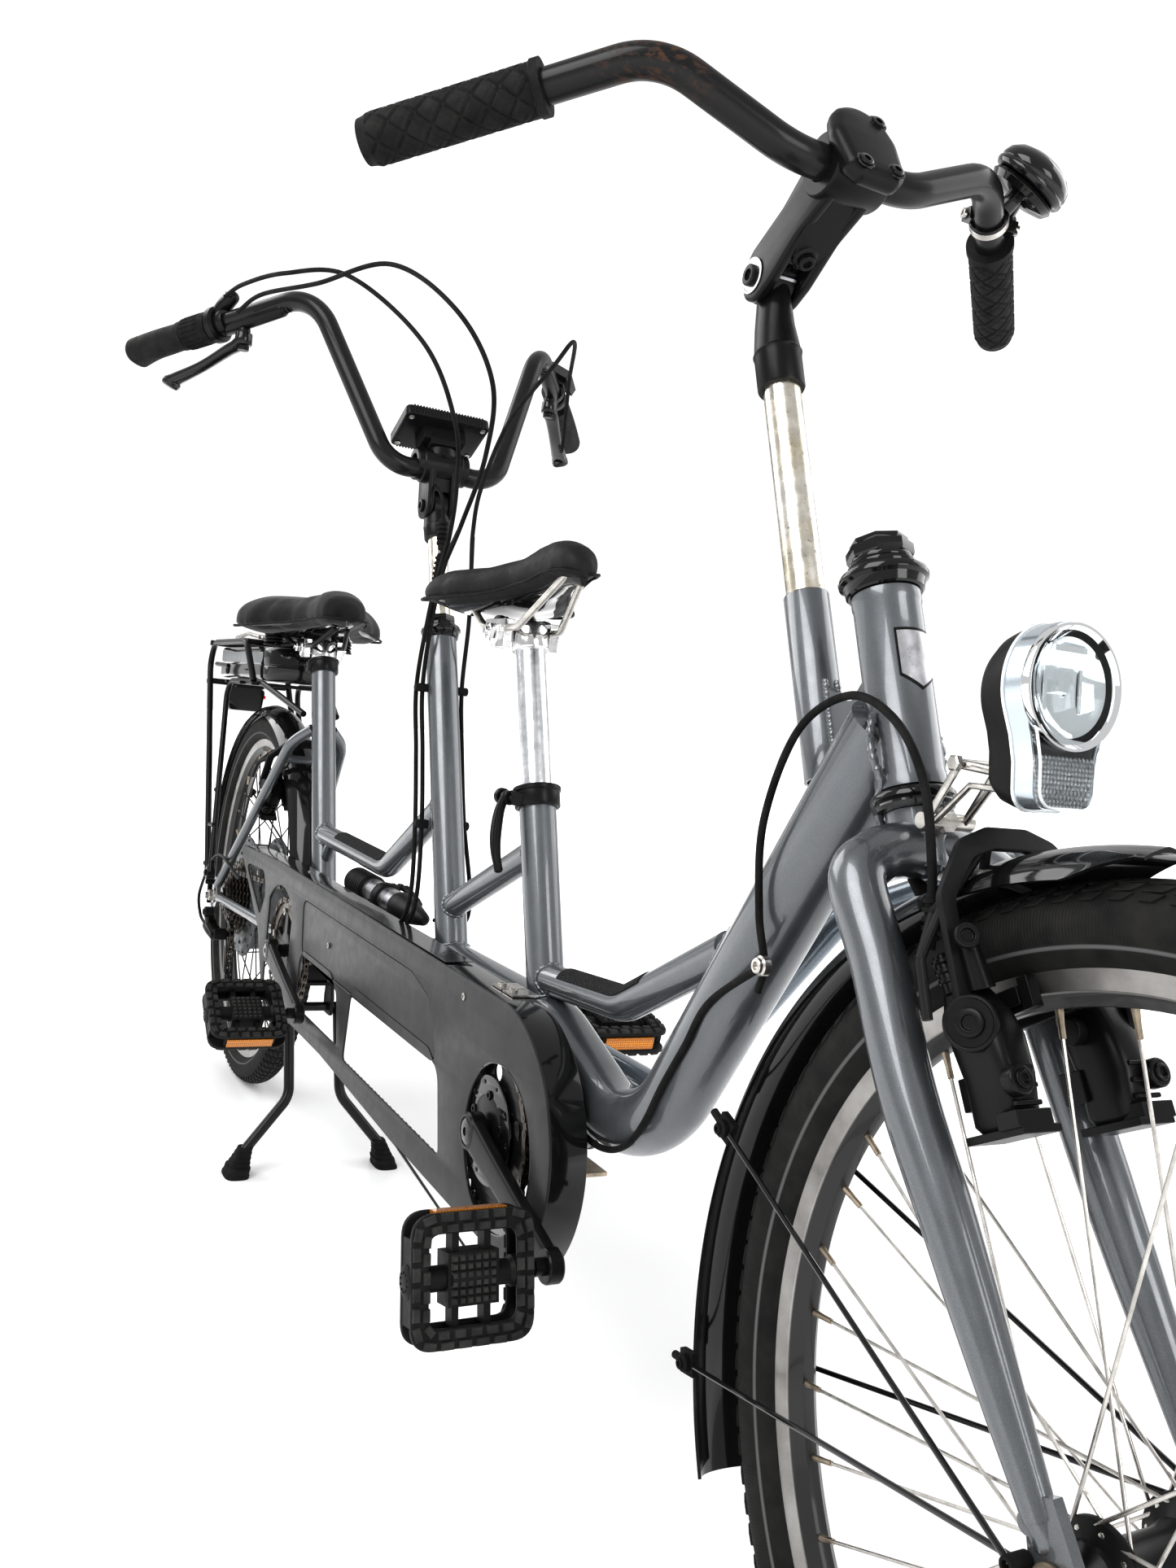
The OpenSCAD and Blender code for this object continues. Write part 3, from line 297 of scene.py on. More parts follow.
def clear(name, color=(0.93, 0.96, 0.97), rough=0.03, weight=1.0):
    f = Finish(name, color, rough=rough)
    f.put("Transmission Weight", weight)
    f.put("IOR", 1.49)
    return f.bump(f.noise(300, 2), 0.01, 0.2).mat


def reflector(name, color, glow=0.0):
    """Moulded prism reflector: small hexagonal cells."""
    f = Finish(name, color, rough=0.16, metal=0.25, coat=0.8)
    cells = f.node("TexVoronoi", {"Vector": f.coords, "Scale": 420.0, "Randomness": 0.0}, feature="F1").outputs["Distance"]
    f.put("Base Color", f.mix(f.ramp(cells, 0.1, 0.6), tuple(min(1, c * 1.3) for c in color), tuple(c * 0.45 for c in color)))
    if glow:
        f.put("Emission Color", (*color, 1))
        f.put("Emission Strength", glow)
    return f.bump(cells, 0.8, 0.9).mat


def chrome_mirror():
    f = Finish("reflector_chrome", (0.9, 0.91, 0.92), rough=0.06, metal=1.0)
    return f.bump(f.noise(90, 2), 0.12, 0.3).mat


PAINT = metallic_paint()
GLOSS_BLACK = black("gloss_black", 0.12, coat=0.6, grain=160, depth=0.02)
SATIN_BLACK = black("satin_black", 0.3, grain=1200, depth=0.008, level=0.008)
MATTE_BLACK = black("matte_black", 0.5, grain=2200, depth=0.03, level=0.01)
CASE_PLASTIC = black("case_plastic", 0.36, grain=1500, depth=0.008, level=0.04)
BAR_BLACK = black("bar_black", 0.3, coat=0.2, grain=700, level=0.012)
RUBBER = rubber("rubber_black")
GRIP_RUBBER = rubber("grip_rubber", 0.012, 0.62)
TREAD = rubber("pedal_tread", 0.035, 0.6)
WORN_CHROME = worn_chrome()
CHROME = metal("bright_chrome", (0.82, 0.82, 0.82), 0.12)
STEEL = metal("stainless", (0.62, 0.6, 0.57), 0.28, dark=0.6)
RUSTY = metal("nickel_worn", (0.5, 0.43, 0.34), 0.4, dark=0.45)
ALLOY = metal("alloy", (0.58, 0.58, 0.6), 0.3)
POST_ALLOY = metal("post_alloy", (0.85, 0.86, 0.88), 0.2, (1, 1, 0.05))
MOTOR = metal("motor_alloy", (0.2, 0.205, 0.21), 0.48, scale=900, depth=0.03)
CHAIN_STEEL = metal("chain_steel", (0.2, 0.18, 0.16), 0.38, dark=0.4)
RIM_BLACK = black("rim_black", 0.3, coat=0.3, grain=600)
GRIT = grit()
KNIT = knit()
LEATHER = saddle_leather()
LENS = clear("lens_clear")
ORANGE = reflector("reflector_orange", (0.85, 0.3, 0.02))
RED = reflector("reflector_red", (0.7, 0.02, 0.02), 0.6)
PRISM = reflector("reflector_white", (0.7, 0.72, 0.74))
MIRROR = chrome_mirror()


# Mesh building --------------------------------------------------------------

def rounded(points, radius, steps=10):
    """Polyline through the points, with round corners of that radius."""
    points = [Vector(p) for p in points]
    out = [points[0]]
    for a, b, c in zip(points, points[1:], points[2:]):
        u, v = (b - a).normalized(), (c - b).normalized()
        turn = u.angle(v, 0)
        if turn < 0.01:
            out.append(b)
            continue
        cut = min(radius * math.tan(turn / 2), (b - a).length * 0.49, (c - b).length * 0.49)
        r = cut / math.tan(turn / 2)
        inward = (v - u * math.cos(turn)).normalized()
        centre = b - u * cut + inward * r
        for i in range(steps + 1):
            t = turn * i / steps
            out.append(centre - inward * r * math.cos(t) + u * r * math.sin(t))
    out.append(points[-1])
    return out


def flowing(points, steps=12):
    """Smooth curve through every point."""
    p = [Vector(q) for q in points]
    p = [2 * p[0] - p[1]] + p + [2 * p[-1] - p[-2]]
    out = []
    for a, b, c, d in zip(p, p[1:], p[2:], p[3:]):
        for i in range(steps):
            t = i / steps
            out.append(0.5 * (2 * b + (c - a) * t + (2 * a - 5 * b + 4 * c - d) * t * t
                              + (3 * b - a - 3 * c + d) * t ** 3))
    out.append(p[-2])
    return out


def resample(points, step):
    """The same polyline with points no more than step apart on its straights."""
    out = [points[0]]
    for a, b in zip(points, points[1:]):
        n = max(1, round((b - a).length / step))
        out += [a.lerp(b, i / n) for i in range(1, n + 1)]
    return out


def frames(path, closed=False):
    """Tangent, side and up vectors at each point, turned as little as possible along the path."""
    n = len(path)
    tangents = []
    for i in range(n):
        before = path[i - 1] if (closed or i) else path[0]
        after = path[(i + 1) % n] if (closed or i < n - 1) else path[-1]
        tangents.append((after - before).normalized())
    side = tangents[0].cross(Z)
    if side.length < 0.05:
        side = tangents[0].cross(Y)
    side.normalize()
    out = []
    for t in tangents:
        side = (side - t * side.dot(t)).normalized()
        out.append((t, side, side.cross(t)))
    return out


class Shape:
    """Collects closed pieces into one mesh. Points are in millimetres, in the row frame."""

    def __init__(self):
        self.points, self.faces, self.slots, self.slot = [], [], [], 0

    def use(self, slot):
        self.slot = slot
        return self

    def add(self, points, faces):
        base = len(self.points)
        self.points += [Vector(p) for p in points]
        self.faces += [[base + i for i in f] for f in faces]
        self.slots += [self.slot] * len(faces)
        return self

    def grid(self, rings, closed=False):
        """Skin over rings of equal count, with flat ends unless closed."""
        n, m = len(rings), len(rings[0])
        faces = []
        for i in range(n if closed else n - 1):
            a, b = i * m, ((i + 1) % n) * m
            faces += [[a + k, a + (k + 1) % m, b + (k + 1) % m, b + k] for k in range(m)]
        if not closed:
            faces += [list(range(m))[::-1], [(n - 1) * m + k for k in range(m)]]
        return self.add([p for ring in rings for p in ring], faces)

    def sweep(self, path, radius, sides=24, oval=1.0, closed=False, dome=False, section=None):
        """Tube along path. radius is a number or a function of the share of length; oval widens it sideways."""
        path = [Vector(p) for p in path]
        spans = [0.0]
        for a, b in zip(path, path[1:]):
            spans.append(spans[-1] + (b - a).length)
        rings = []
        for p, (t, s, u), run in zip(path, frames(path, closed), spans):
            share = run / spans[-1]
            r = radius(share) if callable(radius) else radius
            o = oval(share) if callable(oval) else oval
            if section:
                rings.append([p + s * x * r + u * y * r for x, y in section])
            else:
                rings.append([p + s * math.cos(k * math.tau / sides) * r * o
                              + u * math.sin(k * math.tau / sides) * r for k in range(sides)])
        if dome and not closed:
            t0, t1 = frames(path)[0][0], frames(path)[-1][0]
            for ring, centre, out, front in ((rings[0], path[0], -t0, True), (rings[-1], path[-1], t1, False)):
                r = (ring[0] - centre).length
                for k in (1, 2, 3):
                    a = k * math.pi / 6.6
                    cap = [centre + (q - centre) * math.cos(a) + out * r * math.sin(a) * 0.8 for q in ring]
                    rings.insert(0, cap) if front else rings.append(cap)
        return self.grid(rings, closed)

    def tube(self, a, b, r, sides=24, r2=None):
        r2 = r if r2 is None else r2
        return self.sweep([a, b], lambda t: r + (r2 - r) * t, sides)

    def ball(self, c, r, squash=(1, 1, 1), sides=16):
        rings = []
        for i in range(1, sides // 2):
            a = math.pi * i / (sides // 2)
            rings.append([Vector(c) + Vector((r * squash[0] * math.sin(a) * math.cos(k * math.tau / sides),
                                              r * squash[1] * math.sin(a) * math.sin(k * math.tau / sides),
                                              r * squash[2] * math.cos(a))) for k in range(sides)])
        return self.grid(rings)

    def lathe(self, origin, axis, profile, sides=64, start=0.0, sweep=360.0, ref=None):
        """Turns a closed profile of (radius, height) points about an axis."""
        axis = Vector(axis).normalized()
        side = Vector(ref) if ref else (axis.cross(Z) if axis.cross(Z).length > 0.1 else axis.cross(X))
        side = (side - axis * side.dot(axis)).normalized()
        up = axis.cross(side)
        full = sweep >= 359.9
        n = sides if full else sides + 1
        rings = []
        for i in range(n):
            a = math.radians(start + sweep * i / sides)
            d = side * math.cos(a) + up * math.sin(a)
            rings.append([Vector(origin) + d * r + axis * h for r, h in profile])
        return self.grid(rings, full)

    def disc(self, c, axis, profile, sides=48):
        """Solid of revolution whose profile starts and ends on the axis."""
        axis = Vector(axis).normalized()
        side = (axis.cross(Z) if axis.cross(Z).length > 0.1 else axis.cross(X)).normalized()
        up = axis.cross(side)
        rings = [[Vector(c) + axis * h + (side * math.cos(k * math.tau / sides)
                                          + up * math.sin(k * math.tau / sides)) * max(r, 0.01)
                  for k in range(sides)] for r, h in profile]
        return self.grid(rings)

    def slab(self, outline, place, depth):
        """Flat outline of (x, y) points pushed out by depth along the place matrix's Z."""
        low_ring = [place @ Vector((x, y, 0)) for x, y in outline]
        high_ring = [place @ Vector((x, y, depth)) for x, y in outline]
        return self.grid([low_ring, high_ring])

    def box(self, c, size, turn=None):
        """Box about c; turn is a 3x3 matrix."""
        turn = turn or Matrix.Identity(3)
        x, y, z = (s / 2 for s in size)
        ring = [(-x, -y), (x, -y), (x, y), (-x, y)]
        return self.grid([[Vector(c) + turn @ Vector((a, b, h)) for a, b in ring] for h in (-z, z)])

    def bolt(self, c, axis, r=4.0, h=4.0, socket=True):
        """Socket-head bolt."""
        inner = [(r * 0.52, h), (r * 0.5, h * 0.35), (0, h * 0.35)] if socket else [(0, h * 1.25)]
        return self.disc(c, axis, [(0, 0), (r, 0), (r, h * 0.85), (r * 0.88, h)] + inner, 20)

    def make(self, name, materials, body, replaces=(), bevel=0.0, subdivide=0, sharp=35, slot=None):
        mesh = bpy.data.meshes.new(name)
        mesh.from_pydata([p * MM for p in self.points], [], self.faces)
        for m in (materials if isinstance(materials, (list, tuple)) else [materials]):
            mesh.materials.append(m)
        mesh.polygons.foreach_set("material_index", self.slots)
        bm = bmesh.new()
        bm.from_mesh(mesh)
        bmesh.ops.recalc_face_normals(bm, faces=bm.faces)
        bm.to_mesh(mesh)
        bm.free()
        mesh.shade_smooth()
        mesh.set_sharp_from_angle(angle=math.radians(sharp))
        piece = bpy.data.objects.new(name, mesh)
        bpy.context.scene.collection.objects.link(piece)
        if bevel:
            mod = piece.modifiers.new("edge", "BEVEL")
            mod.width, mod.segments, mod.limit_method = bevel * MM, 2, "ANGLE"
            mod.angle_limit = math.radians(40)
            mod.harden_normals = True
        if subdivide:
            piece.modifiers.new("smooth", "SUBSURF").levels = subdivide
            piece.modifiers["smooth"].render_levels = subdivide
        if body:
            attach(piece, body)
        if replaces:
            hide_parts(*([replaces] if isinstance(replaces, str) else replaces))
        return piece


def looking(origin, z_axis, x_axis):
    """Matrix that puts a slab's plane at origin, with its Z along z_axis."""
    z = Vector(z_axis).normalized()
    x = Vector(x_axis)
    x = (x - z * x.dot(z)).normalized()
    y = z.cross(x)
    m = Matrix((x, y, z)).transposed().to_4x4()
    m.translation = Vector(origin)
    return m


def weld(shape, foot, along, r, wall, wall_axis, wall_r, bead=2.0, sides=56):
    """Weld bead where a tube (foot, along, r) meets the side of another tube (wall, wall_axis, wall_r)."""
    along, wall_axis = Vector(along).normalized(), Vector(wall_axis).normalized()
    side = along.cross(wall_axis).normalized()
    up = along.cross(side)
    path = []
    for k in range(sides):
        a = k * math.tau / sides
        start = Vector(foot) + (side * math.cos(a) + up * math.sin(a)) * r
        d = along - wall_axis * along.dot(wall_axis)
        o = (start - wall) - wall_axis * (start - wall).dot(wall_axis)
        qa, qb, qc = d.dot(d), 2 * o.dot(d), o.dot(o) - wall_r ** 2
        root = qb * qb - 4 * qa * qc
        t = (-qb + math.sqrt(max(root, 0))) / (2 * qa)
        path.append(start + along * t)
    count = [0]

    def ripple(share):
        count[0] += 1
        return bead * (1 + 0.22 * math.sin(count[0] * 2.4))
    return shape.sweep(path, ripple, 10, closed=True)


# Frame ----------------------------------------------------------------------

def vec(x, y, z):
    return Vector((x, y, z))


MAIN_LINE = [
    HEAD - 72 * UP + vec(-6, 0, -9), vec(FRONT_HUB.x - 458, 0, MAIN_Z - 60),
    vec(FRONT_HUB.x - 621, 0, MAIN_Z - 1), vec(FRONT_HUB.x - 869, 0, MAIN_Z - 3),
    vec(REAR_BB.x - 20, 0, REAR_BB.z + 20)]
MAIN_R = 26
FRONT_STEP = [seat_point(FRONT_BB, 412), FRONT_BB + vec(105, 0, 132), HEAD + vec(-120, 0, -238)]
REAR_STEP = [seat_point(REAR_BB, 448), REAR_BB + vec(236, 0, 151), COLUMN - 188 * UP]
STEP_R = 14
COLUMN_R = 17
SEAT_R = 17


def build_frame():
    s = Shape()
    s.sweep(resample(rounded(MAIN_LINE, 105, 18), 40), MAIN_R, 64)
    head_foot = HEAD - HEAD_LEN * UP
    s.lathe(head_foot, UP, [(18, 0), (20.6, 0.6), (20.6, 7), (20, 9), (20, 112), (20.6, 114), (20.6, 120.4), (18, 121)])
    s.lathe(QUILL_TOP - 125 * UP, UP, [(12.8, 0), (14.8, 0), (14.8, 124), (14.2, 125), (12.8, 125)])
    s.lathe(FRONT_BB, SEAT_UP, [(13.7, 0), (SEAT_R, 0), (SEAT_R, 298), (13.7, 298)])
    s.lathe(REAR_BB, SEAT_UP, [(13.7, 0), (SEAT_R, 0), (SEAT_R, 418), (13.7, 418)])
    s.lathe(COLUMN - COLUMN_LEN * UP, UP, [(14, 0), (COLUMN_R, 0), (COLUMN_R, COLUMN_LEN), (14, COLUMN_LEN)])
    for bb in (FRONT_BB, REAR_BB):
        s.lathe(bb - 34 * Y, Y, [(17, 0), (20, 0), (20, 68), (17, 68)])
    strut_foot, strut_end = COLUMN - 303 * UP, seat_point(FRONT_BB, 522)
    s.tube(strut_foot, strut_end, 13, 40)
    for line in (FRONT_STEP, REAR_STEP):
        s.sweep(resample(rounded(line, 62, 14), 25), STEP_R, 40)
    for side in (-1, 1):
        chain_line = [REAR_BB + vec(-12, side * 22, 2), REAR_BB + vec(-108, side * 37, 4), REAR_HUB + vec(13, side * 71, 0)]
        s.sweep(resample(rounded(chain_line, 120, 10), 25), lambda t: 8.6 - 1.6 * t, 24, oval=0.9)
        seat_line = rounded([seat_point(REAR_BB, 590) + vec(-6, side * 14, 0), REAR_HUB + vec(265, side * 38, 268),
                             REAR_HUB + vec(8, side * 71, 18)], 60, 8)
        s.sweep(resample(seat_line, 25), lambda t: 8 - 1.2 * t, 24)
        plate = [(-22, -20), (14, -17), (24, -6), (22, 10), (14, 30), (2, 32), (-16, 16)]
        s.slab(plate, looking(REAR_HUB + vec(0, side * 71 + 3, 0), -Y, X), 6)
    s.tube(REAR_HUB + vec(236, -41, 242), REAR_HUB + vec(236, 41, 242), 6)
    s.tube(seat_point(REAR_BB, 405), REAR_BB + vec(-8, 0, 153), 8)
    s.box(REAR_BB + vec(-31, 0, -5.5), (24, 50, 5))
    gusset = [HEAD - 14 * UP + 12 * BACK, HEAD - 44 * UP + 21 * BACK, HEAD - 54 * UP + 36 * BACK,
              HEAD - 50 * UP + 50 * BACK, HEAD - 32 * UP + 62 * BACK, HEAD - 92 * UP + 70 * BACK, HEAD - 100 * UP + 10 * BACK]
    s.slab([(p.x, p.z) for p in gusset], looking(vec(0, 5, 0), -Y, X), 10)
    main_down = (MAIN_LINE[1] - MAIN_LINE[0]).normalized()
    weld(s, HEAD - 96 * UP, main_down, MAIN_R, HEAD, UP, 20, 2.6, 90)
    weld(s, strut_end, strut_foot - strut_end, 13, FRONT_BB, SEAT_UP, SEAT_R, 1.8)
    weld(s, strut_foot, strut_end - strut_foot, 13, COLUMN, UP, COLUMN_R, 1.8)
    weld(s, FRONT_STEP[0], FRONT_STEP[1] - FRONT_STEP[0], STEP_R, FRONT_BB, SEAT_UP, SEAT_R, 1.9)
    weld(s, REAR_STEP[0], REAR_STEP[1] - REAR_STEP[0], STEP_R, REAR_BB, SEAT_UP, SEAT_R, 1.9)
    weld(s, REAR_STEP[2], REAR_STEP[1] - REAR_STEP[2], STEP_R, COLUMN, UP, COLUMN_R, 1.8)
    deck = (MAIN_LINE[3] - MAIN_LINE[2]).normalized()
    weld(s, vec(seat_point(FRONT_BB, MAIN_Z).x, 0, MAIN_Z), SEAT_UP, SEAT_R, MAIN_LINE[2], deck, MAIN_R, 2.2)
    column_foot = COLUMN - (COLUMN.z - MAIN_Z + 2) / UP.z * UP
    weld(s, column_foot, UP, COLUMN_R, MAIN_LINE[2], deck, MAIN_R, 2.2)
    slope = (MAIN_LINE[0] - MAIN_LINE[1]).normalized()
    step_in = FRONT_STEP[2] + (FRONT_STEP[2] - FRONT_STEP[1]).normalized() * 20
    weld(s, step_in, FRONT_STEP[1] - FRONT_STEP[2], STEP_R, MAIN_LINE[0], slope, MAIN_R, 2.2)
    for q in range(20):
        run = q / 19
        for side in (-1, 1):
            at = HEAD + (62 - 14 * abs(run - 0.3)) * BACK * 0 + (59.5 * BACK) - (34 + 50 * run) * UP
            s.ball(at + side * 4.6 * Y, 3.1 + 0.4 * (q % 2), (1, 0.7, 1), 10)
            near = HEAD + 20.4 * BACK - (22 + 58 * run) * UP
            s.ball(near + side * 4.6 * Y, 2.9 + 0.4 * (q % 2), (1, 0.7, 1), 10)
    return s.make("frame_tubes", PAINT, "frame", "main_frame", slot="frame_paint")


def build_step_tapes():
    """Grit tape wrapped over the step bars."""
    s = Shape()
    for line, start, end in ((FRONT_STEP, 0.13, 0.72), (REAR_STEP, 0.18, 0.66)):
        path = resample(rounded(line, 62, 14), 8)
        path = path[int(start * len(path)):int(end * len(path))]
        rings = []
        for p, (t, side, up) in zip(path, frames(path)):
            if up.z < 0:
                side, up = -side, -up
            arc = [math.radians(a) for a in range(-64, 65, 8)]
            outer = [p + side * math.sin(a) * 15 + up * math.cos(a) * 15 for a in arc]
            inner = [p + side * math.sin(a) * 13.9 + up * math.cos(a) * 13.9 for a in reversed(arc)]
            rings.append(outer + inner)
        s.grid(rings)
    s.make("step_grip_tapes", GRIT, "frame", slot="rubber")


def build_badge():
    """Blank shield on the head tube."""
    s = Shape()
    outline = [(-13, 19), (13, 19), (13, -10), (0, -19), (-13, -10)]
    for layer, (scale, lift) in enumerate(((1.0, 20.35), (0.9, 20.75))):
        s.use(layer)
        cols, rows = 12, 10
        grids = []
        for i in range(cols + 1):
            x = -13 + 26 * i / cols
            bottom = -19 + 9 * abs(x) / 13
            strip = []
            for j in range(rows + 1):
                y = bottom + (19 - bottom) * j / rows
                a = x * scale / 20
                out = BACK * -math.cos(a) + Y * math.sin(a)
                strip.append((HEAD - 47 * UP + out * lift + UP * y * scale, HEAD - 47 * UP + out * 19.5 + UP * y * scale))
            grids.append([p for p, q in strip] + [q for p, q in reversed(strip)])
        s.grid(grids)
    s.make("head_badge", [SATIN_BLACK, ALLOY], "frame", slot="alloy")
    assert outline


def build_fork():
    s = Shape()
    for side in (-1, 1):
        shoulder = FRONT_HUB + vec(-181, side * 52, 276)
        middle_p = FRONT_HUB + vec(-120, side * 57, 176)
        foot = FRONT_HUB + vec(-13, side * 53, 22)
        line = [CROWN + 4 * UP, CROWN + vec(1, side * 19, 3), CROWN + vec(4, side * 38, -2), shoulder + vec(-1, 0, -5),
                shoulder.lerp(middle_p, 0.45), middle_p, middle_p.lerp(foot, 0.35) + vec(0, -side * 0.5, 0),
                middle_p.lerp(foot, 0.7), foot]
        widths = [16, 15.6, 15.2, 15, 14.6, 14, 12.6, 10.4, 8]

        def radius(t, w=widths):
            k = min(t * (len(w) - 1), len(w) - 1.001)
            return w[int(k)] + (w[int(k) + 1] - w[int(k)]) * (k - int(k))
        s.sweep(resample(flowing(line, 10), 12), radius, 44)
        s.sweep([foot + (middle_p - foot).normalized() * 6, FRONT_HUB + vec(-9, side * 53, 14)], lambda t: 8.2 - 2.5 * t, 24, dome=True)
        plate = [(-22, 30), (-6, 36), (10, 14), (13, -8), (4, -15), (-10, -13), (-15, 6)]
        s.slab(plate, looking(FRONT_HUB + vec(0, side * 53 + 3, 0), -Y, X), 6)
        s.disc(FRONT_HUB + vec(-16, side * 58.6, 20), Y * side, [(0, -6), (5, -6), (5, 0), (0, 0)], 20)
    s.lathe(HEAD - (HEAD_LEN + 12.1) * UP, -UP, [(10, 0), (17, 0), (16.8, 14), (16.2, 34), (10, 34)])
    ring = [CROWN + 4 * UP + (X * math.cos(a) + UP * math.sin(a)) * 16.2 for a in [k * math.tau / 40 for k in range(40)]]
    count = [0]

    def ripple(share):
        count[0] += 1
        return 1.7 * (1 + 0.2 * math.sin(count[0] * 2.4))
    s.sweep(ring, ripple, 10, closed=True)
    rod_front = CROWN + 70 * Y
    s.sweep([CROWN, CROWN + 40 * Y, rod_front], lambda t: 11 - 2 * t, 24)
    s.disc(rod_front - 9 * UP, UP, [(0, 0), (10, 0), (11, 1.5), (11, 16.5), (10, 18), (0, 18)], 32)
    s.use(1)
    s.disc(rod_front + 9 * UP, UP, [(0, 0), (7, 0), (7, 5), (5, 6), (0, 6)], 6)
    s.disc(rod_front - 9 * UP, -UP, [(0, 0), (7, 0), (7, 5), (5, 6), (0, 6)], 6)
    s.use(2)
    s.lathe(HEAD + 14.1 * UP, UP, [(12.8, 0), (20, 0), (20.6, 1), (20.6, 4), (19, 5.2), (17.6, 5.6), (12.8, 5.6)])
    s.lathe(HEAD + 19.8 * UP, UP, [(12.8, 0), (18.4, 0), (18.8, 1.5), (18.4, 3), (12.8, 3)])
    s.lathe(HEAD + 22.8 * UP, UP, [(11, 0), (19.4, 0), (20.2, 1.5), (20.2, 7.5), (18.6, 9.2), (17.4, 9.2), (17.4, 12), (13.4, 13.5),
                                  (11, 13.5)], sides=8)
    s.lathe(HEAD + 30 * UP, UP, [(10.5, -70), (13.2, -70), (13.2, 5), (12.6, 6), (10.5, 6)])
    return s.make("fork_body", [PAINT, STEEL, GLOSS_BLACK], "front_fork", "fork", slot="frame_paint")


def build_cups():
    s = Shape()
    for top, reach, scale in ((HEAD, HEAD_LEN, 1.0), (COLUMN, COLUMN_LEN, 0.82)):
        cup = [(12.8, 0), (22, 0), (23.2, 1), (23.6, 4), (24.4, 6.4), (26.6, 8), (27, 10), (26, 12.4), (23, 13.6), (12.8, 13.9)]
        s.lathe(top + 0.1 * UP, UP, [(max(12.8, r * scale), h) for r, h in cup])
        foot = [(12.8, 0), (20.4, 0), (23, 1.6), (24.2, 3.4), (24.2, 5.6), (22.4, 6.4), (22.8, 7.4), (23.4, 9), (22.6, 11.4), (12.8, 11.9)]
        s.lathe(top - (reach + 0.1) * UP, -UP, [(max(12.8, r * scale), h) for r, h in [(r, h) for r, h in foot]])
    for bb in (FRONT_BB, REAR_BB):
        for side in (-1, 1):
            s.lathe(bb + side * 33.9 * Y, side * Y, [(8.7, -18), (16.9, -18), (16.9, 0.1), (21, 0.1), (21.3, 1), (21.3, 2.4), (20, 3.1), (8.7, 3.1)])
    s.make("headset_and_bracket_cups", GLOSS_BLACK, "frame", "bearing_cups", slot="black_metal")


def build_column_lock():
    """Spacer and locknut round the rear steerer, above its cup."""
    s = Shape()
    s.lathe(COLUMN + 14.1 * UP, UP, [(12.9, 0), (16.5, 0), (16.8, 3), (15.5, 4), (12.9, 4)])
    s.lathe(COLUMN + 18 * UP, UP, [(12.9, 0), (16.4, 0), (17, 1.2), (17, 6), (15.8, 8), (13.6, 9), (12.9, 9)], sides=8)
    s.make("column_locknut", GLOSS_BLACK, "rear_steering_column", slot="black_metal")


def build_rod():
    line_end = CROWN + 70 * Y - vec(26, 0, 10)
    rod_rear = COLUMN - 418 * UP + 70 * Y
    path = [rod_rear + vec(6, 0, 2), vec(rod_rear.x + 62, 50, MAIN_Z - 29), vec(FRONT_BB.x + 123, 50, MAIN_Z - 25),
            vec(CROWN.x - 122, 50, CROWN.z - 54), line_end]
    s = Shape()
    s.sweep(resample(rounded(path, 70, 14), 30), 9, 36)
    s.use(1)
    s.sweep([line_end, line_end.lerp(CROWN + 70 * Y, 0.6)], 5, 20)
    s.disc(rod_rear - 10 * UP, UP, [(0, 0), (10.5, 0), (11.5, 2), (11.5, 18), (10.5, 20), (0, 20)], 32)
    blue = Finish("rod_paint", (0.2, 0.24, 0.28), rough=0.25, metal=0.5, coat=1.0)
    blue.rough_noise(0.2, 0.32, 60)
    s.make("steering_rod_tube", [blue.mat, STEEL], "steering_rod", "steering_rod", slot="frame_paint")


build_frame()
build_step_tapes()
build_badge()
build_fork()
build_cups()
build_column_lock()
build_rod()


# Wheels ---------------------------------------------------------------------

def build_tyre(name, hub, body, node, material):
    """Carcass with shoulder knobs and sipes cut by stepped blocks round it."""
    centre_r, half = WHEEL_R - 23, 23
    s = Shape()
    profile = []
    for k in range(49):
        a = math.radians(-148 + 296 * k / 48)
        bulge = 1 + 0.02 * math.cos(2 * a)
        profile.append((centre_r + half * math.cos(a) * 0.93 * bulge, half * math.sin(a) * bulge))
    inner = [(261.5, 10), (261.5, -10)]
    s.lathe(hub, Y, profile + inner, 180)
    tread = Shape()
    blocks = 110
    for row, (lean_deg, width, long_share) in enumerate(((0, 6.5, 0.84), (17, 5.2, 0.72), (-17, 5.2, 0.72), (34, 5.6, 0.62), (-34, 5.6, 0.62),
                                                        (50, 4.6, 0.42), (-50, 4.6, 0.42))):
        lean = math.radians(lean_deg)
        for k in range(blocks):
            a = (k + 0.5 * (row % 2)) * math.tau / blocks
            out = X * math.cos(a) + Z * math.sin(a)
            ahead = -X * math.sin(a) + Z * math.cos(a)
            normal = out * math.cos(lean) + Y * math.sin(lean)
            across = Y * math.cos(lean) - out * math.sin(lean)
            c = hub + out * (centre_r + half * 0.945 * math.cos(lean)) + Y * half * math.sin(lean) * 0.985
            reach = math.tau * WHEEL_R / blocks * long_share / 2
            skew = ahead * (2.2 if lean_deg > 0 else -2.2 if lean_deg < 0 else 0)
            ring = [c + ahead * reach + across * width / 2 + skew, c - ahead * reach + across * width / 2 + skew,
                    c - ahead * reach - across * width / 2 - skew, c + ahead * reach - across * width / 2 - skew]
            tread.grid([[q - normal * 1.5 for q in ring], [q + normal * 1.0 for q in ring],
                        [c + (q - c) * 0.86 + normal * 1.35 for q in ring]])
    s.add(tread.points, tread.faces)
    s.make(name, material, body, node, slot="tyre")


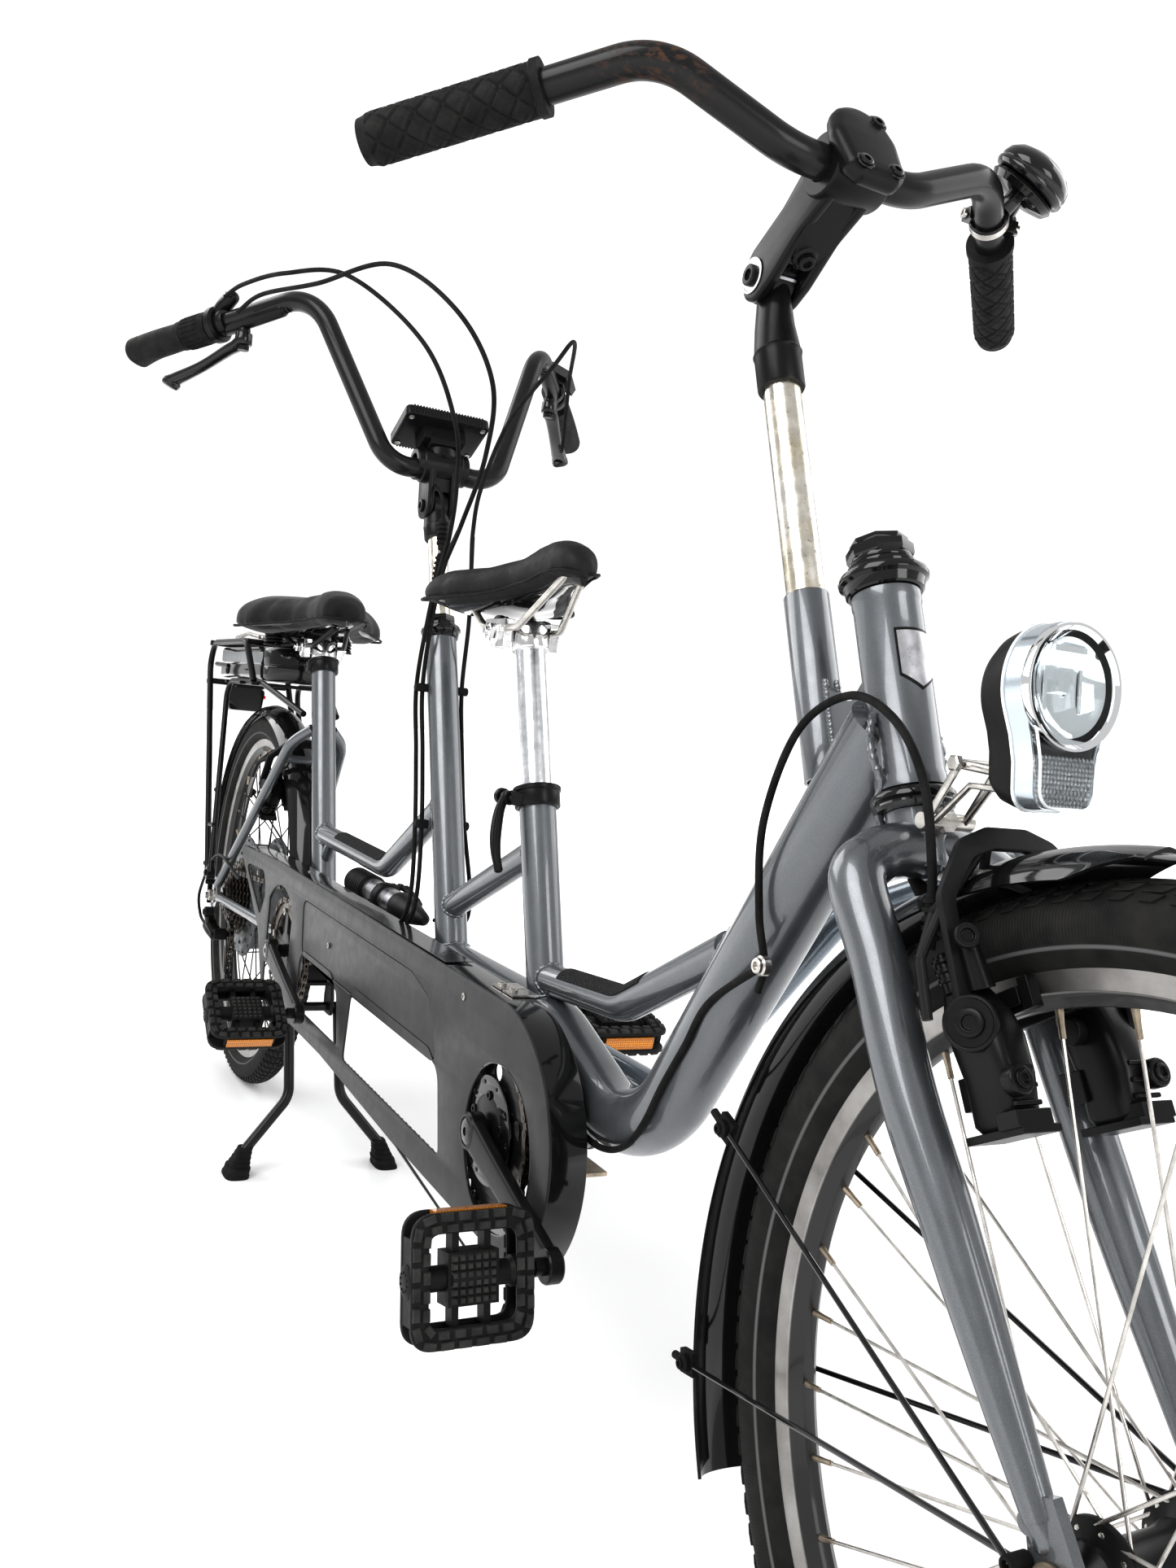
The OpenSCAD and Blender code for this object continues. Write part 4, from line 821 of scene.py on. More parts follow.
def build_rim(name, hub, body, node, material):
    profile = [(241, -4), (240.6, -2), (240.6, 2), (241, 4), (245.5, 8.4), (247.4, 10.4), (248.4, 11.1), (259.2, 12.2), (261.6, 12.9), (262.6, 12.2),
               (262.4, 10.9), (259, 10.2), (252, 9.4), (251.5, 6), (251.5, -6), (252, -9.4), (259, -10.2), (262.4, -10.9), (262.6, -12.2),
               (261.6, -12.9), (259.2, -12.2), (248.4, -11.1), (247.4, -10.4), (245.5, -8.4)]
    s = Shape()
    s.lathe(hub, Y, profile, 180)
    s.make(name, material, body, node, slot="black_paint", sharp=28)


def build_spokes(name, hub, body, node, flange_r, flange_y, blade, nipple, valve_at=None):
    s = Shape()
    count = 36
    for k in range(count):
        side = 1 if k % 2 == 0 else -1
        outer = (k // 2) % 2 == 0
        a = k * math.tau / count
        b = a + math.radians(62 if outer else -62)
        out = 2.4 if outer else -2.4
        root = hub + vec(flange_r * math.cos(b), side * (flange_y + out), flange_r * math.sin(b))
        tip = hub + vec(240.4 * math.cos(a), side * 1.6, 240.4 * math.sin(a))
        d = (tip - root).normalized()
        s.use(0).sweep([root, tip - d * 12], 1.0, 10)
        s.sweep([root - Y * side * (out + 2.6), root], 1.05, 10)
        s.disc(root - Y * side * out * 2, -Y * side if outer else Y * side, [(0, 0), (1.9, 0), (1.5, 1.3), (0, 1.6)], 10)
        s.use(1).sweep([tip - d * 14, tip - d * 8, tip - d * 7, tip + d * 1], lambda t: 1.7 if t < 0.55 else 2.25, 8)
    if valve_at is not None:
        out = X * math.cos(valve_at) + Z * math.sin(valve_at)
        s.use(1).sweep([hub + out * 241, hub + out * 226, hub + out * 214], lambda t: 3.6 - 0.8 * t, 14)
        s.use(2).sweep([hub + out * 214, hub + out * 203], 4.2, 14, dome=True)
    s.make(name, [blade, nipple, SATIN_BLACK], body, node, slot="steel")


def build_hubs():
    s = Shape()
    shell = [(5.2, -42), (9, -42), (11, -39), (15, -36), (15.5, -33), (23.5, -30), (24, -29), (24, -27), (22, -26.2), (14.5, -21), (12.5, -12),
             (12.5, 12), (14.5, 21), (22, 26.2), (24, 27), (24, 29), (23.5, 30), (15.5, 33), (15, 36), (11, 39), (9, 42), (5.2, 42)]
    s.lathe(FRONT_HUB, Y, shell, 56)
    s.make("front_hub_shell", SATIN_BLACK, "front_wheel", "front_hub", slot="black_metal")
    m = Shape()
    shell = [(6.2, -40), (20, -40), (22, -36), (58, -28), (60, -26.5), (88, -26.4), (97, -25.8), (97.6, -24.6), (97.6, -23.4), (97, -22.4), (89, -22), (86, -19),
             (86, 19), (89, 22), (97, 22.4), (97.6, 23.4), (97.6, 24.6), (97, 25.8), (88, 26.4), (84, 28), (70, 33), (66, 34), (42, 36), (40, 45), (36, 46), (6.2, 46)]
    m.lathe(REAR_HUB, Y, shell, 96)
    for k in range(12):
        a = k * math.tau / 12
        out = X * math.cos(a) + Z * math.sin(a)
        m.bolt(REAR_HUB + out * 76 - 26 * Y, -Y, 3, 2.4)
        m.bolt(REAR_HUB + out * 78 + 29.5 * Y, Y, 3, 2.4)
    for r in (30, 42, 54, 66):
        m.lathe(REAR_HUB, Y, [(r, 30), (r + 2.4, 30), (r + 2.0, 36.8 - (r - 30) * 0.06), (r + 0.4, 36.8 - (r - 30) * 0.06)], 80)
    m.make("motor_shell", MOTOR, "rear_wheel", "hub_motor", slot="motor_alloy")
    a = Shape()
    a.tube(FRONT_HUB - 66 * Y, FRONT_HUB + 66 * Y, 5)
    for side in (-1, 1):
        a.disc(FRONT_HUB + side * 43 * Y, side * Y, [(0, 0), (9.5, 0), (10, 1), (10, 5.5), (8, 7), (0, 7)])
        a.disc(FRONT_HUB + side * 56.5 * Y, side * Y, [(0, 0), (11, 0), (11, 1.6), (0, 1.6)])
        a.disc(FRONT_HUB + side * 58 * Y, side * Y, [(0, 0), (8.6, 0), (8.6, 6.5), (7.4, 7.6), (0, 7.6)], 6)
    a.make("front_axle_parts", RUSTY, "front_fork", "front_axle", slot="steel")
    r = Shape()
    r.tube(REAR_HUB - 88 * Y, REAR_HUB + 88 * Y, 5)
    for side in (-1, 1):
        r.disc(REAR_HUB + side * 74.2 * Y, side * Y, [(0, 0), (12, 0), (12, 1.6), (0, 1.6)])
        r.disc(REAR_HUB + side * 75.6 * Y, side * Y, [(0, 0), (9.6, 0), (9.6, 6.5), (8.2, 7.6), (0, 7.6)], 6)
    r.make("rear_axle_parts", STEEL, "frame", "rear_axle", slot="steel")


for label, hub, body in (("front", FRONT_HUB, "front_wheel"), ("rear", REAR_HUB, "rear_wheel")):
    build_tyre(label + "_tyre_tread", hub, body, label + "_tyre", tyre_rubber(label + "_tyre_rubber", hub))
    build_rim(label + "_rim_hoop", hub, body, label + "_rim", rim_alloy(label + "_rim_finish", hub))
build_spokes("front_spoke_set", FRONT_HUB, "front_wheel", "front_spokes", 19, 28, STEEL, RUSTY, math.radians(222))
build_spokes("rear_spoke_set", REAR_HUB, "rear_wheel", "rear_spokes", 92, 24, SATIN_BLACK, RUSTY, math.radians(100))
build_hubs()


# Flat parts with holes and soft edges -----------------------------------------

def arc(cx, cz, r, start, end, steps=24):
    turn = [math.radians(start + (end - start) * k / steps) for k in range(steps + 1)]
    return [(cx + r * math.cos(a), cz + r * math.sin(a)) for a in turn]


def ring_line(cx, cz, r, steps=64):
    return arc(cx, cz, r, 0, 360, steps)[:-1]


def soft(points, radius, steps=5):
    """Closed outline with rounded corners; radius is one number or one for each corner."""
    n = len(points)
    radii = radius if isinstance(radius, (list, tuple)) else [radius] * n
    out = []
    for i, r in enumerate(radii):
        a, b, c = (vec(*points[(i + k) % n], 0) for k in (-1, 0, 1))
        if r <= 0:
            out.append((b.x, b.y))
            continue
        u, v = (b - a).normalized(), (c - b).normalized()
        turn = u.angle(v, 0)
        if turn < 0.02:
            out.append((b.x, b.y))
            continue
        trim = min(r * math.tan(turn / 2), (b - a).length * 0.48, (c - b).length * 0.48)
        start, end = b - u * trim, b + v * trim
        for k in range(steps + 1):
            t = k / steps
            q = start * (1 - t) ** 2 + b * 2 * t * (1 - t) + end * t * t
            out.append((q.x, q.y))
    return out


def plate(name, outlines, place, depth, material, body, replaces=(), bevel=0.5, slot=None, extra=None):
    """Flat part centred on the place matrix's XY plane, from an outline and its holes."""
    curve = bpy.data.curves.new(name, "CURVE")
    curve.dimensions = "2D"
    curve.fill_mode = "BOTH"
    curve.extrude = max(depth / 2 - bevel, 0) * MM
    curve.bevel_depth = bevel * MM
    curve.offset = -bevel * MM
    curve.bevel_resolution = 2
    for line in outlines:
        spline = curve.splines.new("POLY")
        spline.points.add(len(line) - 1)
        for point, (x, y) in zip(spline.points, line):
            point.co = (x * MM, y * MM, 0, 1)
        spline.use_cyclic_u = True
    holder = bpy.data.objects.new(name, curve)
    bpy.context.scene.collection.objects.link(holder)
    bpy.context.view_layer.update()
    mesh = bpy.data.meshes.new_from_object(holder.evaluated_get(bpy.context.evaluated_depsgraph_get()))
    bpy.data.objects.remove(holder)
    move = place.copy()
    move.translation = place.translation * MM
    mesh.transform(move)
    bm = bmesh.new()
    bm.from_mesh(mesh)
    bmesh.ops.remove_doubles(bm, verts=bm.verts, dist=1e-6)
    bmesh.ops.recalc_face_normals(bm, faces=bm.faces)
    bm.to_mesh(mesh)
    bm.free()
    mesh.materials.clear()
    mesh.materials.append(material)
    mesh.shade_smooth()
    mesh.set_sharp_from_angle(angle=math.radians(40))
    piece = bpy.data.objects.new(name, mesh)
    bpy.context.scene.collection.objects.link(piece)
    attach(piece, body)
    if replaces:
        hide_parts(*([replaces] if isinstance(replaces, str) else replaces))
    return piece


def side_plane(y):
    """Plane seen from the right of the bicycle: local X forward, local Y up."""
    return Matrix(((1, 0, 0, 0), (0, 0, -1, y), (0, 1, 0, 0), (0, 0, 0, 1)))


# Chain case -----------------------------------------------------------------

CASE_X, CASE_R = FRONT_BB.x + 14, 113
CASE_TOP = FRONT_BB.z + CASE_R
CASE_Y = -61.5


def case_line(inset=0.0):
    bx, bz = REAR_BB.x, REAR_BB.z
    tail = [
        (bx - 20, CASE_TOP + 4 - inset), (bx - 262, CASE_TOP - 4 - inset), (bx - 270 + inset, CASE_TOP - 14),
        (bx - 122 + inset, bz + 6), (bx - 98 + inset, bz - 34), (bx - 62 + inset, bz - 80 + inset), (bx, bz - 105 + inset),
        (bx + 90, bz - 76 + inset), (bx + 240, bz - 75 + inset), (FRONT_BB.x - 200, bz - 87 + inset)]
    front = arc(CASE_X, bz, CASE_R - inset, -108, 90, 60)
    return soft(tail, [0.5, 10, 8, 60, 40, 40, 60, 60, 90, 0.5], 8) + front


def case_window(x0, x1, top, bottom):
    corners = [(x0, bottom), (x0 + 8, top - 14), (x0 + 24, top), (x1 - 50, top), (x1 - 20, top - 16), (x1, bottom)]
    return soft(corners, [8, 16, 16, 24, 24, 6], 6)


def case_hole_lines():
    bx, bz = REAR_BB.x, REAR_BB.z
    half, r = 63, 92
    tip = math.degrees(math.acos(half / r))
    oval = arc(bx - 6, bz - 5, r, tip, 180 - tip, 20) + arc(bx - 6, bz - 5, r, 180 + tip, 360 - tip, 20)
    fork = [(bx - 238, CASE_TOP - 26), (bx - 116, CASE_TOP - 22), (bx - 96, CASE_TOP - 50), (bx - 112, bz + 36), (bx - 122, bz + 28)]
    return [
        ring_line(FRONT_BB.x + 26, bz - 6, 68, 80), soft(oval, 3, 2), soft(fork, [10, 20, 18, 8, 8], 6),
        case_window(bx + 105, bx + 302, bz + 26, bz - 48), case_window(bx + 326, FRONT_BB.x - 96, bz + 30, bz - 56)]


def build_case():
    left, right, low_z, top_z = REAR_BB.x + 106, REAR_BB.x + 616, CASE_TOP - 92, CASE_TOP - 24
    panel = soft([(left, top_z), (right - 92, top_z), (right - 36, top_z - 14), (right - 2, low_z), (left + 14, low_z)], [16, 60, 30, 12, 16], 8)
    inner = soft([(left + 1, top_z - 1), (right - 93, top_z - 1), (right - 37, top_z - 15), (right - 4, low_z + 1), (left + 15, low_z + 1)],
                 [15, 58, 29, 11, 15], 8)
    face = side_plane(CASE_Y - 1.25)
    piece = plate("case_face", [case_line()] + case_hole_lines() + [panel], face, 2.5, CASE_PLASTIC, "frame", "chain_case", 0.7, "case_plastic")
    plate("case_recess", [inner], side_plane(CASE_Y - 0.95), 1.5, CASE_PLASTIC, "frame", bevel=0.3, slot="case_plastic")
    rim = [arc(CASE_X, REAR_BB.z, CASE_R - inset, -64, 90, 50) + [(REAR_BB.x - 20, CASE_TOP + 4 - inset), (REAR_BB.x - 256, CASE_TOP - 4 - inset)]
           for inset in (0.4, 2.8)]
    plate("case_wall", [rim[0] + rim[1][::-1]], side_plane(CASE_Y + 15), 30.6, GLOSS_BLACK, "frame", bevel=0.4, slot="gloss_plastic")
    back = arc(FRONT_BB.x, FRONT_BB.z, 66, 70, -128, 40) + arc(CASE_X, FRONT_BB.z, 110, -118, 86, 50)
    plate("case_inner_wall", [back], side_plane(CASE_Y + 27), 1.6, GLOSS_BLACK, "frame", bevel=0.3, slot="gloss_plastic")
    s = Shape()
    for hole, grow in ((ring_line(FRONT_BB.x + 26, FRONT_BB.z - 6, 68.6, 80), 1),):
        path = [vec(x, CASE_Y - 1.9, z) for x, z in hole]
        s.sweep(path, 0.9 * grow, 8, closed=True)
    s.make("case_hole_lip", GLOSS_BLACK, "frame", slot="gloss_plastic")
    t = Shape()
    for x, z in ((REAR_BB.x + 236, CASE_TOP - 58), (REAR_BB.x - 150, CASE_TOP - 30), (FRONT_BB.x - 70, CASE_TOP - 16)):
        t.bolt(vec(x, CASE_Y - 2.3, z), -Y, 3.4, 1.6)
    for x in (FRONT_BB.x - 34, FRONT_BB.x - 10, REAR_BB.x + 60):
        t.box(vec(x, -38, CASE_TOP + 1.2), (22, 24, 1.6))
        t.bolt(vec(x - 2, -44, CASE_TOP + 2), Z, 4, 2.4)
    t.tube(vec(FRONT_BB.x + 20, -26.5, CASE_TOP - 6), vec(FRONT_BB.x + 20, CASE_Y, CASE_TOP - 6), 2.6)
    t.make("case_fixings", STEEL, "frame", slot="steel")
    u = Shape()
    u.box(FRONT_BB + vec(62, -6, -9), (58, 26, 3))
    u.box(FRONT_BB + vec(34, -6, -17), (3, 26, 18))
    u.bolt(FRONT_BB + vec(74, -6, -10.5), -Z, 5, 5)
    u.tube(FRONT_BB + vec(80, -40, -14), FRONT_BB + vec(80, -14, -14), 2.6)
    u.make("bracket_under_tube", RUSTY, "frame", slot="steel")
    w = Shape()
    w.grid([[vec(REAR_BB.x + 40 + k * 11.5, y, CASE_TOP + (1.8 if inner_edge else 2.4)) for y, inner_edge in
             ((-61, 0), (-33, 0), (-33, 1), (-61, 1))] for k in range(50)])
    w.make("case_top_strip", black("scuffed_black", 0.2, coat=0.5, grain=80, depth=0.12, level=0.03), "frame", slot="gloss_plastic")
    return piece


# Drive ----------------------------------------------------------------------

PITCH = 12.7


def ring_radius(teeth):
    return PITCH / (2 * math.sin(math.pi / teeth))


def teeth_line(centre, teeth, turn=0.0):
    r = ring_radius(teeth)
    out = []
    for k in range(teeth):
        for share, rise in ((-0.5, -3.9), (-0.36, -3.1), (-0.25, -0.8), (-0.13, 2.6), (-0.06, 3.7), (0.06, 3.7), (0.13, 2.6), (0.25, -0.8), (0.36, -3.1)):
            a = math.tau * (k + share + turn) / teeth
            out.append((centre.x + (r + rise) * math.cos(a), centre.z + (r + rise) * math.sin(a)))
    return out


def soft_bar(s, a, b, wide, thick, y_face, out):
    """Forged arm from a to b: rounded flat section, waisted a little, dished by out."""
    section = [(math.copysign(abs(math.cos(t)) ** 0.45, math.cos(t)), math.copysign(abs(math.sin(t)) ** 0.45, math.sin(t)))
               for t in [k * math.tau / 28 + 0.01 for k in range(28)]]
    path = [vec(a.x, y_face, a.z).lerp(vec(b.x, y_face, b.z), t) + Y * out * (t ** 2 - 0.5 * t) for t in [k / 16 for k in range(17)]]
    d = (path[-1] - path[0]).normalized()
    cross = d.cross(Y).normalized()
    rings = []
    for k, p in enumerate(path):
        t = k / 16
        w = wide[0] + (wide[1] - wide[0]) * t - 2.2 * math.sin(math.pi * t)
        h = thick[0] + (thick[1] - thick[0]) * t
        rings.append([p + cross * x * w / 2 + Y * y * h / 2 for x, y in section])
    s.grid(rings)


def build_crankset(name, bb, material, node, body):
    s = Shape()
    s.tube(bb - 66 * Y, bb + 66 * Y, 8.4)
    for side in (-1, 1):
        sign = 1 if side < 0 else -1
        angle = math.radians(-15)
        end = bb + sign * 170 * (X * math.cos(angle) + Z * math.sin(angle))
        y = side * 74
        soft_bar(s, bb, end, (29, 22), (12, 11.4), y, 0)
        s.disc(bb + side * 66 * Y, side * Y, [(0, 0), (15, 0), (16, 2), (16, 12), (14.5, 14), (12, 14.4), (11.4, 13.2), (0, 13.2)], 40)
        s.disc(end + side * 68 * Y, side * Y, [(0, 0), (12, 0), (13, 1.4), (13, 10.6), (12, 12), (0, 12)], 36)
        s.disc(end + side * 79.9 * Y, side * Y, [(0, 0), (6.6, 0), (6.6, 8), (4.95, 8.1), (4.95, 95), (0, 95)], 24)
        s.use(1)
        s.disc(bb + side * 79.2 * Y, side * Y, [(0, 0), (10.6, 0), (10.8, 0.6), (8.5, 1.6), (3.6, 1.8), (3.4, 0.6), (0, 0.6)], 28)
        s.use(0)
    s.make(name, [material, GLOSS_BLACK], body, node, slot="alloy" if material is not SATIN_BLACK else "black_metal")


def build_rings():
    cage = [ring_line(FRONT_BB.x, FRONT_BB.z, 46, 60)]
    front_holes = [ring_line(FRONT_BB.x + 50 * math.cos(a), FRONT_BB.z + 50 * math.sin(a), 8, 16) for a in [k * math.tau / 5 + 0.3 for k in range(5)]]
    plate("front_ring_teeth", [teeth_line(FRONT_BB, 34), ring_line(FRONT_BB.x, FRONT_BB.z, 10, 24)] + front_holes, side_plane(-55), 2.2,
          SATIN_BLACK, "front_cranks", "front_chainring", 0.3, "black_metal")
    rivets = [ring_line(FRONT_BB.x + 40 * math.cos(a), FRONT_BB.z + 40 * math.sin(a), 1.6, 12) for a in [k * math.tau / 10 for k in range(10)]]
    plate("front_ring_cover", cage + [ring_line(FRONT_BB.x, FRONT_BB.z, 9, 24)] + rivets, side_plane(-60), 2.2, GLOSS_BLACK, "front_cranks",
          bevel=0.8, slot="gloss_plastic")
    s = Shape()
    s.lathe(FRONT_BB - 62 * Y, Y, [(8.6, 0), (28, 0), (33, 2.4), (33, 4), (24, 20), (14, 23), (8.6, 23)], 48)
    for k in range(5):
        a = k * math.tau / 5 + 0.3
        s.bolt(FRONT_BB + vec(30 * math.cos(a), -60.6, 30 * math.sin(a)), -Y, 4, 2.6)
    s.make("front_ring_spider", SATIN_BLACK, "front_cranks", slot="black_metal")
    for name, teeth, y in (("rear_sync_ring", 34, -55), ("rear_drive_ring", 40, -46)):
        plate(name, [teeth_line(REAR_BB, teeth, 0.5), ring_line(REAR_BB.x, REAR_BB.z, 52, 60)], side_plane(y), 2.2, CHAIN_STEEL, "rear_cranks",
              "rear_chainrings" if teeth == 34 else (), 0.3, "steel")
    star = []
    for k in range(5):
        a = k * 72 + 20
        star += arc(REAR_BB.x, REAR_BB.z, 26, a - 36, a - 18, 3)
        star += arc(REAR_BB.x + 53 * math.cos(math.radians(a)), REAR_BB.z + 53 * math.sin(math.radians(a)), 8, a - 80, a + 80, 8)
        star += arc(REAR_BB.x, REAR_BB.z, 26, a + 18, a + 33, 3)
    plate("rear_spider", [star, ring_line(REAR_BB.x, REAR_BB.z, 8.7, 24)], side_plane(-51.5), 7, SATIN_BLACK, "rear_cranks", bevel=1.6, slot="black_metal")
    t = Shape()
    for k in range(5):
        a = math.radians(k * 72 + 20)
        t.bolt(REAR_BB + vec(53 * math.cos(a), -57, 53 * math.sin(a)), -Y, 5, 2.5)
    t.make("ring_bolts", STEEL, "rear_cranks", slot="steel")
    for i in range(7):
        teeth = 20 + (i - 3) * 3
        holes = [ring_line(REAR_HUB.x, REAR_HUB.z, 16.2, 40)]
        if teeth > 20:
            r = (ring_radius(teeth) + 16) / 2
            holes += [ring_line(REAR_HUB.x + r * math.cos(a), REAR_HUB.z + r * math.sin(a), (r - 19) * 0.62, 14) for a in
                      [k * math.tau / 8 for k in range(8)]]
        plate(f"cog_{teeth}", [teeth_line(REAR_HUB, teeth)] + holes, side_plane(-46 - (3 - i) * 4.4), 1.8, CHAIN_STEEL, "cog_stack",
              "cassette" if i == 0 else (), 0.2, "steel")
    c = Shape()
    c.lathe(REAR_HUB - 62 * Y, Y, [(6.4, 0), (13, 0), (15, 1.5), (16.4, 3), (16.4, 33), (6.4, 33)], 40)
    c.make("cog_sleeve", STEEL, "cog_stack", slot="steel")


def loop_points(wheels):
    """Path of a chain round wheels given as (x, z, radius, sense)."""
    path = []
    n = len(wheels)

    def normal(a, b):
        d = Vector((b[0] - a[0], b[1] - a[1]))
        turn = math.acos((a[2] * a[3] - b[2] * b[3]) / d.length)
        d.normalize()
        return Vector((d.x * math.cos(turn) - d.y * math.sin(turn), d.x * math.sin(turn) + d.y * math.cos(turn)))
    for i, a in enumerate(wheels):
        before, after = wheels[i - 1], wheels[(i + 1) % n]
        come, go = normal(before, a) * a[3], normal(a, after) * a[3]
        start, end = math.atan2(come.y, come.x), math.atan2(go.y, go.x)
        sweep = (start - end) % math.tau if a[3] > 0 else (end - start) % math.tau
        for k in range(25):
            t = start - sweep * k / 24 if a[3] > 0 else start + sweep * k / 24
            path.append(Vector((a[0] + a[2] * math.cos(t), a[1] + a[2] * math.sin(t))))
    return path


def build_chain(name, wheels, y, node):
    path = loop_points(wheels)
    path.append(path[0])
    spans = [0.0]
    for a, b in zip(path, path[1:]):
        spans.append(spans[-1] + (b - a).length)
    count = 2 * round(spans[-1] / PITCH / 2)
    pins, k = [], 0
    for i in range(count):
        want = spans[-1] * i / count
        while spans[k + 1] < want:
            k += 1
        pins.append(path[k].lerp(path[k + 1], (want - spans[k]) / max(spans[k + 1] - spans[k], 1e-6)))
    s = Shape()
    for i in range(count):
        a, b = pins[i], pins[(i + 1) % count]
        d = (b - a).normalized()
        cross = Vector((-d.y, d.x))
        outline = []
        for centre, facing in ((b, 1), (a, -1)):
            for t in (-75, -30, 30, 75):
                q = math.radians(t)
                outline.append(centre + d * facing * 4.1 * math.cos(q) + cross * 4.1 * facing * math.sin(q))
            outline.append((a + b) / 2 + cross * facing * 2.9)
        gap = 3.0 if i % 2 else 1.9
        for side in (-1, 1):
            rings = [[vec(p.x, y + side * gap + h, p.y) for p in outline] for h in (-0.5, 0.5)]
            s.grid(rings)
        s.tube(vec(a.x, y - 3.9, a.y), vec(a.x, y + 3.9, a.y), 1.8, 8)
        s.tube(vec(a.x, y - 1.5, a.y), vec(a.x, y + 1.5, a.y), 3.9, 10)
    s.make(name, CHAIN_STEEL, "frame", node, slot="steel", sharp=30)


GUIDE = REAR_HUB + vec(8, 0, -62)
TENSION = REAR_HUB + vec(26, 0, -138)


def build_derailleur():
    outline = [(GUIDE.x - 9, GUIDE.z + 6), (GUIDE.x + 7, GUIDE.z + 8), (TENSION.x + 9, TENSION.z - 4), (TENSION.x + 4, TENSION.z - 9),
               (TENSION.x - 8, TENSION.z - 6)]
    slot_line = [(GUIDE.x + 1, GUIDE.z - 18), (GUIDE.x + 7, GUIDE.z - 20), (TENSION.x + 2, TENSION.z + 18), (TENSION.x - 3, TENSION.z + 16)]
    for k, y in enumerate((-51.4, -40.6)):
        plate(f"cage_plate_{k}", [soft(outline, 7, 4), soft(slot_line, 3, 3)], side_plane(y), 1.6, SATIN_BLACK, "frame",
              "derailleur" if k == 0 else (), 0.4, "black_metal")
    for name, p in (("guide_pulley", GUIDE), ("tension_pulley", TENSION)):
        line = []
        for k in range(11):
            for share, r in ((-0.5, 14), (-0.3, 14.6), (-0.12, 19.6), (0.12, 19.6), (0.3, 14.6)):
                a = math.tau * (k + share) / 11
                line.append((p.x + r * math.cos(a), p.z + r * math.sin(a)))
        holes = [ring_line(p.x + 9 * math.cos(a), p.z + 9 * math.sin(a), 2.2, 10) for a in [k * math.tau / 5 for k in range(5)]]
        plate(name, [line] + holes, side_plane(-46), 2.4, MATTE_BLACK, "frame", bevel=0.3, slot="black_plastic")
    s = Shape()
    for p in (GUIDE, TENSION):
        s.disc(p - 53 * Y, Y, [(0, 0), (3.6, 0), (4.4, 1), (4.4, 13), (3.6, 14), (0, 14)], 20)
    s.disc(GUIDE - 72 * Y, Y, [(0, 0), (8, 0), (9.5, 2), (9.5, 19), (8, 20.6), (0, 20.6)], 28)
    body = [vec(GUIDE.x, -66, GUIDE.z), vec(REAR_HUB.x - 8, -73, REAR_HUB.z - 46), vec(REAR_HUB.x + 4, -80, REAR_HUB.z - 29)]
    s.sweep(resample(flowing(body, 8), 6), lambda t: 8.5 - 1.5 * t, 20, oval=1.25)
    s.sweep([vec(GUIDE.x - 2, -68, GUIDE.z - 4), vec(GUIDE.x - 22, -74, GUIDE.z + 2), vec(GUIDE.x - 40, -76, GUIDE.z + 6)], lambda t: 8 - 2 * t, 20, dome=True)
    s.disc(vec(REAR_HUB.x + 2, -88, REAR_HUB.z - 27), Y, [(0, 0), (6.5, 0), (8.4, 1.6), (8.4, 14), (0, 14)], 24)
    s.bolt(vec(REAR_HUB.x + 2, -88, REAR_HUB.z - 27), -Y, 4.6, 1.6)
    s.sweep(flowing([vec(GUIDE.x - 40, -76, GUIDE.z + 6), vec(GUIDE.x - 66, -82, GUIDE.z + 22), vec(GUIDE.x - 62, -86, GUIDE.z + 62),
                     vec(REAR_HUB.x + 30, -80, REAR_HUB.z + 70), REAR_HUB + vec(110, -60, 44)], 10), 2.4, 12)
    s.make("derailleur_body", SATIN_BLACK, "frame", slot="black_metal")


# Pedals -----------------------------------------------------------------------

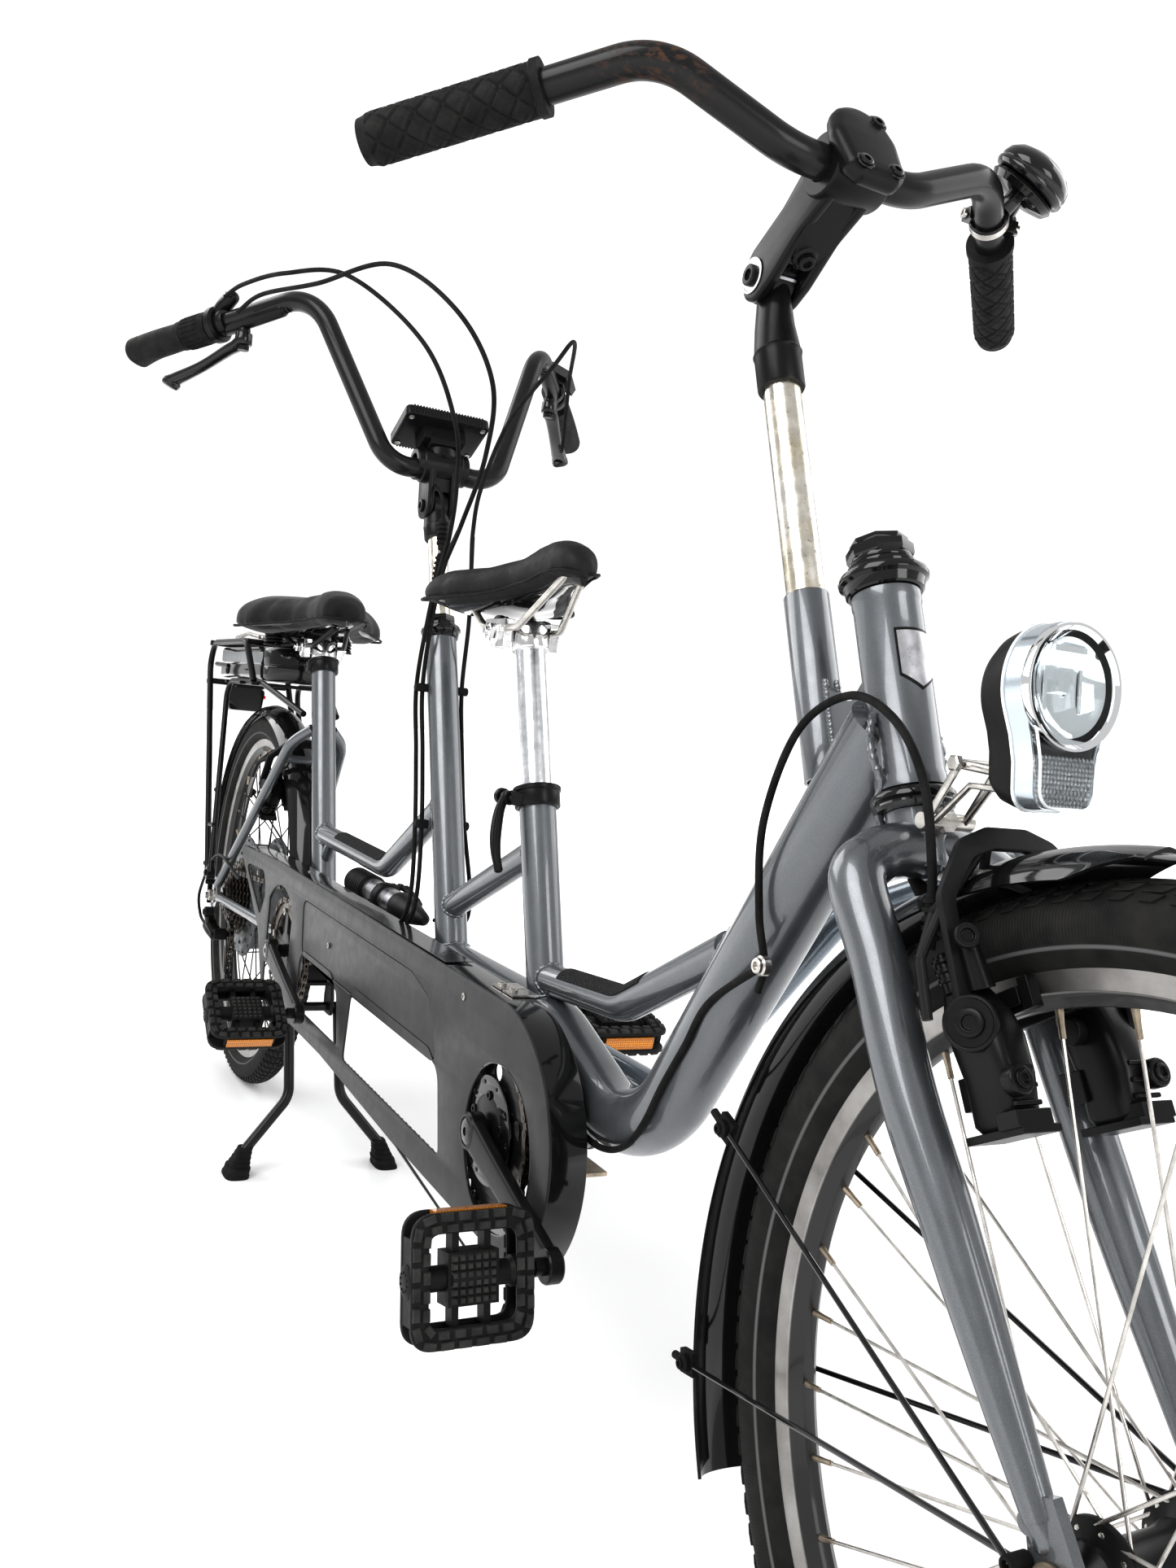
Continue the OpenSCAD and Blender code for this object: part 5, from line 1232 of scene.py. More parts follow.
def build_pedal(name, bb, sign, tilt, node, body):
    """sign 1 is the right pedal, whose crank points ahead."""
    angle = math.radians(-15)
    end = bb + sign * 170 * (X * math.cos(angle) + Z * math.sin(angle))
    side = -sign
    turn = Matrix.Rotation(math.radians(tilt), 3, "Y")
    ax, az = turn @ X, turn @ Z
    out = Y * side
    origin = end + out * 92

    def at(x, z, w):
        """x along the pedal's front, z off its tread, w out from the crank."""
        return origin + ax * x + az * z + out * w

    place = Matrix((ax, out, ax.cross(out))).transposed().to_4x4()
    place.translation = origin
    frame_line = soft([(-45, 0), (45, 0), (45, 92), (-45, 92)], 17, 8)
    hole = soft([(-31, 13), (31, 13), (31, 79), (-31, 79)], 9, 6)
    for k, z in enumerate((-9.4, 9.4)):
        layer = place.copy()
        layer.translation = origin + az * z
        plate(f"{name}_tread_{k}", [frame_line, hole], layer, 4.6, MATTE_BLACK, body, node if k == 0 else (), 1.2, "black_plastic")
    s = Shape()
    s.use(1)
    for face in (-1, 1):
        for lane, (inset, shift) in enumerate(((0.0, 0.0), (7.2, 0.5))):
            lane_line = soft([(-42 + inset, 3.5 + inset), (42 - inset, 3.5 + inset), (42 - inset, 88.5 - inset), (-42 + inset, 88.5 - inset)], 14 - inset * 0.8, 8)
            pts = [vec(x, y, 0) for x, y in lane_line]
            pts.append(pts[0])
            pts = resample(pts, 1.0)
            step = 13 if lane == 0 else 12
            for k in range(int(shift * step), len(pts) - 1, step):
                a, b = pts[k], pts[min(k + step - 3, len(pts) - 1)]
                if (b - a).length < 5:
                    continue
                d = (b - a).normalized()
                n = vec(-d.y, d.x, 0)
                ring = [a + n * 2.9, b + n * 2.9, b - n * 2.9, a - n * 2.9]
                top = [a.lerp(b, 0.08) + n * 2.4, b.lerp(a, 0.08) + n * 2.4, b.lerp(a, 0.08) - n * 2.4, a.lerp(b, 0.08) - n * 2.4]
                s.grid([[at(q.x, face * 11, q.y) for q in ring], [at(q.x, face * 13.6, q.y) for q in top]])
    s.use(0)
    for x in (-40.5, 40.5):
        s.box(at(x, 0, 46), (5, 60, 20), Matrix((ax, out, az)).transposed())
    for w in (3, 89):
        s.box(at(0, 0, w), (58, 5, 18), Matrix((ax, out, az)).transposed())
    barrel = [(0, 0), (9.5, 0), (11, 2), (11, 14), (8.8, 17), (8.8, 30), (13, 32), (13, 62), (8.8, 64), (8.8, 78), (11.5, 80), (11.5, 92), (9, 93.4), (0, 93.8)]
    s.disc(origin, out, barrel, 32)
    s.box(at(0, 0, 46), (36, 38, 21), Matrix((ax, out, az)).transposed())
    for w in (34, 58):
        s.box(at(0, 0, w + 0.0), (64, 5, 12), Matrix((ax, out, az)).transposed())
    s.use(1)
    for face in (-1, 1):
        for i in range(6):
            for j in range(6):
                c = (-14 + 5.6 * i, 31.8 + 5.7 * j)
                base = [at(c[0] + dx * 2.5, face * 10.4, c[1] + dy * 2.5) for dx, dy in ((-1, -1), (1, -1), (1, 1), (-1, 1))]
                tip = [at(c[0] + dx * 1.5, face * 13.2, c[1] + dy * 1.5) for dx, dy in ((-1, -1), (1, -1), (1, 1), (-1, 1))]
                s.grid([base, tip])
    s.use(0)
    for k in range(10):
        a = k * math.tau / 10
        s.box(origin + out * 93.6 + ax * 6.4 * math.cos(a) + az * 6.4 * math.sin(a), (1.4, 1.0, 1.4), Matrix((ax, out, az)).transposed())
    s.make(name + "_body", [MATTE_BLACK, TREAD], body, slot="black_plastic")
    r = Shape()
    for x in (-44.2, 44.2):
        r.box(at(x, 0, 46), (3.4, 54, 12.5), Matrix((ax, out, az)).transposed())
    r.make(name + "_reflectors", ORANGE, body, bevel=0.6, slot="lens")


build_case()
build_crankset("front_crank_arms", FRONT_BB, SATIN_BLACK, "front_crankset", "front_cranks")
build_crankset("rear_crank_arms", REAR_BB, SATIN_BLACK, "rear_crankset", "rear_cranks")
build_rings()
build_chain("sync_chain_links", [(FRONT_BB.x, FRONT_BB.z, ring_radius(34), -1), (REAR_BB.x, REAR_BB.z, ring_radius(34), -1)], -55, "timing_chain")
build_chain("drive_chain_links", [
    (REAR_BB.x, REAR_BB.z, ring_radius(40), -1), (REAR_HUB.x, REAR_HUB.z, ring_radius(20), -1), (GUIDE.x, GUIDE.z, 20, 1),
    (TENSION.x, TENSION.z, 20, -1)], -46, "drive_chain")
build_derailleur()
for label, bb, sign, tilt in (("front_right_pedal", FRONT_BB, 1, 76), ("front_left_pedal", FRONT_BB, -1, 10), ("rear_right_pedal", REAR_BB, 1, 35),
                              ("rear_left_pedal", REAR_BB, -1, 12)):
    build_pedal(label[:-6] + "_platform", bb, sign, tilt, label, label)


# Cockpits -------------------------------------------------------------------

BAR_R = 11.1
FRONT_PIVOT = joint_at("front_stem_tilt")
REAR_PIVOT = joint_at("rear_stem_tilt")
FRONT_CLAMP = FRONT_HUB + vec(-333, 0, 709)
REAR_CLAMP = FRONT_HUB + vec(-1063, 0, 614)


def front_line(s):
    return [FRONT_CLAMP + vec(2, s * 48, 0), FRONT_CLAMP + vec(-22, s * 134, 42), FRONT_CLAMP + vec(-147, s * 272, -8)]


def rear_line(s):
    return [REAR_CLAMP + vec(11, s * 63, -12), REAR_CLAMP + vec(-77, s * 142, 183), REAR_CLAMP + vec(-312, s * 306, 129)]


def bar_end(line, inward):
    """Point that far in from the end of a bar line, and the bar's inward direction there."""
    d = (line[1] - line[2]).normalized()
    return line[2] + d * inward, d


def worn_bar():
    """Black bar paint with a rubbed, rusty patch on the front right bend."""
    f = Finish("front_bar_paint", (0.012, 0.012, 0.013), rough=0.3, coat=0.15, spec=0.28)
    spot = (FRONT_CLAMP + vec(-24, -132, 54)) * MM
    offset = f.node("VectorMath", {0: f.coords, 1: tuple(spot)}, operation="SUBTRACT").outputs[0]
    near = f.node("VectorMath", {0: offset}, operation="LENGTH").outputs["Value"]
    close = f.ramp(near, 0.02, 0.055, 1.0, 0.0)
    flecks = f.ramp(f.noise(240, 8, (1, 0.35, 1)), 0.5, 0.62)
    wear = f.math("MULTIPLY", close, flecks)
    f.put("Base Color", f.mix(wear, (0.012, 0.012, 0.013), (0.07, 0.035, 0.02)))
    f.put("Roughness", f.ramp(wear, 0, 1, 0.28, 0.75))
    return f.bump(f.noise(600, 3), 0.01, 0.4).mat


def handlebar(name, line, clamp, material, body, node, bend_r):
    right, left = line(-1), line(1)
    path = [right[2], right[1], right[0], clamp, left[0], left[1], left[2]]
    s = Shape()
    s.sweep(resample(rounded(path, bend_r, 16), 14), BAR_R, 36)
    s.make(name, material, body, node, slot="black_paint")


def patterned_grip(s, line, length, r, sides=96, steps=130):
    """Rubber sleeve with crossing diagonal grooves."""
    end, d = bar_end(line, 0)
    turn = d.cross(Z).normalized()
    up = d.cross(turn)
    rings = []
    for i in range(steps + 1):
        w = length * i / steps
        ring = []
        for k in range(sides):
            a = k * math.tau / sides
            depth = 0.0
            if 3 < w < length - 7:
                for slant in (-1, 1):
                    f = (w / 19.0 + slant * k * 5 / sides) % 1.0
                    depth = max(depth, 1.3 * max(0.0, 1 - (min(f, 1 - f) / 0.085) ** 2))
                for slant in (-1, 1):
                    f = (w / 19.0 + slant * k * 5 / sides + 0.32) % 1.0
                    depth = max(depth, 0.55 * max(0.0, 1 - (min(f, 1 - f) / 0.05) ** 2))
            rr = r - depth
            if w <= 3:
                rr = r - 0.4 - (1.6 * (1 - w / 3) ** 2)
            if w >= length - 6:
                rr = r + 1.1
            ring.append(end - d * 4 + d * (w + 4 * (w > 0)) + (turn * math.cos(a) + up * math.sin(a)) * rr)
        rings.append(ring)
    s.grid(rings)
    s.disc(end - d * 4.6, d, [(0, 0), (8, 0), (12, 0.5), (14.4, 1.8), (0, 1.9)], 48)


def build_front_cockpit():
    arm = (FRONT_CLAMP - FRONT_PIVOT).normalized()
    across_arm = vec(-arm.z, 0, arm.x)
    length = (FRONT_CLAMP - FRONT_PIVOT).length
    post = Shape()
    low_end, top_end = QUILL_TOP - 71 * UP, QUILL_TOP + 178 * UP
    post.disc(low_end, UP, [(0, 0), (12.6, 0), (12.7, 1), (12.7, (top_end - low_end).length - 2), (0, (top_end - low_end).length - 2)], 64)
    post.make("front_post_tube", WORN_CHROME, "front_post", "front_quill", slot="chrome")
    low_half = Shape()
    low_half.lathe(top_end - 26 * UP, UP, [(12.8, 0), (15.6, 0), (16.2, 1.2), (16.2, 24), (17, 27), (14, 33), (12.8, 33)], 56)
    neck = [top_end + 2 * UP, top_end + 22 * UP, FRONT_PIVOT - 2 * UP]
    low_half.sweep(neck, lambda t: 16.2 - 2.2 * t, 32, oval=lambda t: 1.0 - 0.42 * t)
    low_half.disc(FRONT_PIVOT - 9 * Y, Y, [(0, 0), (15, 0), (17, 1.2), (17, 16.8), (15, 18), (0, 18)], 40)
    for k in range(9):
        a = math.radians(-62 + 13 * k)
        out = arm * math.cos(a) + across_arm * -math.sin(a)
        low_half.use(1).box(FRONT_PIVOT + out * 17.4, (2.2, 15, 2.0), Matrix((out, Y, out.cross(Y))).transposed())
    low_half.make("front_stem_base", [SATIN_BLACK, ALLOY], "front_post", slot="black_metal")
    side = [(-15, -9), (-6, -18), (14, -19), (length * 0.55, -15), (length - 4, -19), (length + 8, -12), (length + 8, 16), (length - 12, 21),
            (length * 0.5, 16), (8, 17), (-12, 12)]
    for k, y in enumerate((-13.2, 13.2)):
        plane = looking(FRONT_PIVOT + y * Y, -Y, arm)
        plate(f"front_stem_cheek_{k}", [soft(side, [12, 14, 14, 30, 12, 8, 8, 16, 30, 14, 12], 6)], plane, 8, SATIN_BLACK, "front_cockpit",
              "front_stem" if k == 0 else (), 2.6, "black_metal")
    s = Shape()
    s.lathe(FRONT_CLAMP - 22 * Y, Y, [(BAR_R + 0.1, 0), (19, 0), (20.4, 2), (20.4, 42), (19, 44), (BAR_R + 0.1, 44)], 48)
    s.box(FRONT_PIVOT + arm * (length * 0.62) - across_arm * 3, (length * 0.5, 30, 26), Matrix((arm, Y, across_arm)).transposed())
    cap = FRONT_CLAMP + arm * 11
    s.disc(FRONT_PIVOT + arm * 34 - across_arm * 13, -across_arm, [(0, 0), (9, 0), (9, 3), (7, 4.6), (0, 4.6)], 28)
    s.bolt(FRONT_PIVOT + arm * 34 - across_arm * 17.4, -across_arm, 5.8, 4)
    s.use(1)
    for side_y in (-1, 1):
        s.disc(FRONT_PIVOT + side_y * 17.3 * Y, side_y * Y, [(0, 0), (12.4, 0), (12.4, 0.9), (10.4, 1.0), (10.2, 0.4), (0, 0.4)], 44)
    s.use(0)
    for side_y in (-1, 1):
        s.bolt(FRONT_PIVOT + side_y * 17.6 * Y, side_y * Y, 7.4, 3.2)
    s.make("front_stem_core", [SATIN_BLACK, ALLOY], "front_cockpit", bevel=1.0, slot="black_metal")
    outline = soft([(-22, -25), (-14, -33), (14, -33), (22, -25), (25, 6), (19, 28), (0, 36), (-19, 28), (-25, 6)], [8, 8, 8, 8, 24, 18, 30, 18, 24], 8)
    face = looking(cap + arm * 6 + across_arm * 0.5, arm, Y)
    plate("front_stem_faceplate", [outline], face, 15, SATIN_BLACK, "front_cockpit", bevel=6.5, slot="black_metal")
    b = Shape()
    for dy, dz in ((13, 23), (-12, -24), (12, -24)):
        at = cap + arm * 12.6 + Y * dy + across_arm * dz
        b.disc(at, arm, [(0, 0), (6.8, 0), (6.8, 0.8), (5.4, 1.0), (5.2, 0.2), (0, 0.2)], 28)
        b.bolt(at, arm, 4.8, 2.6)
    b.make("front_stem_bolts", GLOSS_BLACK, "front_cockpit", slot="black_metal")
    handlebar("front_bar_tube", front_line, FRONT_CLAMP, worn_bar(), "front_cockpit", "front_bar", 58)
    g = Shape()
    for side_y in (-1, 1):
        patterned_grip(g, front_line(side_y), 120, 16.4)
    g.make("front_grip_pair", GRIP_RUBBER, "front_cockpit", "front_grips", slot="rubber")


def build_bell():
    line = front_line(1)
    at, d = bar_end(line, 145)
    s = Shape()
    axis = vec(15, 10, 22).normalized()
    base = at + vec(19, 13, 22)
    s.disc(base, axis, [(0, 0), (24, 0), (28, 1.4), (29.4, 3.4), (29.4, 5.4), (28.4, 7), (29, 9), (27.4, 14), (22, 19), (13, 22.4), (0, 23.6)], 64)
    s.disc(base - axis * 5, -axis, [(0, -5), (25, -4.6), (27, -2), (24, 2.4), (15, 5), (0, 5.4)], 48)
    s.sweep([at + vec(8, 5, 8), base], lambda t: 7 - 1.5 * t, 20)
    s.lathe(at - d * 5, d, [(BAR_R + 0.1, 0), (13.2, 0), (13.8, 1), (13.8, 9), (13.2, 10), (BAR_R + 0.1, 10)], 40)
    out = vec(6, 22, -3).normalized()
    s.box(at + out * 16, (10, 10, 9))
    s.box(at - out * 15, (9, 9, 9))
    lever = base + vec(-24, 10, -12)
    s.sweep([base + vec(-4, 2, -4), lever], 3.4, 14, dome=True)
    s.disc(lever, vec(-1, 0, -0.4), [(0, -2), (6, -2), (7.4, 0), (7.4, 4), (5, 6), (0, 6)], 24)
    s.use(1)
    s.bolt(at + out * 20, out, 4, 4)
    s.bolt(at - out * 19, -out, 3.6, 3)
    s.lathe(at - d * 3, d, [(13.8, 0), (14.3, 0), (14.3, 6), (13.8, 6)], 40)
    s.make("bell_body", [GLOSS_BLACK, STEEL], "front_cockpit", "bell", bevel=0.6, slot="black_paint")


def build_rear_cockpit():
    arm = (REAR_CLAMP - REAR_PIVOT).normalized()
    across_arm = vec(-arm.z, 0, arm.x)
    length = (REAR_CLAMP - REAR_PIVOT).length
    top_end = COLUMN + 137 * UP
    post = Shape()
    post.disc(COLUMN - 58 * UP, UP, [(0, 0), (11.1, 0), (11.1, 193), (0, 193)], 56)
    post.make("rear_post_tube", WORN_CHROME, "rear_post", "rear_quill", slot="chrome")
    base = Shape()
    base.lathe(top_end - 14 * UP, UP, [(11.2, 0), (14.4, 0), (15, 1.2), (15.4, 12), (15.8, 15), (14, 20), (11.2, 20)], 56)
    base.sweep([top_end + 2 * UP, REAR_PIVOT], lambda t: 15.4 - 1.5 * t, 32)
    base.disc(REAR_PIVOT - 9 * Y, Y, [(0, 0), (15, 0), (17, 1.2), (17, 16.8), (15, 18), (0, 18)], 40)
    base.make("rear_stem_base", SATIN_BLACK, "rear_post", slot="black_metal")
    side = [(-14, -12), (0, -19), (length, -19), (length + 10, -10), (length + 10, 14), (length - 6, 20), (0, 18), (-14, 12)]
    for k, y in enumerate((-13.2, 13.2)):
        plate(f"rear_stem_cheek_{k}", [soft(side, 13, 6)], looking(REAR_PIVOT + y * Y, -Y, arm), 8, SATIN_BLACK, "rear_cockpit",
              "rear_stem" if k == 0 else (), 2.6, "black_metal")
    s = Shape()
    s.lathe(REAR_CLAMP - 24 * Y, Y, [(BAR_R + 0.1, 0), (18, 0), (20, 2), (20, 46), (18, 48), (BAR_R + 0.1, 48)], 48)
    s.box(REAR_PIVOT + arm * (length * 0.6), (length * 0.5, 30, 26), Matrix((arm, Y, across_arm)).transposed())
    for dy in (-26, 26):
        s.lathe(REAR_CLAMP + (dy - 5) * Y + vec(0, 0, 0), Y, [(BAR_R + 0.1, 0), (17, 0), (18.4, 1.5), (18.4, 8.5), (17, 10), (BAR_R + 0.1, 10)], 40)
    for side_y in (-1, 1):
        s.bolt(REAR_PIVOT + side_y * 17.2 * Y, side_y * Y, 7.4, 3.2)
    s.disc(REAR_CLAMP + arm * 8 - across_arm * 2, arm, [(0, 0), (17, 0), (19, 3), (17, 12), (10, 15), (0, 15)], 36)
    s.bolt(REAR_CLAMP + arm * 22 - across_arm * 2, arm, 5, 3)
    s.make("rear_stem_core", SATIN_BLACK, "rear_cockpit", bevel=1.0, slot="black_metal")
    handlebar("rear_bar_tube", rear_line, REAR_CLAMP, BAR_BLACK, "rear_cockpit", "rear_bar", 62)


def build_rear_controls():
    g = Shape()
    for side_y, length in ((-1, 92), (1, 130)):
        end, d = bar_end(rear_line(side_y), 0)
        back = (vec(-0.75, side_y * 0.2, -0.25)).normalized()
        back = (back - d * back.dot(d)).normalized()
        turn = d.cross(back)
        rings = []
        for i in range(61):
            t = i / 60
            w = length * t
            paddle = max(0.0, 1 - t * 1.9) ** 1.5
            ring = []
            for k in range(56):
                a = k * math.tau / 56
                r = 15.6 + 1.0 * math.sin(math.pi * t) + 9 * paddle * max(0.0, math.cos(a)) ** 3
                if t < 0.04:
                    r *= 0.86 + 3.5 * t
                if side_y < 0 and t > 0.9:
                    r = 17.2
                if 0.2 < t < 0.86 and k % 2:
                    r -= 0.25
                ring.append(end - d * 4 + d * (w + 4) + (back * math.cos(a) + turn * math.sin(a)) * r)
            rings.append(ring)
        g.grid(rings)
    g.make("rear_grip_pair", GRIP_RUBBER, "rear_cockpit", "rear_grips", slot="rubber")
    end, d = bar_end(rear_line(-1), 94)
    t = Shape()
    side = d.cross(Z).normalized()
    up = d.cross(side)
    rings = []
    for i in range(33):
        w = 40 * i / 32
        ring = []
        for k in range(120):
            a = k * math.tau / 120
            r = 17.6 + (1.3 if (k // 3) % 2 else 0.2) if 3 < w < 30 else 18.6
            ring.append(end + d * w + (side * math.cos(a) + up * math.sin(a)) * r)
        rings.append(ring)
    t.grid(rings)
    t.make("shifter_barrel", RUBBER, "shifter", "twist_shifter", slot="black_plastic")
    h = Shape()
    body_at, _ = bar_end(rear_line(-1), 140)
    h.lathe(body_at - d * 4, d, [(BAR_R + 0.1, 0), (19.4, 0), (21, 2), (21, 9), (18, 12), (BAR_R + 0.1, 12)], 48)
    h.sweep([body_at + vec(2, 0, 8), body_at + vec(8, 5, 22), body_at + d * 20 + vec(10, 0, 26)], lambda s: 11 - 3 * s, 20, dome=True)
    h.use(1).sweep([body_at + vec(-6, -2, 18), body_at + vec(4, 2, 30), body_at + d * 10 + vec(6, 0, 32)], 4.2, 16, dome=True)
    h.make("shifter_housing", [SATIN_BLACK, CHROME], "rear_cockpit", slot="black_metal")


def lever_pin(s):
    end, d = bar_end(rear_line(s), 158)
    return end + vec(22, -s * 16, -22), d


def build_levers():
    for label, s in (("right", -1), ("left", 1)):
        pin, d = lever_pin(s)
        end, _ = bar_end(rear_line(s), 0)
        m = Shape()
        m.lathe(end + d * 146, d, [(BAR_R + 0.1, 0), (14.4, 0), (15.2, 1.2), (15.2, 12.8), (14.4, 14), (BAR_R + 0.1, 14)], 40)
        tube = [end + d * 144 + vec(12, -s * 9, -4), end + d * 172 + vec(21, -s * 13, -3), end + d * 214 + vec(26, -s * 16, -2)]
        m.sweep(tube, lambda t: 9.4 - 1.4 * t, 28, dome=True)
        m.sweep([end + d * 206 + vec(26, -s * 16, -2), end + d * 224 + vec(27, -s * 16, -1)], 5.2, 18)
        for k in range(4):
            m.lathe(end + d * (212 + 5 * k) + vec(26.5, -s * 16, -1.6), d, [(4, 0), (6.6 - 0.5 * k, 0), (6.6 - 0.5 * k, 2.6), (4, 2.6)], 20)
        m.disc(pin - 13 * Z, Z, [(0, 0), (6.4, 0), (7, 1), (7, 5), (0, 5)], 24)
        m.disc(pin + 8 * Z, Z, [(0, 0), (7, 0), (7, 4), (6.4, 5), (0, 5)], 24)
        m.bolt(end + d * 153 + vec(-6, s * 4, 15), Z, 3.6, 3)
        m.make(f"{label}_brake_master", SATIN_BLACK, "rear_cockpit", "brake_cylinders" if s < 0 else (), slot="black_metal")
        b = Shape()
        knee = pin - 40 * d + vec(16, -s * 8, -6)
        out = pin - 128 * d + vec(14, -s * 8, -22)
        path = flowing([pin, pin.lerp(knee, 0.5) + vec(2, -s * 1, -1), knee, knee.lerp(out, 0.5) + vec(3, -s * 2, -1), out, out - d * 4 + vec(4, -s * 2, -2)], 10)
        blade = [(math.copysign(abs(math.cos(q)) ** 0.6, math.cos(q)) * 1.35, math.copysign(abs(math.sin(q)) ** 0.6, math.sin(q)) * 0.72)
                 for q in [k * math.tau / 20 + 0.01 for k in range(20)]]
        b.sweep(path, lambda t: 7.6 - 1.4 * math.sin(math.pi * min(1, t * 1.2)) + (0.6 if t > 0.9 else 0), section=blade, dome=True)
        b.disc(pin - 7 * Z, Z, [(0, 0), (9.4, 0), (10, 1), (10, 13), (9.4, 14), (0, 14)], 28)
        b.make(f"{label}_lever_blade", GLOSS_BLACK, f"{label}_lever", f"{label}_brake_lever", slot="black_metal")
    c = Shape()
    at, d = bar_end(rear_line(1), 172)
    normal = (vec(0.5, 0.1, 0.8) - d * vec(0.5, 0.1, 0.8).dot(d)).normalized()
    turn = Matrix((d, d.cross(normal), normal)).transposed()
    c.lathe(at - d * 5, d, [(BAR_R + 0.1, 0), (15, 0), (15, 10), (BAR_R + 0.1, 10)], 36)
    c.box(at + normal * 22, (52, 30, 11), turn)
    c.box(at + normal * 15, (22, 20, 8), turn)
    c.use(1).box(at + normal * 28, (46, 24, 1.4), turn)
    c.make("left_control_pad", [SATIN_BLACK, GLOSS_BLACK], "rear_cockpit", bevel=1.4, slot="black_plastic")


def build_display():
    tilt = Matrix.Rotation(math.radians(-DISPLAY_TILT), 4, "Y")
    centre = REAR_CLAMP + vec(-8, 0, 36)

    def at(x, y, z):
        return centre + tilt @ vec(x, y, z)
    plane = tilt.copy()
    plane.translation = at(0, 0, 7)
    outline = soft([(-32, -50), (32, -50), (32, 50), (-32, 50)], 7, 6)
    plate("display_case", [outline], plane, 12, SATIN_BLACK, "rear_cockpit", "display", 1.6, "black_plastic")
    turn = tilt.to_3x3()
    s = Shape()
    for k in range(24):
        for x in (-31.6, 31.6):
            s.box(at(x, -41 + 3.56 * k, 7), (2.2, 1.8, 12.6), turn)
    s.box(at(0, 0, -6), (30, 50, 16), turn)
    s.box(at(4, 0, -14), (22, 34, 14), turn)
    s.make("display_ribs", MATTE_BLACK, "rear_cockpit", bevel=0.5, slot="black_plastic")
    g = Shape()
    g.box(at(0, 0, 13.4), (50, 84, 0.8), turn)
    g.make("display_glass", GLOSS_BLACK, "rear_cockpit", bevel=0.3, slot="gloss_plastic")
    b = Shape()
    down = turn @ vec(0, 0, -1)
    for x in (-25, 25):
        for y in (-43, 43):
            b.bolt(at(x, y, 1.0), down, 3.2, 1.2)
    b.make("display_screws", STEEL, "rear_cockpit", slot="steel")


def build_rear_steerer():
    s = Shape()
    s.disc(COLUMN - 424 * UP, UP, [(0, 0), (12.7, 0), (12.7, 438), (0, 438)], 48)
    s.sweep([COLUMN - 418 * UP, COLUMN - 418 * UP + 70 * Y], lambda t: 9.5 - 1.5 * t, 28)
    s.disc(COLUMN - 427 * UP + 70 * Y, UP, [(0, 0), (9, 0), (10, 1), (10, 17), (9, 18), (0, 18)], 28)
    s.make("rear_steerer_arm", PAINT, "rear_steering_column", "rear_steerer", slot="frame_paint")


DISPLAY_TILT = 26
build_front_cockpit()
build_bell()
build_rear_cockpit()
build_rear_controls()
build_levers()
build_display()
build_rear_steerer()


# Headlight --------------------------------------------------------------------

LIGHT = FRONT_HUB + vec(-133, 0, 365)


def light_outline(grow=0.0):
    """Front outline of the lamp, as (sideways, up): a round head on a tapering foot."""
    head = arc(0, 16, 35 + grow, -24, 204, 36)
    left = [(-27 - grow, -10), (-23.5 - grow, -24)] + arc(-12, -38, 11 + grow, 180, 270, 6)
    right = arc(12, -38, 11 + grow, 270, 360, 6) + [(23.5 + grow, -24), (27 + grow, -10)]
    return head + left + right


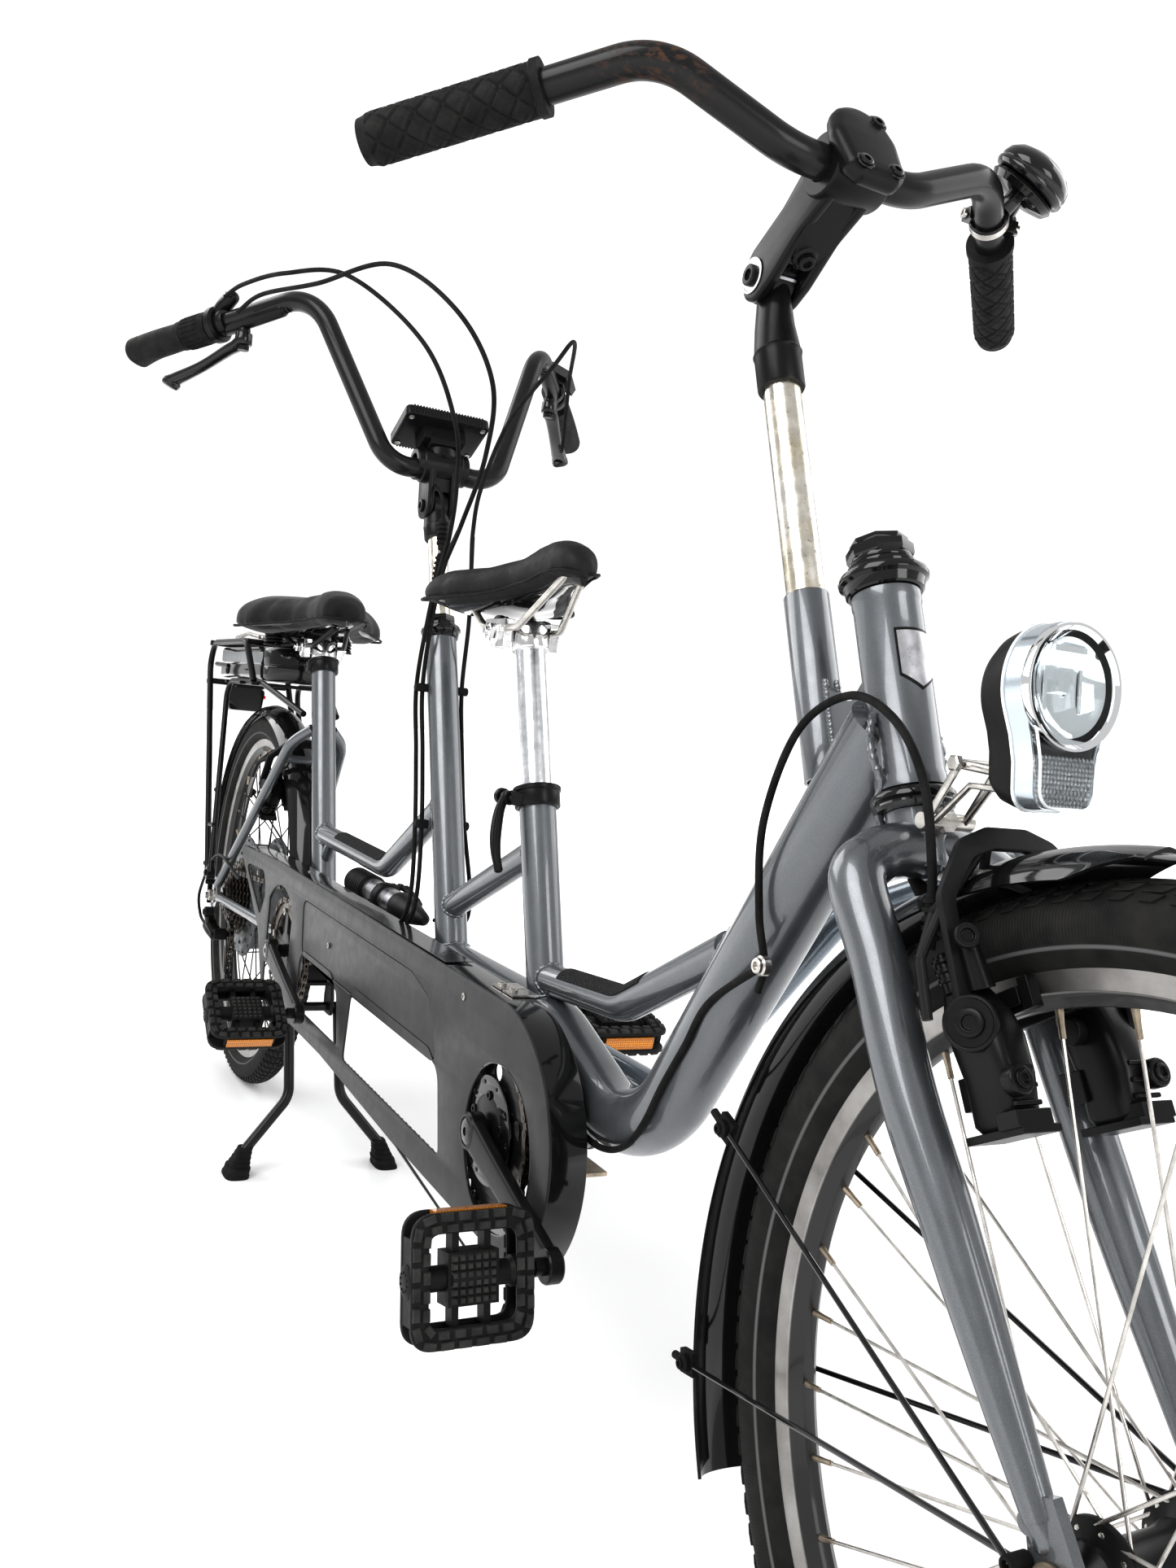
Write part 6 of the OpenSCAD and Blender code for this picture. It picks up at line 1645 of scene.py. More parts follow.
def build_headlight():
    ahead = vec(math.cos(math.radians(5)), 0, math.sin(math.radians(5)))
    above = vec(-ahead.z, 0, ahead.x)

    def at(depth, x, y):
        return LIGHT + ahead * (depth * 0.9) + Y * (x * 0.86) + above * (y * 0.95)

    def loft(s, levels):
        s.grid([[at(depth, x * k, (y - 4) * k + 4) for x, y in light_outline(g)] for depth, k, g in levels])
    s = Shape()
    loft(s, [(-7, 0.5, 0), (-6, 0.66, 0), (-2, 0.82, 0), (5, 0.92, 0), (14, 0.975, 0), (19, 1.0, 0), (20, 1.0, 0)])
    s.make("headlight_shell", MATTE_BLACK, "front_fork", "headlight", slot="black_plastic")
    band_grey = Finish("lamp_band", (0.55, 0.6, 0.64), rough=0.16, metal=0.75, coat=1.0)
    band_grey.rough_noise(0.12, 0.24, 40)
    outline_out, outline_in = light_outline(-0.4), light_outline(-2.8)
    b = Shape()
    rings = []
    for a, c in ((outline_out, 20.2), (outline_out, 34.5), (outline_in, 35), (outline_in, 20.2)):
        rings.append([at(c, x, y) for x, y in a])
    n = len(outline_out)
    b.add([p for ring in rings for p in ring],
          [[i * n + k, i * n + (k + 1) % n, ((i + 1) % 4) * n + (k + 1) % n, ((i + 1) % 4) * n + k] for i in range(4) for k in range(n)])
    b.make("headlight_band", band_grey.mat, "front_fork", slot="chrome")
    r = Shape()
    inner = [(0.01, 24.5), (5, 24.5), (5, 25.4), (13, 26), (20.5, 28.4), (27, 32.6), (30.6, 37)]
    origin = at(0, 0, 16)
    r.lathe(origin, ahead, [(0.05, 22), (14, 22), (28, 27), (32, 33), (32, 37)] + [(rr, h) for rr, h in reversed(inner)], 72)
    r.box(at(31, 0, 36), (8, 22, 3), Matrix((ahead, Y, above)).transposed())
    r.box(at(29, 0, 20), (6, 10, 12), Matrix((ahead, Y, above)).transposed())
    for x in (-14, 14):
        r.box(at(30, x, 15), (1, 2, 22), Matrix((ahead, Y, above)).transposed())
    r.make("headlight_bowl", MIRROR, "front_fork", slot="chrome")
    p = Shape()
    panel = [(-24, -21), (-19, -47), (19, -47), (24, -21)]
    p.grid([[at(d, x, y) for x, y in soft(panel, 5, 4)] for d in (32, 35.5)])
    for i in range(13):
        for j in range(9):
            x, y = -19.5 + 3.3 * i + (1.65 if j % 2 else 0), -44.5 + 2.85 * j
            if abs(x) > 18 + (y + 47) * 0.2 - 1.6:
                continue
            base = [at(35.4, x + 1.75 * math.cos(q), y + 1.75 * math.sin(q)) for q in [k * math.tau / 6 for k in range(6)]]
            tip = [at(36.9, x + 0.3 * math.cos(q), y + 0.3 * math.sin(q)) for q in [k * math.tau / 6 for k in range(6)]]
            p.grid([base, tip])
    p.make("headlight_prisms", PRISM, "front_fork", slot="lens")
    k = Shape()
    k.grid([[at(d, x, y) for x, y in light_outline(g)] for d, g in ((35, -1.0), (38.4, -1.6))])
    k.make("headlight_window", LENS, "front_fork", "headlight_lens", slot="lens")
    # White beads on the band's rear seam and the lens lip, and an arc across the lower lens over the bowl's rim:
    # painted highlights.
    h = Shape()
    for d, grow in ((20.2, 0.1), (38.6, -1.4)):
        path = [at(d, x, y) for x, y in light_outline(grow)]
        h.sweep(path, 0.8, 8, closed=True)
    h.sweep([at(38.4, x, y) for x, y in arc(0, 16, 31.6, 222, 318, 20)], 0.5, 8)
    h.make("headlight_edge_glints", Finish("lamp_edge_glint", (0.9, 0.92, 0.93), rough=0.08, metal=0.3, coat=1.0).mat, "front_fork", slot="lens")
    m = Shape()
    for y in (-14, 14):
        path = [LIGHT + vec(2, y, -27), LIGHT + vec(-24, y, -25), LIGHT + vec(-27, y, -31), CROWN + vec(16, y, 22)]
        m.sweep(rounded(path, 8, 5), 2.6, 12, oval=0.6)
        m.sweep([LIGHT + vec(2, y * 0.55, -36), LIGHT + vec(-20, y * 0.55, -36), CROWN + vec(17, y * 0.8, 20)], 2.0, 10)
    m.tube(LIGHT + vec(-22, -19, -25), LIGHT + vec(-22, 19, -25), 2.6)
    for y in (-1, 1):
        m.disc(LIGHT + vec(-22, y * 16.5, -25), y * Y, [(0, 0), (4.6, 0), (4.6, 3.4), (3.6, 4.2), (0, 4.2)], 6)
    m.tube(CROWN + vec(16, -18, 22), CROWN + vec(16, 18, 22), 4.6)
    m.disc(CROWN + vec(12, 0, 22), X, [(0, 0), (8, 0), (8, 5), (6, 8), (0, 8)], 6)
    m.make("headlight_bracket", STEEL, "front_fork", slot="steel")


# Brakes ---------------------------------------------------------------------

def brake_arch(name, origin, leg, body):
    """Truss arch that ties both brake bodies together. leg is the direction of its height."""
    plane = looking(origin, Y.cross(leg), Y)
    outer = soft([(-54, -4), (-54, 60), (-33, 90), (-14, 97), (14, 97), (33, 90), (54, 60), (54, -4), (44, -4), (44, 58), (27, 80), (11, 85),
                  (-11, 85), (-27, 80), (-44, 58), (-44, -4)], [4, 14, 14, 12, 12, 14, 14, 4, 4, 12, 12, 10, 10, 12, 12, 4], 5)
    plate(name, [outer], plane, 4.5, MATTE_BLACK, body, bevel=0.8, slot="black_metal")
    s = Shape()

    def at(x, y, z=0.0):
        return plane @ vec(x, y, z)
    inner = [(-62, 10), (-60, 40), (-46, 64), (-28, 76), (-9, 81), (9, 81), (28, 76), (46, 64), (60, 40), (62, 10)]
    second = [at(x, y - 9, -13) for x, y in inner]
    s.sweep(rounded(second, 16, 5), 3.0, 10, oval=0.8)
    rim_line = [(-49, -2), (-49, 58), (-30, 84), (-12, 91), (12, 91), (30, 84), (49, 58), (49, -2)]
    for k in range(7):
        x, y = inner[k + 1]
        ox, oy = rim_line[k + (0 if k % 2 else 1)] if k + 1 < len(rim_line) else rim_line[-1]
        s.tube(at(ox, oy, 0), at(x, y - 9, -13), 2.6, 10)
    s.make(name + "_struts", MATTE_BLACK, body, slot="black_metal")


def brake_body(s, centre, lean, side, hose_up):
    """One hydraulic cylinder with its pad holder and bolts; lean turns it about the axle direction."""
    turn = Matrix.Rotation(math.radians(lean), 3, "Y")
    ax, az = turn @ X, turn @ Z
    basis = Matrix((ax, Y, az)).transposed()

    def at(x, y, z):
        return centre + ax * x + Y * (side * y) + az * z
    round_box = [(math.copysign(abs(math.cos(q)) ** 0.5, math.cos(q)), math.copysign(abs(math.sin(q)) ** 0.5, math.sin(q)))
                 for q in [k * math.tau / 32 + 0.01 for k in range(32)]]
    rings = []
    for z, w, d, shift in ((-44, 12, 8, 6), (-40, 15, 10, 6), (-20, 16, 11, 8), (-2, 17, 12, 6), (10, 16, 11.5, 3), (22, 11, 9, 0), (30, 7.5, 7, -2)):
        rings.append([at(shift + x * w, y * d, z) for x, y in round_box])
    s.grid(rings)
    s.disc(at(10, 11, 6), side * Y + ax * 0.5, [(0, 0), (13.4, 0), (13.8, 1.4), (13.8, 4), (12.4, 5), (11.4, 4.2), (0, 4.2)], 40)
    s.bolt(at(12, 14.4, 6), side * Y + ax * 0.5, 7.2, 2.4)
    s.box(at(8, 0, -46), (38, 24, 4), basis)
    s.box(at(20, 3, -41), (14, 22, 8), basis)
    s.box(at(-8, -4, -24), (14, 18, 16), basis)
    for z in (-34, -26, -18):
        s.box(at(23.4, 2, z), (3, 16, 2.4), basis)
    s.disc(at(22, 8, -24), ax, [(0, 0), (7, 0), (7.4, 1), (7.4, 7), (6.4, 8), (0, 8)], 28)
    s.bolt(at(29, 8, -24), ax, 4.6, 2.4)
    s.sweep([at(4, -12, 2), at(4, -19, 2)], 7, 24)
    s.tube(at(12, 2, 22), at(14, 6, 44), 7, 20, 5)
    s.bolt(at(20, 12, 46), ax + Y * side * 0.5, 6.4, 3.6)
    if hose_up:
        for dx in (-3, 7):
            s.tube(at(dx, 5, 24), at(dx - 2, 7, 44), 5.2, 16, 4.2)
            for k in range(3):
                s.disc(at(dx - 0.4 - 0.5 * k, 5.6 + 0.5 * k, 29 + 5 * k), az, [(0, 0), (6, 0), (6, 2.4), (0, 2.4)], 18)


def build_brakes():
    s = Shape()
    for side in (-1, 1):
        brake_body(s, FRONT_HUB + vec(-96, side * 38, 208), -28, side, side < 0)
        pad = FRONT_HUB + vec(-107, side * 17, 222)
        turn = Matrix.Rotation(math.radians(60), 3, "Y")
        s.box(pad + turn @ X * 2, (11, 5.4, 52), turn)
        s.box(pad + Y * side * 3.4, (9, 4, 40), turn)
        s.box(pad + turn @ vec(0, 1.5 * side, 24), (16, 7, 7), turn)
    s.make("front_brake_bodies", SATIN_BLACK, "front_fork", "front_brake", bevel=0.8, slot="black_metal")
    brake_arch("front_brake_arch", FRONT_HUB + vec(-94, 0, 220), vec(-0.41, 0, 0.912).normalized(), "front_fork")
    r = Shape()
    for side in (-1, 1):
        brake_body(r, REAR_HUB + vec(166, side * 34, 196), 40, side, False)
        pad = REAR_HUB + vec(171, side * 17, 184)
        turn = Matrix.Rotation(math.radians(-47), 3, "Y")
        r.box(pad, (13, 5.4, 54), turn)
        r.box(pad + Y * side * 3.4, (9, 4, 40), turn)
    r.make("rear_brake_bodies", SATIN_BLACK, "frame", "rear_brake", bevel=0.8, slot="black_metal")
    brake_arch("rear_brake_arch", REAR_HUB + vec(156, 0, 198), vec(0.669, 0, 0.743).normalized(), "frame")


# Fenders ----------------------------------------------------------------------

def fender(name, centre, radius, start, end, body, node, nose_cut):
    """Arched shell with thickened edges; nose_cut slants the sides back at the leading end."""
    outer, half, thick = [], 29, 1.8
    steps = 110
    rings = []
    for i in range(steps + 1):
        t = i / steps
        a = math.radians(start + (end - start) * t)
        out = X * math.cos(a) + Z * math.sin(a)
        span = 68
        ahead_deg = (end - start) * t
        if nose_cut:
            span = min(68, 34 + max(0.0, ahead_deg - 1.0) * 6.2)
        shell_out, shell_in = [], []
        for k in range(27):
            q = math.radians(-span + 2 * span * k / 26)
            edge = 1 + (0.018 if k in (0, 26) else 0)
            r_out = radius - half + half * math.cos(q) * 0.9 + 3
            r_in = radius - half + (half - thick) * math.cos(q) * 0.9 + 3
            ridge = 1.1 * max(0.0, 1 - abs(math.degrees(q)) / 16)
            shell_out.append(centre + out * (r_out + ridge) + Y * half * math.sin(q) * edge)
            shell_in.append(centre + out * r_in + Y * (half - thick) * math.sin(q))
        rings.append(shell_out + shell_in[::-1])
    s = Shape()
    s.grid(rings)
    s.make(name, GLOSS_BLACK, body, node, slot="gloss_plastic", sharp=50)
    assert outer == []


def stay_with_clip(s, p, side, end, rim_dir):
    """Thin rod from its fender clip to the axle eyelet, with the spare end left proud of the clip."""
    s.use(0).sweep([p - rim_dir * -14 + Y * side * 2.2, p + Y * side * 3.4, end], 1.65, 10)
    s.use(1).tube(p + rim_dir * 6 + Y * side * 2.6, p + rim_dir * 17 + Y * side * 1.9, 2.7, 12)
    s.box(p + Y * side * 1.6, (15, 4.4, 15), Matrix.Rotation(math.atan2(rim_dir.x, rim_dir.z), 3, "Y"))
    s.disc(p + Y * side * 3, side * Y, [(0, 0), (5.2, 0), (5.6, 1), (5.6, 4), (4.2, 5.4), (0, 5.4)], 20)
    s.bolt(p + Y * side * 8, side * Y, 3.4, 2)


def build_fenders():
    centre, radius = FRONT_HUB + vec(-16, 0, -14), 326
    fender("front_fender_shell", centre, radius, 93, 203, "front_fork", "front_fender", True)
    fender("rear_fender_shell", REAR_HUB, 314, 12, 192, "frame", "rear_fender", False)
    s = Shape()
    for side in (-1, 1):
        for degrees in (160, 190):
            a = math.radians(degrees)
            out = X * math.cos(a) + Z * math.sin(a)
            p = centre + out * (radius - 14) + Y * side * 27.5
            stay_with_clip(s, p, side, FRONT_HUB + vec(-15, side * (60.5 if degrees > 170 else 66), 4), out)
        s.use(1).bolt(FRONT_HUB + vec(-15, side * 56.5, 4), side * Y, 4.2, 12.4)
    s.use(1).tube(CROWN - 26 * UP, CROWN - 8 * UP + vec(-10, 0, 0), 4.4)
    s.make("front_fender_stays", [STEEL if False else GLOSS_BLACK, RUBBER], "front_fork", slot="black_metal")
    r = Shape()
    for side in (-1, 1):
        for degrees in (150, 178):
            a = math.radians(degrees)
            out = X * math.cos(a) + Z * math.sin(a)
            p = REAR_HUB + out * 300 + Y * side * 27.5
            stay_with_clip(r, p, side, REAR_HUB + vec(-12, side * (78 if degrees > 165 else 84), 20), out)
        r.use(1).bolt(REAR_HUB + vec(-12, side * 74.5, 20), side * Y, 4.2, 12)
    r.make("rear_fender_stays", [GLOSS_BLACK, RUBBER], "frame", slot="black_metal")


# Rack -------------------------------------------------------------------------

RACK_Z, SHELF_Z = 712, 648


def build_rack():
    s = Shape()
    for side in (-1, 1):
        top = [REAR_HUB + vec(-16, side * 84, 34), vec(REAR_HUB.x - 262, side * 66, RACK_Z), vec(REAR_HUB.x + 40, side * 66, RACK_Z),
               vec(REAR_HUB.x + 86, side * 60, SHELF_Z + 2)]
        s.sweep(resample(rounded(top, 34, 10), 25), 5, 20)
        lower = [REAR_HUB + vec(8, side * 84, 38), vec(REAR_HUB.x - 120, side * 58, SHELF_Z), vec(REAR_HUB.x + 110, side * 50, SHELF_Z),
                 REAR_HUB + vec(266, side * 24, 310)]
        s.sweep(resample(rounded(lower, 24, 10), 25), 4.5, 20)
        s.disc(REAR_HUB + vec(-4, side * 77, 36), side * Y, [(0, 0), (10, 0), (11, 1), (11, 11), (10, 12), (0, 12)], 28)
        s.bolt(REAR_HUB + vec(-4, side * 89, 36), side * Y, 5, 3)
        s.tube(REAR_HUB + vec(-44, side * 82, 110), REAR_HUB + vec(-18, side * 80, 112), 3.6, 14)
        s.tube(REAR_HUB + vec(-140, side * 75, 374), REAR_HUB + vec(-66, side * 70, 372), 3.6, 14)
    for x in (-222, -110, 0, 86):
        s.box(vec(REAR_HUB.x + x + 4.5, 0, SHELF_Z - 1), (10, 130, 5))
    s.tube(vec(REAR_HUB.x - 262, -66, RACK_Z), vec(REAR_HUB.x - 262, 66, RACK_Z), 4.8, 18)
    s.tube(vec(REAR_HUB.x + 40, -66, RACK_Z), vec(REAR_HUB.x + 40, 66, RACK_Z), 4.8, 18)
    s.tube(vec(REAR_HUB.x - 244, -70, SHELF_Z - 4), vec(REAR_HUB.x - 244, 70, SHELF_Z - 4), 4.4, 18)
    s.box(vec(REAR_HUB.x - 227, 0, SHELF_Z - 6), (26, 48, 8))
    s.make("rack_tubes", SATIN_BLACK, "frame", "rack", bevel=0.6, slot="black_metal")
    t = Shape()
    outline = soft([(-30, -23), (30, -23), (34, 16), (20, 24), (-20, 24), (-34, 16)], 8, 5)
    t.grid([[vec(REAR_HUB.x - 250 + d, x * k, SHELF_Z - 29 + y * k) for x, y in outline] for d, k in ((-14, 0.86), (-11, 0.97), (6, 1.0), (12, 0.94))])
    t.make("tail_light_shell", GLOSS_BLACK, "frame", slot="gloss_plastic")
    r = Shape()
    r.grid([[vec(REAR_HUB.x - 250 + d, x * k, SHELF_Z - 29 + y * k) for x, y in outline] for d, k in ((-17.4, 0.72), (-16.6, 0.8), (-13, 0.84))])
    for side in (-1, 1):
        r.ball(vec(REAR_HUB.x - 240, side * 33, SHELF_Z - 24), 3.4, (1, 0.6, 1))
    r.make("tail_light_lens", RED, "frame", slot="lens")
    c = Shape()
    spring = []
    for k in range(70):
        a = k * math.tau / 9
        spring.append(vec(REAR_HUB.x + 46 + 7 * math.cos(a), -30 + 0.9 * k, RACK_Z + 9 + 7 * math.sin(a)))
    c.sweep(spring, 1.5, 8)
    clip = [vec(REAR_HUB.x + 52, -44, RACK_Z + 8), vec(REAR_HUB.x - 60, -44, RACK_Z + 16), vec(REAR_HUB.x - 190, -36, RACK_Z + 12),
            vec(REAR_HUB.x - 214, -10, RACK_Z + 11), vec(REAR_HUB.x - 214, 10, RACK_Z + 11), vec(REAR_HUB.x - 190, 36, RACK_Z + 12),
            vec(REAR_HUB.x - 60, 44, RACK_Z + 16), vec(REAR_HUB.x + 52, 44, RACK_Z + 8)]
    c.sweep(rounded(clip, 18, 6), 3.2, 14, dome=True)
    c.tube(vec(REAR_HUB.x + 46, -50, RACK_Z + 9), vec(REAR_HUB.x + 46, 50, RACK_Z + 9), 3.4, 16)
    c.make("rack_spring_clip", STEEL, "frame", slot="steel")


def build_battery():
    x0, x1, z0 = REAR_HUB.x - 225, REAR_HUB.x + 105, SHELF_Z + 5
    outline = soft([(x0, -52), (x0, 52), (x1, 52)], [12, 12, 0], 6)
    outline = soft([(x0, 52), (x0, -52)], 12, 1)[:0] + [(x0 + 8, -52), (x1, -52)] + arc(x1, 0, 52, -90, 90, 28)[1:-1] + [(x1, 52), (x0 + 8, 52)]
    outline += arc(x0 + 8, 44, 8, 90, 180, 5)[1:] + arc(x0 + 8, -44, 8, 180, 270, 5)[:-1]
    s = Shape()
    levels = [(0, 0.965), (2, 0.985), (5, 1.0), (22, 1.0), (23, 0.99), (25, 0.99), (26, 1.0), (46, 1.0), (50, 0.975), (52, 0.94)]
    cx = (x0 + x1 + 52) / 2
    s.grid([[vec(cx + (x - cx) * (0.5 + 0.5 * k if k < 1 else 1), y * k, z0 + h) for x, y in outline] for h, k in levels])
    s.make("battery_shell", GLOSS_BLACK, "battery_pack", "battery", slot="gloss_plastic")
    g = Shape()
    for side in (-1, 1):
        panel = soft([(x0 + 18, z0 + 27), (x1 - 10, z0 + 27), (x1 - 4, z0 + 44), (x0 + 18, z0 + 44)], 6, 5)
        rings = [[vec(x, side * (51.6 + h), z) for x, z in panel] for h in (-1.0, 0.9)]
        g.grid(rings)
    grey = Finish("battery_grey", (0.3, 0.31, 0.32), rough=0.35, metal=0.2)
    grey.rough_noise(0.3, 0.42, 90)
    g.make("battery_side_panels", grey.mat, "battery_pack", bevel=0.4, slot="gloss_plastic")
    h = Shape()
    h.sweep(rounded([vec(x0 + 4, -26, z0 + 26), vec(x0 - 3, -26, z0 + 26), vec(x0 - 3, 26, z0 + 26), vec(x0 + 4, 26, z0 + 26)], 4, 4), 3.4, 14)
    h.disc(vec(x0 + 60, -51.5, z0 + 14), -Y, [(0, 0), (8, 0), (8, 1.6), (5, 1.7), (5, 0.8), (0, 0.8)], 28)
    h.make("battery_handle", MATTE_BLACK, "battery_pack", slot="black_plastic")


# Stand and canister ---------------------------------------------------------

def build_stand():
    pivot = joint_at("stand_fold")
    s = Shape()
    s.tube(pivot - 42 * Y, pivot + 42 * Y, 6.2, 24)
    foot = middle("stand_feet")
    reach = high("stand_feet").y - 17 - 2
    for side in (-1, 1):
        tip = vec(foot.x, side * reach, 22)
        path = [pivot + vec(0, side * 34, 6), pivot + vec(46, side * 35, -112), tip]
        s.sweep(resample(rounded(path, 36, 10), 20), 6.9, 24)
        s.disc(pivot + side * 42 * Y, side * Y, [(0, 0), (10, 0), (10, 2.4), (8, 3.4), (0, 3.4)], 24)
    s.make("stand_leg_tubes", BAR_BLACK, "stand", "stand_legs", slot="black_paint")
    f = Shape()
    for side in (-1, 1):
        base = vec(foot.x, side * (reach + 2), 0)
        levels = [(0, 24, 16), (3, 24, 16), (4, 22.4, 15), (12, 22, 14.6), (12.6, 18, 13), (18, 17.4, 12.6), (18.6, 15, 11.8), (24, 14.4, 11.4),
                  (24.6, 12.6, 10.8), (30, 12, 10.4), (30.6, 10.6, 9.8), (36, 10, 9.4)]
        rings = []
        for h, w, d in levels:
            lean = vec(-2.2, -side * 11, 0) * (h / 36) ** 1.2
            rings.append([base + lean + vec(w * math.copysign(abs(math.cos(q)) ** 0.6, math.cos(q)), d * math.copysign(abs(math.sin(q)) ** 0.6, math.sin(q)), h)
                          for q in [k * math.tau / 32 + 0.01 for k in range(32)]])
        f.grid(rings)
    f.make("stand_rubber_feet", RUBBER, "stand", "stand_feet", slot="rubber")
    b = Shape()
    for side in (-1, 1):
        b.slab(soft([(-16, -10), (16, -10), (18, 14), (10, 38), (-14, 38), (-18, 14)], 5, 4), looking(pivot + vec(0, side * 21.5 + 2.5, 0), -Y, X), 5)
        b.disc(pivot + side * 24.5 * Y, side * Y, [(0, 0), (9, 0), (9, 2), (7, 3), (0, 3)], 6)
    b.box(pivot + vec(0, 0, 35), (30, 42, 5))
    b.box(pivot + vec(-2, 0, 57), (20, 30, 40))
    b.bolt(pivot + vec(-2, 0, 36), -Z, 6, 6)
    b.make("stand_mount", SATIN_BLACK, "frame", "stand_bracket", bevel=1.0, slot="black_metal")
    k = Shape()
    outline = soft([(-24, -16), (24, -16), (24, 14), (10, 20), (-24, 20)], 5, 4)
    k.slab(outline, looking(REAR_BB + vec(58, 30, -30), -Y, X), 22)
    k.sweep(flowing([REAR_BB + vec(80, 18, -24), REAR_BB + vec(120, 10, -10), REAR_BB + vec(170, 8, 40)], 8), 2.6, 10)
    k.make("crank_sensor_box", MATTE_BLACK, "frame", bevel=2.0, slot="black_plastic")


def build_canister():
    nose = FRONT_HUB + vec(-983, 6, 102)
    cap = nose - vec(262, 0, -3)
    d = (nose - cap).normalized()
    s = Shape()
    ribs = [(0, 0), (13, 0), (17, 2)]
    for k in range(9):
        ribs += [(18.4, 4 + 7 * k), (18.4, 7.4 + 7 * k), (17.2, 8 + 7 * k), (17.2, 10.4 + 7 * k)]
    ribs += [(18.5, 68), (15.2, 70), (0, 70)]
    s.disc(cap, d, ribs, 48)
    s.disc(cap + d * 113, d, [(0, 0), (17.2, 0), (18, 1.4), (18, 17), (17.2, 18.4), (0, 18.4)], 48)
    s.disc(cap + d * 176, d, [(0, 0), (16.6, 0), (17, 2), (17, 14), (15.6, 26), (12.6, 48), (9.4, 68), (7, 82), (4, 86), (0, 86)], 48)
    s.box(cap + d * 123 + vec(0, -6, -24), (14, 16, 32))
    s.bolt(cap + d * 122 + vec(0, -20, -6), -Y, 4, 4)
    s.use(1)
    s.disc(cap + d * 69, d, [(0, 0), (14.6, 0), (14.9, 1), (14.9, 45), (0, 45)], 48)
    s.disc(cap + d * 130, d, [(0, 0), (14.6, 0), (14.9, 1), (14.9, 46), (0, 46)], 48)
    s.make("canister_body", [MATTE_BLACK, ALLOY], "frame", "tool_canister", slot="gloss_plastic")


build_headlight()
build_brakes()
build_fenders()
build_rack()
build_battery()
build_stand()
build_canister()


# Seats ------------------------------------------------------------------------

FRONT_POST_TOP = FRONT_BB + SEAT_UP * 452
REAR_POST_TOP = REAR_BB + SEAT_UP * 440
COLLAR_FRONT = FRONT_BB + SEAT_UP * 298.05
COLLAR_REAR = REAR_BB + SEAT_UP * 418.05


def build_collars():
    s = Shape()
    for p in (COLLAR_FRONT, COLLAR_REAR):
        ring = [(SEAT_R + 0.2, -16), (SEAT_R + 3.4, -16), (SEAT_R + 4, -15), (SEAT_R + 4, -2), (SEAT_R + 5.2, -1), (SEAT_R + 5.4, 2),
                (SEAT_R + 4.6, 3.2), (14, 3.2), (14, 0)]
        s.lathe(p, SEAT_UP, ring, 72)
        s.box(p - SEAT_UP * 8 + X * -1 + Y * -20, (16, 8, 13))
    axis = COLLAR_FRONT - SEAT_UP * 8 + vec(-2, -28, 0)
    s.tube(axis - X * 11, axis + X * 11, 3)
    for x in (-11, 7):
        s.box(axis + vec(x + 2, 5, 0), (4.4, 13, 11))
    s.disc(axis - X * 11, -X, [(0, 0), (7, 0), (7.6, 1), (7.6, 6), (6, 8), (0, 8)], 28)
    s.bolt(COLLAR_REAR - SEAT_UP * 8 + vec(-9, -21, 0), -X, 4, 3)
    s.make("seat_clamp_rings", SATIN_BLACK, "frame", "seat_collars", bevel=0.8, slot="black_metal")
    k = Shape()
    k.disc(axis - X * 4.6, X, [(0, 0), (6, 0), (6.6, 0.8), (6.6, 8.4), (6, 9.2), (0, 9.2)], 28)
    path = flowing([axis + vec(0, -3, 2), axis + vec(3, -9, -12), axis + vec(9, -13, -32), axis + vec(15, -14, -48), axis + vec(21, -12, -64)], 8)
    k.sweep(path, lambda t: 4.4 + 1.9 * math.sin(math.pi * min(1, t * 1.1)) + 0.8 * t, 18, oval=0.62, dome=True)
    k.make("seat_lever_arm", SATIN_BLACK, "seat_lever", "quick_release_lever", slot="black_metal")


def seat_hardware(name, body, node, foot, top, material, rail_material, rails):
    """Seat post with its head clamp, serrated side plates, cross bolt and the two saddle rails."""
    s = Shape()
    s.tube(foot, top - SEAT_UP * 1, 13.6, 48)
    s.make(name + "_tube", material, body, slot="alloy")
    c = Shape()
    c.disc(top - SEAT_UP * 18, SEAT_UP, [(13.6, 0), (16.4, 0), (17.4, 2), (17.4, 20), (16, 24), (13, 27), (0, 28)], 48)
    barrel = top + vec(-20, 0, 0)
    c.tube(barrel - Y * 20, barrel + Y * 20, 9, 28)
    c.box(top + vec(-12, 0, 0), (16, 26, 18))
    for side in (-1, 1):
        teeth = []
        for k in range(72):
            r = 14.6 if k % 2 else 15.6
            a = k * math.tau / 72
            teeth.append(barrel + X * r * math.cos(a) + Z * r * math.sin(a))
        c.grid([[p + Y * side * h for p in teeth] for h in (17, 20.5)])
        c.disc(barrel + Y * side * 20.5, Y * side, [(0, 0), (15, 0), (16, 1.6), (15.6, 6), (12, 8.4), (0, 8.4)], 40)
        c.disc(barrel + Y * side * 28.5, Y * side, [(0, 0), (8.2, 0), (8.2, 6.4), (6.6, 7.4), (0, 7.4)], 6)
        c.tube(barrel + Y * side * 35, barrel + Y * side * 39, 3.6, 16)
        c.box(vec(barrel.x + 2, side * 24, top.z + 8), (46, 11, 8))
        c.box(vec(barrel.x + 14, side * 24, top.z - 4), (18, 9, 22))
    c.make(name + "_clamp", CHROME, body, bevel=0.6, slot="steel")
    r = Shape()
    for side in (-1, 1):
        r.sweep(rounded([p + Y * side * w for p, w in rails], 16, 6), 3.5, 16, dome=True)
    r.make(name + "_rails", rail_material, body, node, slot="steel")


